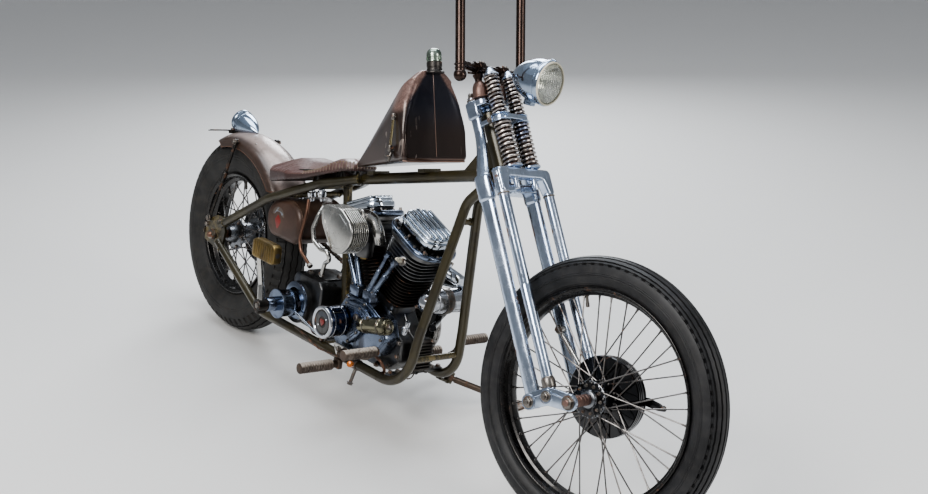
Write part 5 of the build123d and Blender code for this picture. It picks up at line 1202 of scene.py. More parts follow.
# gear case and pointed cam cover
m = Mesh()
gear = [(-98, -50), (-92, 40), (-52, 96), (40, 98), (118, 66), (140, 14), (100, -46), (20, -72), (-60, -74)]
G = RIGHT(820, 0, 258)
m.prism(fil2(gear, 16, 12), 46.5, 101, G, 5, 4)
m.prism(inset(fil2(gear, 16, 12), 1.0), 100, 107.8, G, 2.5, 3)
m.mat = 1
for x, z in ((-90, -42), (-86, 34), (-50, 88), (36, 90), (108, 60), (128, 14), (94, -40), (20, -64), (-54, -66)):
    m.mat = 0
    m.lathe([(0, 96), (8, 96), (8, 107.5), (7, 108.3), (0, 108.3)], G @ Matrix.Translation((x, z, 0)), 20)
    m.mat = 1
    m.cap_screw(G @ Matrix.Translation((x, z, 108.2)), 4.4, 4.0)
m.mat = 2
cam = [(-70, 46), (-30, 88), (40, 90), (92, 70), (36, -4), (-6, -40), (-62, -36)]
m.prism(fil2(cam, 12, 12), 108.9, 124, G, 3.2, 4)
inner = inset(fil2(cam, 12, 12), 9)
m.prism(inner, 123.6, 127.4, G, 1.8, 3)
m.tube([G @ Vector((x, y, 127.6)) for x, y in fil2([(x * 0.66 + 4, y * 0.66 + 12) for x, y in cam], 10, 14)], 1.6, 6, closed=True)
for x, z in ((-58, 40), (-28, 78), (36, 80), (78, 66), (-2, -30), (-54, -28), (32, 6)):
    m.mat = 1
    m.cap_screw(G @ Matrix.Translation((x, z, 123.8)), 4.4, 4.4)
m.hexn(G @ Matrix.Translation((28, 52, 127.2)), 9, 3.2, True, 0.8)
m.mat = 4
# chromed cylinder ahead of the cam cover
a, b = Vector((858, -112, 292)), Vector((972, -104, 318))
d = (b - a).normalized()
m.lathe([(0, 0), (20, 0), (23.6, 3), (24.5, 8), (24.5, 20), (23.2, 22), (24.5, 24), (24.5, 92), (23.2, 94), (24.5, 96), (24.5, 108), (22, 114), (16, 117), (0, 118)], at(a, d), 44)
m.mat = 1
m.acorn(at(a + d * 117, d), 7, 9)
for t in (26, 88):
    m.ring(a + d * t, d, 24.6, 1.4, 40, 6)
# oil lines with fittings under the case
m.mat = 3
m.tube(fillet([(700, -96, 226), (668, -100, 214), (646, -98, 186), (600, -92, 180), (560, -86, 200)], 26, 14), 5.2, 12)
m.tube(fillet([(902, -90, 214), (944, -92, 206), (962, -84, 178), (900, -80, 152), (800, -84, 140)], 24, 14), 4.6, 12)
m.mat = 1
for p, dd in (((700, -96, 226), (1, 0.2, 0.3)), ((902, -90, 214), (-1, 0, 0.2))):
    m.hexn(at(p, dd), 8.5, 9, False)
piece("gear_case_covers", m, BIKE, "chassis", [chrome_painted_dark_blue, bolt_steel, chrome_painted_dark_blue, copper, chrome_painted_gold_reflection], ["gear_case"])

# timer drum
m = Mesh()
D = RIGHT(781, 0, 280)
m.lathe([(0, 131.2), (44, 131.2), (45, 132.4), (45, 140), (43.4, 140.8), (43.4, 144.2), (45, 145), (45, 176), (43.4, 176.8), (43.4, 179.6), (45, 180.4), (45, 187), (44, 188.6), (0, 188.6)], D, 64)
m.mat = 1
for h in (142.5, 178.2):
    m.ring((781, -h, 280), YAX, 44.2, 1.5, 64, 8)
m.lathe([(37, 190.0), (46.2, 189.9), (48, 191.4), (48, 194.6), (46.8, 196.6), (43, 197.9), (39, 197.6), (37, 196)], D, 72, closed=True)
m.mat = 2
m.lathe([(0, 190), (38, 190), (38, 194.4), (0, 194.4)], D, 56)
m.mat = 3
m.lathe([(17, 194), (31, 194), (31.6, 194.6), (31.6, 195.2), (17, 195.2)], D, 56, closed=True)
m.mat = 4
m.prism(fil2([(-9, 9), (9, 9), (11, -1), (0, -12), (-11, -1)], 3, 20), 194.2, 196.4, D, 0.8, 2)
m.mat = 1
for k in range(2):
    a = pi * k + 0.6
    m.cap_screw(D @ Matrix.Translation((22 * cos(a), 22 * sin(a), 194.4)), 3.0, 2.6)
# clip springs down the side
for a in (0.9, 0.9 + pi):
    m.tube([D @ Vector((46 * cos(a), 46 * sin(a), h)) for h in (150, 160, 172, 186)], 1.5, 6)
piece("timer_drum_turned", m, BIKE, "chassis", [blue_drum, engine_chrome, dark_steel, case_alloy, dull_red], ["timer_drum"])

# pushrod tubes and tappet blocks
m = Mesh()
for x in (788, 852):
    m.mat = 0
    m.box((43.6, 31.6, 30), Matrix.Translation((x, -88, 372)), 3.0, 5)
    m.mat = 1
    for dx in (-15, 15):
        for dy in (-10, 10):
            m.cap_screw(at((x + dx, -88 + dy, 386.6), (0, 0, 1)), 3.2, 3.6)
for x0, x1, z1 in ((778, 700, 500), (800, 736, 514), (840, 904, 514), (862, 940, 500)):
    a, b = Vector((x0, -86, 384)), Vector((x1, -84, z1))
    L, d = (b - a).length, (b - a).normalized()
    q = at(a, d)
    m.mat = 0
    m.lathe([(0, 0), (12.4, 0), (12.8, 1), (12.8, 5), (11, 7), (9.6, 8), (9.6, 18), (10.6, 19), (10.6, 22), (9.2, 23), (9.2, L * 0.52), (10.2, L * 0.53), (10.2, L * 0.56), (7.6, L * 0.58),
             (7.6, L - 16), (9.8, L - 15), (10.6, L - 12), (10.6, L - 3), (9, L), (0, L)], q, 28)
piece("pushrod_tubes_sleeved", m, BIKE, "chassis", [chrome_painted_dark_blue, bolt_steel], ["pushrod_tubes"])

# carburettor, manifold and the polished teardrop air cleaner
m = Mesh()
m.cyl((792, -125, 545), (792, -59, 545), 24, 40, 3)
m.cyl((792, -84, 474), (792, -84, 523), 25.6, 40, 4)
m.box((44, 30, 16), Matrix.Translation((792, -84, 524)), 3)
m.cyl((792, -58, 552), (792, 20, 552), 17, 32, 1)
for s in (-1, 1):
    m.tube(fillet([(792, 8, 552), (792 + s * 26, 8, 546), (792 + s * 47, 8, 522)], 20, 14), 15, 24)
m.mat = 1
m.hexn(at((792, -84, 474.5), (0, 0, -1)), 11, 8, False)
for dx in (-17, 17):
    m.hexn(at((792 + dx, -60, 545), (0, 1, 0)), 5.5, 4)
    m.cap_screw(at((792 + dx, -84, 532), (0, 0, 1)), 3.4, 4)
m.mat = 2
m.tube(fillet([(770, -84, 500), (742, -90, 492), (716, -92, 470), (690, -88, 470), (660, -80, 500), (660, -30, 560)], 18, 14), 3.4, 10)
piece("carburettor_castings", m, BIKE, "chassis", [case_alloy, brass, black_rubber], ["carburettor"])

m = Mesh()
tear = [(700, 614), (800, 618), (862, 582), (862, 528), (818, 488), (770, 490), (712, 560)]
tf = fil2(tear, [26, 40, 90, 90, 90, 90, 60], 7)
W = RIGHT(0, 0, 0)
m.prism(tf, 183, 191.8, W, 3.6, 4)
m.prism(inset(tf, 6), 130.2, 184, W, 1.0, 2)
# stacked fins round the edge
for k in range(8):
    m.prism(tf, 130.4 + k * 6.6, 133.6 + k * 6.6, W, 1.3, 2)
face = inset(tf, 9)
m.prism(face, 191.0, 192.0, W, 0.6, 2)
m.tube([W @ Vector((x, z, 191.6)) for x, z in inset(tf, 15)], 0.9, 6, closed=True)
m.mat = 1
for x, z in ((838, 556), (776, 504), (728, 598)):
    m.lathe([(0, 191.0), (7.4, 191.0), (7.4, 193.4 - 1.6), (6.4, 191.95), (0, 191.95)], W @ Matrix.Translation((x, z, 0)), 24)
m.mat = 0
# chrome elbow from the cleaner forward over the carburettor
m.tube(fillet([(806, -132, 600), (806, -108, 604), (826, -90, 590), (846, -84, 556), (838, -70, 530)], 22, 12), 17.5, 28)
m.ring((806, -128, 601), YAX, 18, 2.4, 32, 8)
piece("air_cleaner_ribbed", m, BIKE, "chassis", [polished, bolt_steel], ["air_cleaner"])

# oil lines and banjo fittings between the oil tank and the rear head
m = Mesh()
for x, z in ((462, 583), (516, 596)):
    m.lathe([(0, -24), (7, -24), (7.4, -22), (7.4, -10), (12.5, -9), (13.4, -7), (13.4, 6), (12, 8), (9.6, 9), (9.6, 14), (8.6, 16), (0, 17)], at((x, -64, z), (0.1, -0.25, 1)), 28)
    m.mat = 1
    m.hexn(at((x, -64, z - 14), (0, 0, 1)), 11.5, 8, False)
    m.mat = 0
m.mat = 2
m.tube(fillet([(468, -76, 566), (474, -82, 524), (464, -84, 470), (456, -84, 436), (470, -84, 402), (520, -82, 372)], 26, 12), 5.6, 14)
m.mat = 3
m.tube(fillet([(560, -78, 572), (572, -104, 548), (560, -112, 500), (574, -112, 462), (606, -108, 446), (640, -106, 448), (650, -100, 424), (618, -94, 404), (602, -90, 360)], 24, 12), 6.6, 14)
m.mat = 1
for p, d in (((560, -78, 572), (0.4, -0.8, -0.8)), ((602, -90, 362), (0, 0, 1)), ((520, -82, 372), (1, 0, -0.5))):
    m.hexn(at(p, d), 9, 10, False)
piece("oil_lines", m, BIKE, "chassis", [engine_chrome, bolt_steel, copper, polished])

# exhausts: two pipes with flanges, clamps and sliced ends
m = Mesh()
p1 = fillet([(1003, 44, 486), (1036, 62, 470), (1012, 136, 436), (880, 138, 418), (150, 150, 414)], [0, 22, 50, 90, 0], 7)
p2 = fillet([(632, 44, 480), (602, 74, 474), (566, 146, 462), (470, 149, 458), (230, 150, 458)], [0, 22, 50, 60, 0], 7)
for route in (p1, p2):
    m.tube(route, 18, 28, caps=False)
    d = (route[-1] - route[-2]).normalized()
    m.lathe([(15.6, -90), (15.6, -0.4), (16.8, 0), (18, -0.4)], at(route[-1], d), 28)
    m.lathe([(0, -88), (15.6, -88)], at(route[-1], d), 28)
    e = (route[1] - route[0]).normalized()
    m.lathe([(15, 3), (24, 3), (25, 4), (25, 9), (24, 10), (18, 11)], at(route[0], e), 32)
    m.mat = 1
    x_ = e.orthogonal().normalized()
    for sg in (-1, 1):
        q = route[0] + e * 6 + (x_ * 31 * sg)
        m.tube([route[0] + e * 6.5 + x_ * 22 * sg, q], 5, 10)
    m.mat = 0
m.mat = 1
for x in (300, 520):
    m.tube([(x, 150, 414), (x, 150, 458)], 6, 12)
    for z in (414, 458):
        m.lathe([(18.2, -7), (19.6, -7), (20, -6), (20, 6), (19.6, 7), (18.2, 7)], at((x, 150 if x < 400 else 146, z), (1, 0, 0)), 32, closed=True)
piece("exhaust_tubes", m, BIKE, "chassis", [chrome, bolt_steel], ["exhaust_pipes"])

# generator: domed end, through bolts, strap
m = Mesh()
gx, gz = 1012, 396
m.lathe([(36 * sin(pi / 2 * k / 12), -2 - 36 * cos(pi / 2 * k / 12)) for k in range(13)] + [(36, 6), (34.4, 7), (34.4, 10), (36, 11), (36, 92), (34.4, 93), (34.4, 96), (36, 97), (36, 106), (34, 110), (0, 110)], at((gx, 0, gz), YAX), 56)
m.mat = 1
for k in range(2):
    a = 0.7 + pi * k
    m.hexn(at((gx + 26 * cos(a), -28, gz + 26 * sin(a)), (0.3 * cos(a), -1, 0.3 * sin(a))), 5.2, 6)
m.lathe([(36.1, 40), (38, 40), (38.4, 41), (38.4, 61), (38, 62), (36.1, 62)], at((gx, 0, gz), YAX), 56, closed=True)
m.mat = 2
m.prism(fil2([(934, 330), (996, 364), (1024, 364), (970, 302)], 6, 20), -68, -42, RIGHT(0, 0, 0), 2)
m.mat = 3
m.tube(fillet([(1000, 60, 362), (1010, 40, 334), (1046, -10, 330), (1076, -34, 344)], 16, 14), 9.5, 18)
m.ring((1078, -35.5, 345), (0.75, -0.6, 0.35), 9.4, 1.6, 24, 8)
m.mat = 0
m.lathe([(0, 0), (7, 0), (8.4, 3), (8.4, 12), (10.6, 14), (10.6, 24), (8, 26), (8, 36), (6, 42), (0, 43)], at((992, -62, 300), (0.25, 0.0, 1)), 24)
piece("generator_drum", m, BIKE, "chassis", [engine_chrome, bolt_steel, case_alloy, black_gloss], ["generator"])

# finned regulator box
m = Mesh()
m.box((26, 61.6, 91.6), Matrix.Translation((1003.2, 0, 238)), 3)
for k in range(9):
    m.box((13.5, 58, 3.2), Matrix.Translation((1019.0, 0, 202 + k * 9)), 0.9)
m.mat = 1
for y in (-24, 24):
    m.hexn(at((1016, y, 279), (1, 0, 0)), 5.4, 5)
m.mat = 2
for y, z in ((-20, 195), (0, 194), (18, 195)):
    m.tube(fillet([(1004, y, 196), (1004, y, 184), (996, y * 2.2, 176), (970, y * 2.6 - 10, 178)], 8, 20), 2.6, 8)
piece("regulator_finned", m, BIKE, "chassis", [dark_steel, bolt_steel, olive_wire], ["voltage_regulator"])

# gearbox with the kicker drum, clutch disc edge and linkage rod
m = Mesh()
m.prism(fil2([(-80, -78), (80, -78), (80, 60), (60, 78), (-66, 78), (-80, 60)], 14, 12), -74.6, 74.6, RIGHT(512, 0, 252), 8, 4)
for y in (-50, -20, 12, 44):
    m.tube([(436, y, 322), (500, y, 331.5), (590, y, 322)], 2.6, 8)
m.prism(rect(120, 90, 16, 14), 330, 335, at((512, 0, 0), (0, 0, 1)), 2)
K = RIGHT(480, 0, 240)
m.lathe([(0, 75.2), (66, 75.2), (66, 88), (63, 91.8), (44, 91.8)], K, 56)
m.mat = 1
m.lathe([(40, 90), (42, 92), (42, 116), (40.6, 117), (40.6, 121), (42, 122), (42, 148), (40, 150), (0, 150)], K, 56)
m.lathe([(30, 149.6), (45, 150), (46, 151), (46, 158.6), (44, 160), (22, 160), (22, 192), (20, 196), (0, 196)], K, 56)
# large bright cover behind the kicker drum
m.lathe([(0, 92), (56, 92), (60, 94), (61, 98), (60, 101), (56, 103), (42, 104)], RIGHT(494, 0, 250), 64)
m.mat = 2
for k in range(6):
    a = pi / 3 * k + 0.3
    m.cap_screw(K @ Matrix.Translation((54 * cos(a), 54 * sin(a), 91.8)), 4.4, 4.4)
m.hexn(at((512, -64, 342), (0, 0, 1)), 9, 7)
m.lathe([(0, 334), (15, 334), (15, 342), (12, 345), (0, 345)], at((556, 20, 0)), 24)
m.mat = 3
m.tube(fillet([(452, -110, 245), (520, -118, 226), (673, -112, 187)], 80, 10), 4.2, 12)
m.cyl((446, -112, 246), (458, -108, 242), 7.5, 16)
m.mat = 2
m.hexn(at((673, -104, 187), (0, -1, 0)), 8.5, 12)
m.mat = 0
m.lathe([(0, 75.3), (24, 75.3), (24, 92.8), (57.3, 93), (57.3, 98.8), (0, 98.8)], at((512, 0, 272), YAX), 48)
piece("gearbox_castings", m, BIKE, "chassis", [case_alloy, chrome_painted_dark_blue, bolt_steel, chrome], ["transmission"])

# kick starter: splined clamp, swept arm and a worn brass pedal block
m = Mesh()
m.lathe([(11, 196.6), (18, 196.6), (19, 198), (19, 229), (18, 230.2), (11, 230.2)], K, 36, closed=True)
m.box((18, 30, 16), at((480, -213, 222), (0, 0, 1)), 3)
m.mat = 1
arm = fillet([(480, -213, 238), (470, -214, 300), (468, -226, 372), (472, -236, 424)], 60, 8)
m.tube(arm, [13] + [10.5] * 2 + [9.2] * (len(arm) - 4) + [9.6], 18)
m.ball((472, -236, 424), 12, 20)
m.mat = 2
pts = [(-61, -26), (-50, -29.6), (50, -29.6), (61.6, -24), (61.6, 22), (50, 29.6), (-44, 29.6), (-61, 22)]
m.prism(fil2(pts, 8, 18), -14.4, 14.4, at((528, -245, 426), (0, -1, 0), (1, 0, 0)), 4, 3)
for k in range(-4, 5):
    m.tube([(528 + k * 12, -259.0, 404), (528 + k * 12, -259.6, 448)], 2.2, 8)
m.mat = 3
m.hexn(at((482, -199 - 31.4, 240), (0, -1, 0)), 10, 0.5, False, 0.2)
m.hexn(at((590, -245, 426), (1, 0, 0)), 8.5, 0.2, False, 0.1)
piece("kick_arm_and_pedal", m, BIKE, "chassis", [dark_steel, polished, brass, bolt_steel], ["kick_starter"])

# oil tank: rolled edges, seams and a generic diamond badge
m = Mesh()
oil = [(262, 440), (262, 492), (306, 538), (400, 546), (456, 512), (456, 436), (426, 410), (292, 410)]


def clear_of_tyre(poly):
    out = []
    for x, z in poly:
        r = math.hypot(x, z - 335)
        if r < 352.5:
            k = 352.5 / r
            x, z = x * k, 335 + (z - 335) * k
        out.append((x, z))
    return out


def dense(poly, step):
    out = []
    for i, p in enumerate(poly):
        q = poly[(i + 1) % len(poly)]
        n = max(1, int(math.dist(p, q) / step))
        out += [(p[0] + (q[0] - p[0]) * k / n, p[1] + (q[1] - p[1]) * k / n) for k in range(n)]
    return out


ring_full = fil2(oil, [36, 84, 78, 102, 56, 26, 24, 30], 7)
mid = clear_of_tyre(dense(ring_full, 14))
rings = []
for y, d, near in [(-91.8, 17, 1), (-91.0, 11.5, 1), (-88.6, 6.6, 1), (-85, 3.0, 1), (-82, 1.0, 1), (-79, 0, 1), (-78.4, 0, 0), (0, 0, 0), (78.4, 0, 0), (79, 0, 1), (82, 1.0, 1), (85, 3.0, 1), (88.6, 6.6, 1), (91.0, 11.5, 1), (91.8, 17, 1)]:
    base = dense(ring_full, 14) if near else mid
    o = inset(base, d) if d else base
    rings.append([(x, y, z) for x, z in o])
m.rings(rings, cap0=True, cap1=True)
m.mat = 1
for y in (-79, 79):
    m.tube([(x, y, z) for x, z in inset(dense(ring_full, 14), 0.9)], 1.5, 6, closed=True)
m.mat = 2
P = RIGHT(333, 0, 474)
# generic badge: a pale arch over a red lozenge
m.prism([(34 * cos(t), 8 + 28 * sin(t)) for t in (pi * k / 20 for k in range(21))] + [(20 * cos(t), 8 + 13 * sin(t)) for t in (pi * k / 20 for k in range(20, -1, -1))], 91.4, 91.95, P)
m.mat = 3
m.prism(fil2([(-18, -8), (0, 14), (18, -8), (0, -42)], 7, 20), 91.4, 91.95, P, 0.3, 2)
m.mat = 4
m.lathe([(0, 0), (17, 0), (17, 4), (15, 5), (15, 7), (20, 8), (21, 10), (21, 17), (19, 20), (0, 20.6)], at((352, -30, 541.5), (-0.08, 0, 1)), 36)
piece("oil_tank_shell", m, BIKE, "chassis", [oil_paint, oil_paint, pale_grey, dull_red, engine_chrome], ["oil_tank"])


# ================================================================ fuel tank and cap
N16 = math.radians(16)
TF_O, TR_O = Vector((958, 0, 787)), Vector((652, 0, 708))
TN, TH = Vector((cos(N16), 0, sin(N16))), Vector((-sin(N16), 0, cos(N16)))


def tank_outline(t, n_side=16):
    """Outline (lateral, height) between the front face and the tail, its corners rounded."""
    f = [(-119, 0), (-119, 180), (-84, 252)]
    r = [(-46, 0), (-46, 10), (-34, 20)]
    crown = (266, 24)
    pts = [((a[0] + (b[0] - a[0]) * t), (a[1] + (b[1] - a[1]) * t)) for a, b in zip(f, r)]
    top = crown[0] + (crown[1] - crown[0]) * t
    (x0, y0), (x1, y1), (x2, y2) = pts
    k = 1 - t * 0.72
    arc = arc3((x2, y2), (0, top), (-x2, y2), 14)
    poly = [(0, 0), (-x0, y0), (-x1, y1)] + arc[::-1] + [(x1, y1), (x0, y0)]
    out = []
    # uneven rounding, keyed to each corner
    radii = [0, 20 * k, 74 * k, 46 * k] + [0] * (len(arc) - 2) + [46 * k, 74 * k, 20 * k]
    return [(q.x, q.y) for q in fillet([(x, y, 0) for x, y in poly], radii, 6, True)]


def resample(poly, n):
    per = [0.0]
    for i in range(len(poly)):
        per.append(per[-1] + math.dist(poly[i], poly[(i + 1) % len(poly)]))
    out, i = [], 0
    for k in range(n):
        s = per[-1] * k / n
        while per[i + 1] < s:
            i += 1
        f = (s - per[i]) / max(per[i + 1] - per[i], 1e-9)
        p, q = poly[i], poly[(i + 1) % len(poly)]
        out.append((p[0] + (q[0] - p[0]) * f, p[1] + (q[1] - p[1]) * f))
    return out


NT = 180
span = (TR_O - TF_O)
L_tank = span.length
table = [resample(tank_outline(k / 40), NT) for k in range(41)]
unit = [(p[0] - q[0], p[1] - q[1]) for p, q in zip(inset(table[0], 1.0), table[0])]


def soft(v, a, b):
    v = min(max((v - a) / (b - a), 0.0), 1.0)
    return v * v * (3 - 2 * v)


# the front edge is rolled wide over the upper shoulders and tighter elsewhere
wide = [soft(abs(y), 34, 92) * soft(h, 80, 190) for y, h in table[0]]
deep, back = [14 + 26 * w for w in wide], [15 + 48 * w for w in wide]


def tank_point(j, depth, d):
    """Point j of the ring some way behind the front plane, inset by d."""
    t = min(max(depth / L_tank, 0.0), 1.0)
    k = min(int(t * 40), 39)
    f = t * 40 - k
    p, q = table[k][j], table[k + 1][j]
    y, h = p[0] + (q[0] - p[0]) * f + unit[j][0] * d, p[1] + (q[1] - p[1]) * f + unit[j][1] * d
    return TF_O.lerp(TR_O, t) + Vector((0, y, 0)) + TH * h


m = Mesh()
rings = []
for k in (0.02, 0.2, 0.4, 0.6, 0.8, 0.93):
    row = []
    for j, (y, h) in enumerate(table[0]):
        y, h = y + unit[j][0] * deep[j], h + unit[j][1] * deep[j]
        yy, hh = y * k, 128 + (h - 128) * k
        dish = 1.8 * sin(pi * min(abs(yy) / 104, 1)) ** 2 * sin(pi * min(max(hh / 262, 0), 1))
        row.append(TF_O + Vector((0, yy, 0)) + TH * hh - TN * (dish + 0.2))
    rings.append(row)
for k in range(0, 10):
    a = pi / 2 * k / 9
    rings.append([tank_point(j, back[j] * (1 - cos(a)), deep[j] * (1 - sin(a))) for j in range(NT)])
for k in range(1, 31):
    rings.append([tank_point(j, back[j] + (L_tank - back[j] - 6) * k / 30, 0) for j in range(NT)])
for k in range(1, 5):
    a = pi / 2 * k / 4
    rings.append([tank_point(j, L_tank - 6 + 6 * sin(a), 6 * (1 - cos(a))) for j in range(NT)])
m.rings(rings, cap0=True, cap1=True)
# folded seam down the front face, rolled lip along the bottom edge
m.mat = 1
m.tube([TF_O + TH * h - TN * 0.9 for h in (16, 60, 120, 180, 240, 250)], 1.8, 8, flat=0.7, up=(0, 1, 0))
lip = [TF_O + Vector((0, y, 0)) + TH * 3.0 - TN * 3.4 for y in (-104, -60, 0, 60, 104)]
m.tube([TF_O + Vector((0, -112, 0)) + TH * 5 - TN * 12] + lip + [TF_O + Vector((0, 112, 0)) + TH * 5 - TN * 12], 2.6, 8)
piece("fuel_tank_shell", m, BIKE, "chassis", [tank_mat, tank_mat], ["fuel_tank"], 26)

m = Mesh()
C0, CD = Vector((893, 0, 1036)), Vector((-0.2756, 0, 0.9613)).normalized()
m.lathe([(0, -9), (26, -9), (27.5, -8), (27, -5), (23, -2.6), (21.8, 0), (21.8, 4), (20.4, 5.4), (20.4, 8), (21.8, 9.4), (21.8, 22), (20.4, 23.4), (0, 23.4)], at(C0, CD), 56)
m.mat = 1
K2 = at(C0 + CD * 23.6, CD)
m.lathe([(0, 0), (20.4, 0), (21.4, 1), (21.4, 4), (20.2, 5.2), (20.2, 13.4), (21.4, 14.6), (21.4, 20), (20.8, 25), (18.6, 30.4), (14.6, 34.4), (9, 36.9), (4, 37.7), (0, 37.8)], K2, 64)
for k in range(26):
    a = 2 * pi * k / 26
    m.tube([K2 @ Vector((20.3 * cos(a), 20.3 * sin(a), z)) for z in (5.2, 13.4)], 1.15, 6)
# sight tube and tap on the right side
m.mat = 2
top, low = Vector((884, -115.5, 900)), Vector((887, -116.5, 812))
m.tube([top, top.lerp(low, 0.5), low], 3.6, 14)
m.mat = 3
for p in (top, low):
    m.lathe([(0, -9), (5.2, -9), (6.2, -7), (6.2, 7), (5.2, 9), (0, 9)], at(p, low - top), 20)
    m.hexn(at(p + Vector((0, 9, 0)), (0, -1, 0)), 7, 8, False)
m.cyl(low + Vector((0, 8, -8)), low + Vector((0, 0, -36)), 5, 16)
m.cyl(low + Vector((-16, -1, -22)), low + Vector((4, -1, -24)), 3, 12)
piece("fuel_cap_turned", m, BIKE, "chassis", [dark_steel, cap_chrome, tube_glass, bolt_steel], ["fuel_cap"])


# ================================================================ seat
SP = Matrix.Translation((455, 0, 654)) @ Matrix((Vector((1, 0, 0.2)).normalized(), Vector((0, 1, 0)), Vector((-0.2, 0, 1)).normalized())).transposed().to_4x4()
SEAT = Matrix.Translation((453.9, 0, 659.6)) @ SP.to_3x3().to_4x4()
seat_line = [(-199, -104), (-205, 0), (-199, 104), (-60, 128), (112, 80), (183, 47), (188, 0), (183, -47), (112, -80), (-60, -128)]
seat_round = fil2(seat_line, 26, 8)
m = Mesh()
m.prism(fil2([(-182, -88), (-187, 0), (-182, 88), (-58, 109), (104, 63), (166, 33.5), (170, 0), (166, -33.5), (104, -63), (-58, -109)], 22, 10), 0.2, 4.8, SP, 1.6, 2)
for s in (-1, 1):
    m.cyl((452, s * 50, 612), (452, s * 50, 655), 7.6, 20)
    m.cyl((554, s * 36, 650), (554, s * 36, 675), 7.6, 20)
for x, y in ((-150, 60), (-150, -60), (120, 0)):
    m.hexn(SP @ Matrix.Translation((x, y, -0.2)) @ R(180, "X"), 6, 5)
piece("seat_pan_pressed", m, BIKE, "chassis", dark_steel, ["seat_pan"])


def hang(u):
    """How far the rolled edge hangs below the seat's base plane."""
    return float(np.interp(u, (-240, 0, 150, 240), (-47, -32, -6, -4)))


def droop(u, v):
    """The leather falls away towards both sides."""
    half = float(np.interp(u, (-205, -60, 112, 183), (104, 128, 80, 47)))
    return float(np.interp(u, (-205, -160, 0, 90, 150), (13, 15, 19, 9, 0))) * min(abs(v) / half, 1.0) ** 2


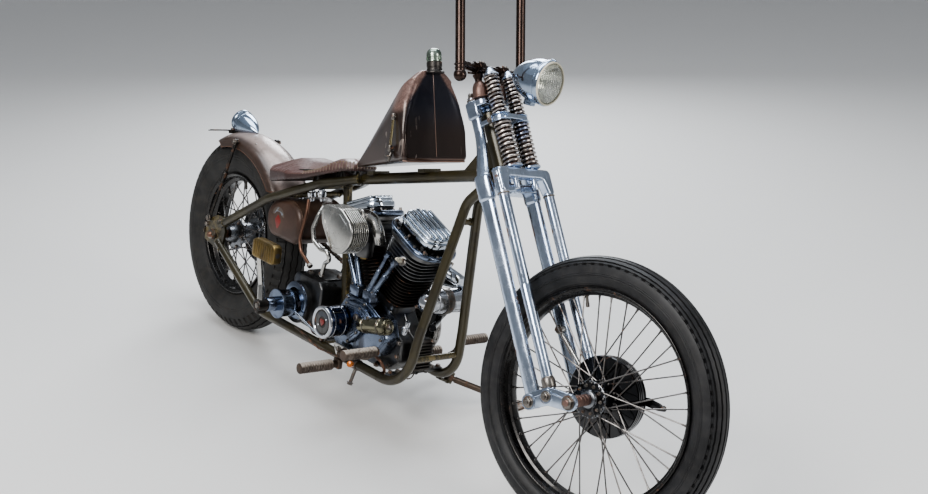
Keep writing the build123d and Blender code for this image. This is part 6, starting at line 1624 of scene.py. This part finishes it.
def build_seat():
    m = Mesh()
    outline = resample(seat_round, 150)
    inward = [(p[0] - q[0], p[1] - q[1]) for p, q in zip(inset(outline, 1.0), outline)]
    rings = []
    for d, f, level in ((22, 0.02, "under"), (22, 0.5, "under"), (16, 1, "under"), (13, 1, "in0"), (13, 1, "in1"), (11, 1, "low1"), (6.5, 1, "low0"), (2.4, 1, "low1"), (0.6, 1, "low2"), (0.2, 1, "mid"),
                        (0.6, 1, "e0"), (2.4, 1, "e1"), (6.5, 1, "e2"), (13, 1, "e3"), (22, 1, "e4"), (22, 0.8, "e4"), (22, 0.6, "e4"), (22, 0.4, "e4"), (22, 0.2, "e4"), (22, 0.02, "e4")):
        row = []
        for (x, y), (ix, iy) in zip(outline, inward):
            px, py = x + ix * d, y + iy * d
            px, py = -20 + (px + 20) * f, py * f
            zb, dr = hang(px), droop(px, py)
            z = {"under": 1.5 - dr * 0.9, "in0": 0.5 - dr, "in1": zb + 6, "low1": zb + 1.6, "low0": zb, "low2": zb + 6, "mid": (zb + 14 - dr) / 2, "e0": 8 - dr, "e1": 13.5 - dr, "e2": 17.5 - dr, "e3": 19.5 - dr, "e4": 20.0 - dr}[level]
            row.append((px, py, z))
        rings.append(row)
    m.rings(rings, cap0=True, cap1=True)
    me = bpy.data.meshes.new("seat_cushion")
    me.from_pydata([tuple(c * 0.001 for c in SEAT @ p) for p in m.v], [], m.f)
    me.materials.append(leather_mat)
    o = bpy.data.objects.new("seat_cushion", me)
    bpy.context.scene.collection.objects.link(o)
    bpy.context.view_layer.objects.active = o
    rm = o.modifiers.new("rm", "REMESH")
    rm.mode, rm.voxel_size = "VOXEL", 0.0052
    dg = bpy.context.evaluated_depsgraph_get()
    flat = bpy.data.meshes.new_from_object(o.evaluated_get(dg))
    o.modifiers.clear()
    o.data = flat
    rest = np.array([v.co for v in flat.vertices])
    inv = np.array((T(0, 0, 0) @ Matrix.Scale(0.001, 4) @ SEAT @ Matrix.Scale(1000.0, 4)).inverted())
    loc = rest @ inv[:3, :3].T + inv[:3, 3]
    pins = o.vertex_groups.new(name="pin")
    for i, p in enumerate(loc):
        if p[2] < 0.0035 - 0.001 * droop(p[0] * 1000, p[1] * 1000):
            pins.add([i], 1.0, "REPLACE")
    c = o.modifiers.new("cloth", "CLOTH")
    s = c.settings
    s.quality, s.mass, s.tension_stiffness, s.compression_stiffness, s.bending_stiffness = 5, 0.4, 22, 22, 0.8
    s.use_pressure, s.uniform_pressure_force = True, 4.5
    s.vertex_group_mass = "pin"
    s.effector_weights.gravity = 0
    c.point_cache.frame_start, c.point_cache.frame_end = 1, 20
    for f in range(1, 21):
        bpy.context.scene.frame_set(f)
    dg = bpy.context.evaluated_depsgraph_get()
    got = bpy.data.meshes.new_from_object(o.evaluated_get(dg))
    new = np.array([v.co for v in got.vertices])
    bpy.context.scene.frame_set(1)
    o.modifiers.clear()
    o.vertex_groups.clear()
    move = new - rest
    ln = np.linalg.norm(move, axis=1)
    cap = np.minimum(1.0, 0.013 / np.maximum(ln, 1e-9))
    new = rest + move * cap[:, None]
    # sat-in hollow, a raised tail, and never through the pan
    loc = new @ inv[:3, :3].T + inv[:3, 3]
    u, v = loc[:, 0], loc[:, 1]
    drop = np.array([droop(a * 1000, b * 1000) * 0.001 for a, b in zip(u, v)])
    top = np.clip((loc[:, 2] + drop - 0.004) / 0.012, 0, 1)
    hollow = 0.0125 * np.exp(-((u - 0.015) / 0.070) ** 2 - (v / 0.16) ** 2)
    ridge = 0.0085 * np.exp(-((u - 0.125) / 0.050) ** 2) + 0.0030 * np.exp(-((v) / 0.020) ** 2) * np.clip((u - 0.02) / 0.08, 0, 1)
    tail = 0.0075 * np.exp(-((u + 0.105) / 0.050) ** 2 - (v / 0.075) ** 2)
    # radial folds towards the lacing
    ang = np.arctan2(v, u)
    edge = np.clip((np.hypot(u / 0.19, v / 0.12) - 0.55) / 0.4, 0, 1)
    fold = 0.0009 * edge * (np.sin(ang * 37 + 1.3) + 0.6 * np.sin(ang * 61 + 4.0) + 0.5 * np.sin(ang * 23 + 2.0))
    loc[:, 2] += top * (ridge + tail - hollow + fold)
    loc[:, 2] = np.clip(loc[:, 2], -0.0475, 0.0335)
    fwd = np.array(T(0, 0, 0) @ Matrix.Scale(0.001, 4) @ SEAT @ Matrix.Scale(1000.0, 4))
    new = loc @ fwd[:3, :3].T + fwd[:3, 3]
    o.data.vertices.foreach_set("co", new.ravel())
    o.data.update()
    sub = o.modifiers.new("sub", "SUBSURF")
    sub.levels = sub.render_levels = 1
    dg = bpy.context.evaluated_depsgraph_get()
    fine = bpy.data.meshes.new_from_object(o.evaluated_get(dg))
    o.modifiers.clear()
    o.data = fine
    o.data.materials.clear()
    o.data.materials.append(leather_mat)
    for p in o.data.polygons:
        p.use_smooth = True
    bvh_mesh = bmesh.new()
    bvh_mesh.from_mesh(o.data)
    o.data.transform(BIKE)
    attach(o, "chassis")
    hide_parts("seat")
    tree = BVHTree.FromBMesh(bvh_mesh)
    bvh_mesh.free()
    return tree


seat_bvh = build_seat()


def on_seat(p, d):
    """Where a ray in the seat's own axes (mm) meets the cushion, in bike mm."""
    P_, D_ = SEAT @ Vector(p), (SEAT.to_3x3() @ Vector(d)).normalized()
    hit = seat_bvh.ray_cast(P_ * 0.001, D_, 0.2)
    return hit[0] * 1000 if hit[0] is not None else None


m = Mesh()
line = resample(seat_round, 92)
cen = Vector((-20, 0, 0))
prev = None
for k, (x, y) in enumerate(line):
    p = Vector((x, y, 0))
    i = (cen - p).normalized()
    t = (Vector((*line[(k + 1) % 92], 0)) - p).normalized()
    dr = droop(x, y)
    a = on_seat(p + i * 16 + Vector((0, 0, 60)), (0, 0, -1))
    b = on_seat(p + i * 7 + t * 4.5 + Vector((0, 0, 60)), (0, 0, -1))
    c = on_seat(p - i * 30 + t * 7.0 + Vector((0, 0, 8 - dr)), i)
    e = on_seat(p - i * 30 + t * 7.6 + Vector((0, 0, 2 - dr)), i)
    pts = [q for q in (a, b, c, e) if q is not None]
    # only the front half is laced
    if x > 10 and len(pts) >= 3:
        up = SEAT.to_3x3() @ Vector((0, 0, 1))
        out_ = SEAT.to_3x3() @ (-i)
        lift = [up * 0.2, up * 1.4 + out_ * 0.5, out_ * 1.4, out_ * 0.6]
        m.tube(fillet([q + l for q, l in zip(pts, lift)], 5, 25), 1.7, 6, flat=0.62)
        m.mat = 1
        m.ring(pts[0] + up * 0.5, up, 2.6, 0.7, 12, 5)
        m.mat = 0
piece("seat_lacing", m, BIKE, "chassis", [thong_mat, brass])


# ================================================================ rear fender, lamp and plate bracket
def fender_section(d=0.0):
    """Outer skin from the right edge over the crown to the left edge: (radius, lateral)."""
    side = [(296.6, -75.4), (304, -75.2), (312, -74.6), (318.5, -72.8), (323.5, -68.6), (327.6, -62.4), (330.6, -56.4)]
    crown = arc3((332.2, -52), (349.9, 0), (332.2, 52), 22)
    return side + crown + [(r, -y) for r, y in reversed(side)]


def shell_inner(sec, thick):
    n, out = len(sec), []
    for i, (r, y) in enumerate(sec):
        a, b = sec[max(i - 1, 0)], sec[min(i + 1, n - 1)]
        t = Vector((b[0] - a[0], b[1] - a[1])).normalized()
        nrm = Vector((t.y, -t.x))
        c = Vector((312, 0))
        if (Vector((r, y)) - c).dot(nrm) < 0:
            nrm = -nrm
        out.append((r - nrm.x * thick, y - nrm.y * thick))
    return out


m = Mesh()
sec = fender_section()
inn = shell_inner(sec, 2.4)
loop = sec + inn[::-1]
steps = 84
rings = []
for i in range(steps + 1):
    row = []
    for r, y in loop:
        # the tail is trimmed to an ellipse, the skirts stop a little short in front
        drop = 100.0 - 98.0 * math.sqrt(max(0.0, 1 - (min(abs(y), 78.0) / 79.0) ** 2))
        lo = math.degrees(math.asin(drop / r)) + 0.1
        hi = 83.85 - 5.0 * max(0.0, (335 - r) / 40) ** 1.6
        ph = math.radians(lo + (hi - lo) * i / steps)
        row.append((r * cos(ph), y, -r * sin(ph)))
    rings.append(row)
m.rings(rings, closed=True, cap0=True, cap1=True)
# rolled beads along the skirts and both ends
n_sec = len(sec)
for j, dy in ((0, 1), (n_sec - 1, -1)):
    m.tube([Vector(rings[i][j]) + Vector((0, dy * 1.0, 0)) + Vector((rings[i][j][0], 0, rings[i][j][2])).normalized() * 1.0 for i in range(0, steps + 1, 2)], 1.9, 8)
for i in (0, steps):
    s_ = 1 if i == 0 else -1
    m.tube([Vector(rings[i][j]) - Vector((rings[i][j][0], 0, rings[i][j][2])).normalized() * 1.4 + Vector((0, -1.2 if rings[i][j][1] > 0 else 1.2, 0)) * min(1, abs(rings[i][j][1]) / 60) for j in range(n_sec)], 1.9, 8)
m.mat = 1
for j in (9, n_sec - 10):
    for i in (10, 44, 76):
        p = Vector(rings[i][j])
        m.lathe([(0, -0.4), (5, -0.4), (4.2, 1.0), (2.4, 1.6), (0, 1.7)], at(p - Vector((p.x, 0, p.z)).normalized() * 0.8, (p.x, p.y * 0.6, p.z)), 14)
piece("rear_fender_shell", m, FENDER, "chassis", [fender_mat, bolt_steel], ["rear_fender"], 40)

m = Mesh()
for s in (-1, 1):
    a, b = Vector((8, s * 80.0, 655)), Vector((-30, s * 127.5, 385))
    d = (b - a).normalized()
    L = (b - a).length
    m.tube([a, a + d * 26, a + d * (L * 0.40)], 5.6, 14)
    m.tube([a + d * (L * 0.40), a + d * (L * 0.52)], 4.0, 12)
    m.tube([a + d * (L * 0.52), b - d * 20, b], 5.6, 14)
    # short coil let into the strut
    n_ = 7 * 18
    F_ = at(a, d)
    m.tube([F_ @ Vector((8.4 * cos(2 * pi * i / 18), 8.4 * sin(2 * pi * i / 18), L * 0.405 + i / n_ * L * 0.11)) for i in range(n_ + 1)], 2.3, 8, up=d)
    for t in (0.40, 0.52):
        m.lathe([(0, -3), (9, -3), (10, -2), (10, 2), (9, 3), (0, 3)], at(a + d * L * t, d), 20)
    m.mat = 1
    m.hexn(at((-30, s * 132.0, 386), (0, s, 0)), 9.5, 6)
    m.mat = 0
    m.lathe([(0, 72.6), (9.4, 72.6), (10, 73.4), (10, 84.6), (9.2, 85.4), (0, 85.4)], at((8, 0, 656), (0, s, 0)), 28)
    m.lathe([(0, 124.6), (9.4, 124.6), (10, 125.4), (10, 131.6), (9.2, 132.4), (0, 132.4)], at((-30, 0, 386), (0, s, 0)), 28)
    m.mat = 1
    m.hexn(at((8, s * 85.2, 656), (0, s, 0)), 8, 6)
    for x, z in ((50, 314), (-46, 360), (44, 392)):
        m.hexn(at((x, s * 125.2, z), (0, s, 0)), 7.5, 6)
    m.mat = 0
    # chain adjuster behind the axle
    m.tube([(-60, s * 121, 335), (-20, s * 121, 335)], 4.2, 10)
    m.mat = 1
    m.hexn(at((-58, s * 121, 335), (-1, 0, 0)), 8.5, 7)
    m.mat = 0
piece("fender_strut_rods", m, BIKE, "chassis", [dark_steel, bolt_steel])

m = Mesh()
TL = at((0, 0, 0), (1, 0, 0), (0, 1, 0))
m.lathe([(37.6, -7.6), (39.2, -7.6), (40, -6.6), (40, -1), (39.4, 0.4), (40, 1.8), (40, 4.6), (38.6, 6.2)] + [(q[1], q[0]) for q in arc3((7, 37.9), (60, 29), (109.8, 0.3), 26)] + [(0, 109.9)], TL, 72)
m.lathe([(35.6, -8.2), (38.0, -8.2), (39.2, -7), (38.4, -5), (35.6, -5)], TL, 72, closed=True)
m.ring((22, 0, 0), (1, 0, 0), 37.2, 1.1, 72, 6)
m.mat = 1
m.lathe([(0, 0.2), (36, 0.2), (36, 1.4), (0, 1.4)], TL, 40)
# the bullet sits in a cut-out of the crest
seat_on = Matrix.Translation((-97, 0, 708)) @ R(10.4, "Y")
back_off = seat_on.inverted()
for i, p in enumerate(m.v):
    q = seat_on @ p
    v = Vector((q.x, 0, q.z - 335))
    lim = 349.4 - 18.0 * min(abs(q.y) / 52.0, 1.4) ** 2
    if v.length < lim:
        v = v.normalized() * lim
        m.v[i] = back_off @ Vector((v.x, q.y, v.z + 335))
m.box((22, 30, 5), back_off @ Matrix.Translation((-60, 0, 681)) @ R(-10, "Y"), 1.5)
piece("tail_light_dome", m, TAIL, "chassis", [lamp_chrome, dark_steel], ["tail_light"])
m = Mesh()
m.lathe([(0, -0.6), (35.8, -0.6), (36, -1.2), (35.8, -4.5), (33, -6.2), (30, -6.8), (29.2, -6.0), (26, -6.6), (25, -7.4), (22, -7.6), (21.2, -6.8), (17, -7.4), (16, -8), (12, -8.1), (11, -7.4), (6, -8.0), (4, -8.3), (0, -8.3)], TL, 64)
piece("tail_light_lens_ringed", m, TAIL, "chassis", red_glass, ["tail_light_lens"])

m = Mesh()
plate_with_holes(m, rect(84, 150, 9, 10), [circle(-24, s * 60, 3.5, 20) for s in (-1, 1)], 0, 3, Matrix.Identity(4))
m.tube([(-36, -66, 3.4), (-38, 0, 3.6), (-36, 66, 3.4)], 2.0, 8)
m.box((16, 60, 9.8), Matrix.Translation((34, 0, -5)), 1.5)
m.mat = 1
for y in (-18, 18):
    m.hexn(at((34, y, 3), (0, 0, 1)), 6, 4.6)
piece("plate_bracket_pressed", m, PLATE, "chassis", [dark_steel, bolt_steel], ["plate_bracket"])


# ================================================================ pegs, pedals, chain, primary cover
def ribbed(m, y0, y1, r, n):
    """A grip along Y with turned grooves and rounded ends."""
    pts = [(0, y0), (r - 3, y0), (r - 0.6, y0 + 1.2), (r, y0 + 3.5)]
    step = (y1 - y0 - 12) / n
    for k in range(n):
        y = y0 + 6 + step * k
        pts += [(r, y), (r - 2.2, y + step * 0.22), (r - 2.2, y + step * 0.42), (r, y + step * 0.64)]
    return pts + [(r, y1 - 3.5), (r - 0.6, y1 - 1.2), (r - 3, y1), (0, y1)]


m = Mesh()
for s in (-1, 1):
    Q = at((790, 0, 150), (0, s, 0), (1, 0, 0))
    m.mat = 0
    m.lathe(ribbed(m, 150.5, 262, 16, 11), Q, 32)
    m.mat = 1
    m.lathe([(0, 124), (10.8, 124), (11, 125), (11, 150), (13.6, 150.4), (13.6, 152), (0, 152)], Q, 28)
    m.lathe([(0, 261), (8, 261), (9, 262.2), (7.4, 263.6), (0, 263.9)], Q, 20)
    m.box((30, 16, 30), Matrix.Translation((790, s * 128, 151)), 4)
    m.hexn(at((790, s * 128, 166), (0, 0, 1)), 7, 5)
piece("foot_pegs_ribbed", m, BIKE, "chassis", [peg_rubber, rusty_steel], ["foot_pegs"])

m = Mesh()
for s, y0 in ((-1, 144.5), (1, 166.5)):
    Q = at((985, 0, 256), (0, s, 0), (1, 0, 0))
    m.mat = 0
    m.lathe(ribbed(m, y0 + 6, 261.6, 15, 9), Q, 32)
    m.mat = 1
    m.lathe([(0, y0), (12, y0), (13, y0 + 1), (13, y0 + 6), (0, y0 + 6.4)], Q, 24)
m.tube(fillet([(985, -150, 256), (925, -132, 214), (812, -132, 190)], 40, 8), 7, 16)
m.lathe([(0, 117.2), (12, 117.2), (13, 118.2), (13, 139.8), (12, 140.8), (0, 140.8)], at((812, 0, 190), (0, -1, 0)), 28)
m.hexn(at((812, -140.6, 190), (0, -1, 0)), 8, 6)
m.tube(fillet([(985, 168, 256), (960, 168, 214), (930, 168, 190)], 20, 10), 7, 16)
m.ball((930, 168, 190), 9, 16)
# brake rod with its clevis, running back under the case
m.tube([(836, -146, 184), (700, -138, 168.0), (560, -134, 190)], 3.4, 10)
m.mat = 2
m.cyl((940, -192, 208), (950, -208, 214), 9, 24, 3)
m.mat = 3
m.prism(fil2([(742, 204), (818, 206), (826, 196), (786, 170), (766, 170)], 8, 16), 118, 121.5, W, 1.2, 2)
m.mat = 4
m.hexn(at((776, -121.5, 190), (0, -1, 0)), 7, 5)
m.hexn(at((806, -121.5, 197), (0, -1, 0)), 6, 5)
# clamp and bolt under the right rail
m.lathe([(14.2, -8), (16.2, -8), (16.6, -7), (16.6, 7), (16.2, 8), (14.2, 8)], at((846, -99, 163), (1, 0, 0)), 32, closed=True)
m.cyl((846, -104, 149), (846, -116, 112), 5.2, 14)
m.hexn(at((846, -116.6, 111), (0, -0.3, -1)), 8, 6)
m.mat = 1
m.tube(fillet([(1010, -50, 190), (1040, -70, 186), (1062, -72, 196), (1052, -56, 208), (1020, -48, 204)], 9, 20), 1.7, 8)
piece("foot_controls_rods", m, BIKE, "chassis", [peg_rubber, rusty_steel, amber, polished, bolt_steel], ["foot_controls"])

# chain along its loop
c1, r1, c2, r2 = (0.0, 335.0), SPR + 2.6, (512.0, 272.0), 62.6
dx, dz = c2[0] - c1[0], c2[1] - c1[1]
spanc = math.hypot(dx, dz)
base, op = math.atan2(dz, dx), math.acos((r1 - r2) / spanc)
loop = []
a0, a1 = base + op, base - op + 2 * pi
for i in range(161):
    a = a0 + (a1 - a0) * i / 160
    loop.append((c1[0] + r1 * cos(a), c1[1] + r1 * sin(a)))
for i in range(61):
    a = base - op + 2 * op * i / 60
    loop.append((c2[0] + r2 * cos(a), c2[1] + r2 * sin(a)))
total = sum(math.dist(loop[i], loop[(i + 1) % len(loop)]) for i in range(len(loop)))
count = 2 * round(total / 15.875 / 2)
pins = resample(loop, count)
m = Mesh()
for i in range(count):
    p, q = pins[i], pins[(i + 1) % count]
    a = math.atan2(q[1] - p[1], q[0] - p[0])
    L = math.dist(p, q)
    F = LEFT @ Matrix.Translation((p[0], p[1], 0)) @ Matrix.Rotation(a, 4, "Z")
    outer_link = i % 2 == 0
    poly = []
    for k in range(7):
        t = pi / 2 + pi * k / 6
        poly.append((5.4 * cos(t), 5.4 * sin(t)))
    poly.append((L / 2, -3.9))
    for k in range(7):
        t = -pi / 2 + pi * k / 6
        poly.append((L + 5.4 * cos(t), 5.4 * sin(t)))
    poly.append((L / 2, 3.9))
    z = 5.6 if outer_link else 3.9
    for s in (-1, 1):
        m.prism(poly, s * z - 0.75 - 96, s * z + 0.75 - 96, F)
    m.lathe([(0, -6.6 - 96 + 0.7), (2.4, -5.9 - 96), (2.4, 5.9 - 96), (0, 6.0 - 96)], F, 8)
    m.lathe([(0, -3.2 - 96), (4.6, -3.2 - 96), (4.6, 3.2 - 96), (0, 3.2 - 96)], F, 12)
piece("roller_chain", m, BIKE, "chassis", bolt_steel, ["drive_chain"])

m = Mesh()


def stadium(c1, r1, c2, r2, d=0.0, n=40):
    dx, dz = c2[0] - c1[0], c2[1] - c1[1]
    s = math.hypot(dx, dz)
    b, o = math.atan2(dz, dx), math.acos((r1 - r2) / s)
    out = [(c1[0] + (r1 - d) * cos(b + o + (2 * pi - 2 * o) * i / n), c1[1] + (r1 - d) * sin(b + o + (2 * pi - 2 * o) * i / n)) for i in range(n + 1)]
    return out + [(c2[0] + (r2 - d) * cos(b - o + 2 * o * i / n), c2[1] + (r2 - d) * sin(b - o + 2 * o * i / n)) for i in range(n + 1)]


PC = (512.0, 272.0), 112.0, (820.0, 258.0), 88.0
P0 = RIGHT(0, 0, 0)
m.prism(stadium(*PC), -136, -124.2, P0, 2.5, 3)
m.prism(stadium(*PC, d=5), -161, -135.5, P0, 11, 6)
m.lathe([(0, -163.8), (46, -163.8), (50, -162.4), (52, -160), (52, -158), (0, -158)], P0 @ Matrix.Translation((520, 272, 0)), 56)
m.lathe([(0, -163.4), (24, -163.4), (27, -161.6), (27, -159), (0, -159)], P0 @ Matrix.Translation((820, 258, 0)), 48)
for k in range(4):
    m.tube([P0 @ Vector((600 + k * 6, 262 + (k - 1.5) * 26, -161.2)), P0 @ Vector((760 - k * 4, 256 + (k - 1.5) * 22, -161.2))], 2.6, 8)
m.mat = 1
edge = stadium(*PC, d=7)
for x, z in resample(edge, 12):
    m.cap_screw(P0 @ Matrix.Translation((x, z, -139.5)) @ R(180, "X"), 4.4, 4.5)
for k in range(5):
    a = 2 * pi * k / 5
    m.cap_screw(P0 @ Matrix.Translation((520 + 42 * cos(a), 272 + 42 * sin(a), -160.6)) @ R(180, "X"), 3.6, 3.2)
piece("primary_cover_pressed", m, BIKE, "chassis", [primary_mat, bolt_steel], ["primary_cover"])

# rear axle: spacers, washers, castle nuts
m = Mesh()
Q = at((0, 0, 335), YAX, (1, 0, 0))
m.lathe([(0, -145.8), (7.5, -145.6), (9.5, -144)] + [(9.5 - 0.6 * (k % 2), -143.6 + 0.9 * k) for k in range(20)] + [(9.5, -125.4), (9.5, 125.4)] + [(9.5 - 0.6 * (k % 2), 126 + 0.9 * k) for k in range(20)] + [(9.5, 144), (7.5, 145.6), (0, 145.8)], Q, 28)
for a, b in ((-116.5, -72.2), (100.2, 116.5)):
    m.lathe([(9.6, a), (14, a), (15, a + 1), (15, b - 1), (14, b), (9.6, b)], Q, 36, closed=True)
m.mat = 1
for s in (-1, 1):
    F = at((0, s * 125.4, 335), (0, s, 0), (1, 0, 0))
    m.lathe([(9.6, 0), (17, 0), (17.8, 0.8), (17.8, 2.4), (9.6, 2.4)], F, 36, closed=True)
    m.hexn(F @ Matrix.Translation((0, 0, 2.4)), 17, 9.8, False, 1.2)
piece("rear_axle_nuts", m, BIKE, "chassis", [copper, bolt_steel], ["rear_axle"])

# weld beads on the frame
m = Mesh()


def bead(c, z, r, w=2.0, n=30):
    c, F = Vector(c), at(c, z)
    pts = [F @ Vector(((r + 0.5 * sin(i * 2.4)) * cos(2 * pi * i / n), (r + 0.5 * sin(i * 2.4)) * sin(2 * pi * i / n), 0.7 * sin(i * 1.7))) for i in range(n)]
    m.tube(pts, w, 6, closed=True)


for w in (622.5, 765.5):
    bead(O + AXIS * w, AXIS, 25.2, 1.8, 44)
bead((1190, 0, 802.2), (582, 0, 142), 18.2, 2.4)
for s in (-1, 1):
    for c, z, r in (((1206, s * 16.4, 792), (88, 0, 90), 14.6), ((1066, s * 78.5, 250), (0, 1, 0), 9.6), ((1112, s * 14.0, 655), (0, 1, 0), 9.6), ((330, s * 98.0, 166), (0, 1, 0), 10.6),
                    ((452, s * 84.0, 603), (0, 1, 0), 9.6), ((402, s * 84.0, 566), (0, 1, 0), 9.6), ((642, s * 92, 166), (0, 1, 0), 11.6), ((554, s * 52, 640), (0, 1, 0), 11.6),
                    ((638, s * 21, 667.5), (117, s * -61, 40), 14.6), ((62, s * 122, 300.5), (-288, s * 9, 155), 14.6), ((66, s * 122.6, 391.8), (254, s * -12, 152), 14.6)):
        bead(c, z, r)
bead((560, 0, 628), (86, 0, -470), 14.6)
bead((636, 0, 190), (86, 0, -470), 14.6)
piece("frame_weld_beads", m, BIKE, "chassis", frame_paint)

# side stand: return spring and a wire hook
m = Mesh()
m.tube(fillet([(905, 108, 160), (918, 120, 152), (950, 126, 150)], 8, 20), 2.2, 8)
m.coil((838, 104, 158), (67, 6, 2), 7.5, 1.7, 4.4, 15, 18, 8)
m.tube([(838, 104, 158), (822, 102, 160), (812, 99, 164)], 1.7, 8)
piece("side_stand_spring", m, BIKE, "chassis", bolt_steel)


# ================================================================ finishes of the kept frame nodes
def cad(names, mat):
    for n_ in names.split():
        o = frame["nodes"][n_]
        o.data.materials.clear()
        o.data.materials.append(mat)


cad("frame_backbone frame_downtubes frame_rails frame_stays frame_crossmembers", frame_paint)
cad("side_stand", rusty_steel)


# ================================================================ floor, light, camera
# a round pale floor that sweeps up into its own wall
prof = [(0.001, 0), (4, 0), (9, 0)] + [(9 + 5 * sin(a), 5 - 5 * cos(a)) for a in (pi / 2 * k_ / 14 for k_ in range(1, 15))] + [(14, 9)]
vs, fs, NS = [], [], 72
for i in range(NS):
    a = 2 * pi * i / NS
    vs += [(r * cos(a), r * sin(a), h) for r, h in prof]
for i in range(NS):
    for j in range(len(prof) - 1):
        a, b = i * len(prof) + j, ((i + 1) % NS) * len(prof) + j
        fs.append((a, b, b + 1, a + 1))
me = bpy.data.meshes.new("studio_floor")
me.from_pydata(vs, [], fs)
for p in me.polygons:
    p.use_smooth = True
floor = bpy.data.objects.new("studio_floor", me)
bpy.context.scene.collection.objects.link(floor)
k = Mat("floor_paper", (0.72, 0.71, 0.695), 0.0, 0.75)
k.tint(k.math("MULTIPLY", k.noise(1.3, 3, 0.5), 0.25), (0.68, 0.67, 0.655))
me.materials.append(k.done())


def area(name, loc, target, size, power, col):
    L = bpy.data.lights.new(name, "AREA")
    L.shape, L.size, L.size_y, L.energy, L.color = "RECTANGLE", size[0], size[1], power, col
    o = bpy.data.objects.new(name, L)
    bpy.context.scene.collection.objects.link(o)
    o.location = loc
    o.rotation_euler = (Vector(target) - Vector(loc)).to_track_quat("-Z", "Y").to_euler()
    return o


area("key", (1.2, -3.4, 3.6), (0.1, 0, 0.6), (2.2, 2.2), 160, (1.0, 0.98, 0.95))
area("top", (-0.6, 0.4, 4.2), (0, 0, 0.5), (3.2, 2.4), 110, (0.90, 0.95, 1.0))
area("back", (-2.8, 2.6, 2.4), (0, 0, 0.7), (1.6, 2.2), 90, (0.92, 0.96, 1.0))
area("side", (4.2, 1.6, 2.0), (0.4, 0, 0.7), (1.4, 2.4), 70, (1.0, 0.97, 0.93))
w = bpy.data.worlds.new("studio")
bpy.context.scene.world = w
w.use_nodes = True
bg = w.node_tree.nodes["Background"]
bg.inputs[0].default_value = (0.62, 0.66, 0.72, 1)
bg.inputs[1].default_value = 0.55

cam = bpy.data.cameras.new("photo_camera")
co = bpy.data.objects.new("photo_camera", cam)
bpy.context.scene.collection.objects.link(co)
f_, r_, u_ = Vector((-0.72872, 0.61002, -0.31120)), Vector((0.64405, 0.76493, -0.00871)), Vector((-0.23273, 0.20677, 0.95031))
Mx = Matrix((r_, u_, -f_)).transposed().to_4x4()
co.matrix_world = Matrix.Translation((2.5711, -1.9008, 1.6709)) @ Mx
cam.sensor_width, cam.lens, cam.shift_y = 36.0, 45.16, -0.0460
cam.clip_start, cam.clip_end = 0.05, 100
bpy.context.scene.camera = co
bpy.context.scene.view_settings.view_transform = "AgX"
bpy.context.scene.view_settings.look = "AgX - Medium High Contrast"
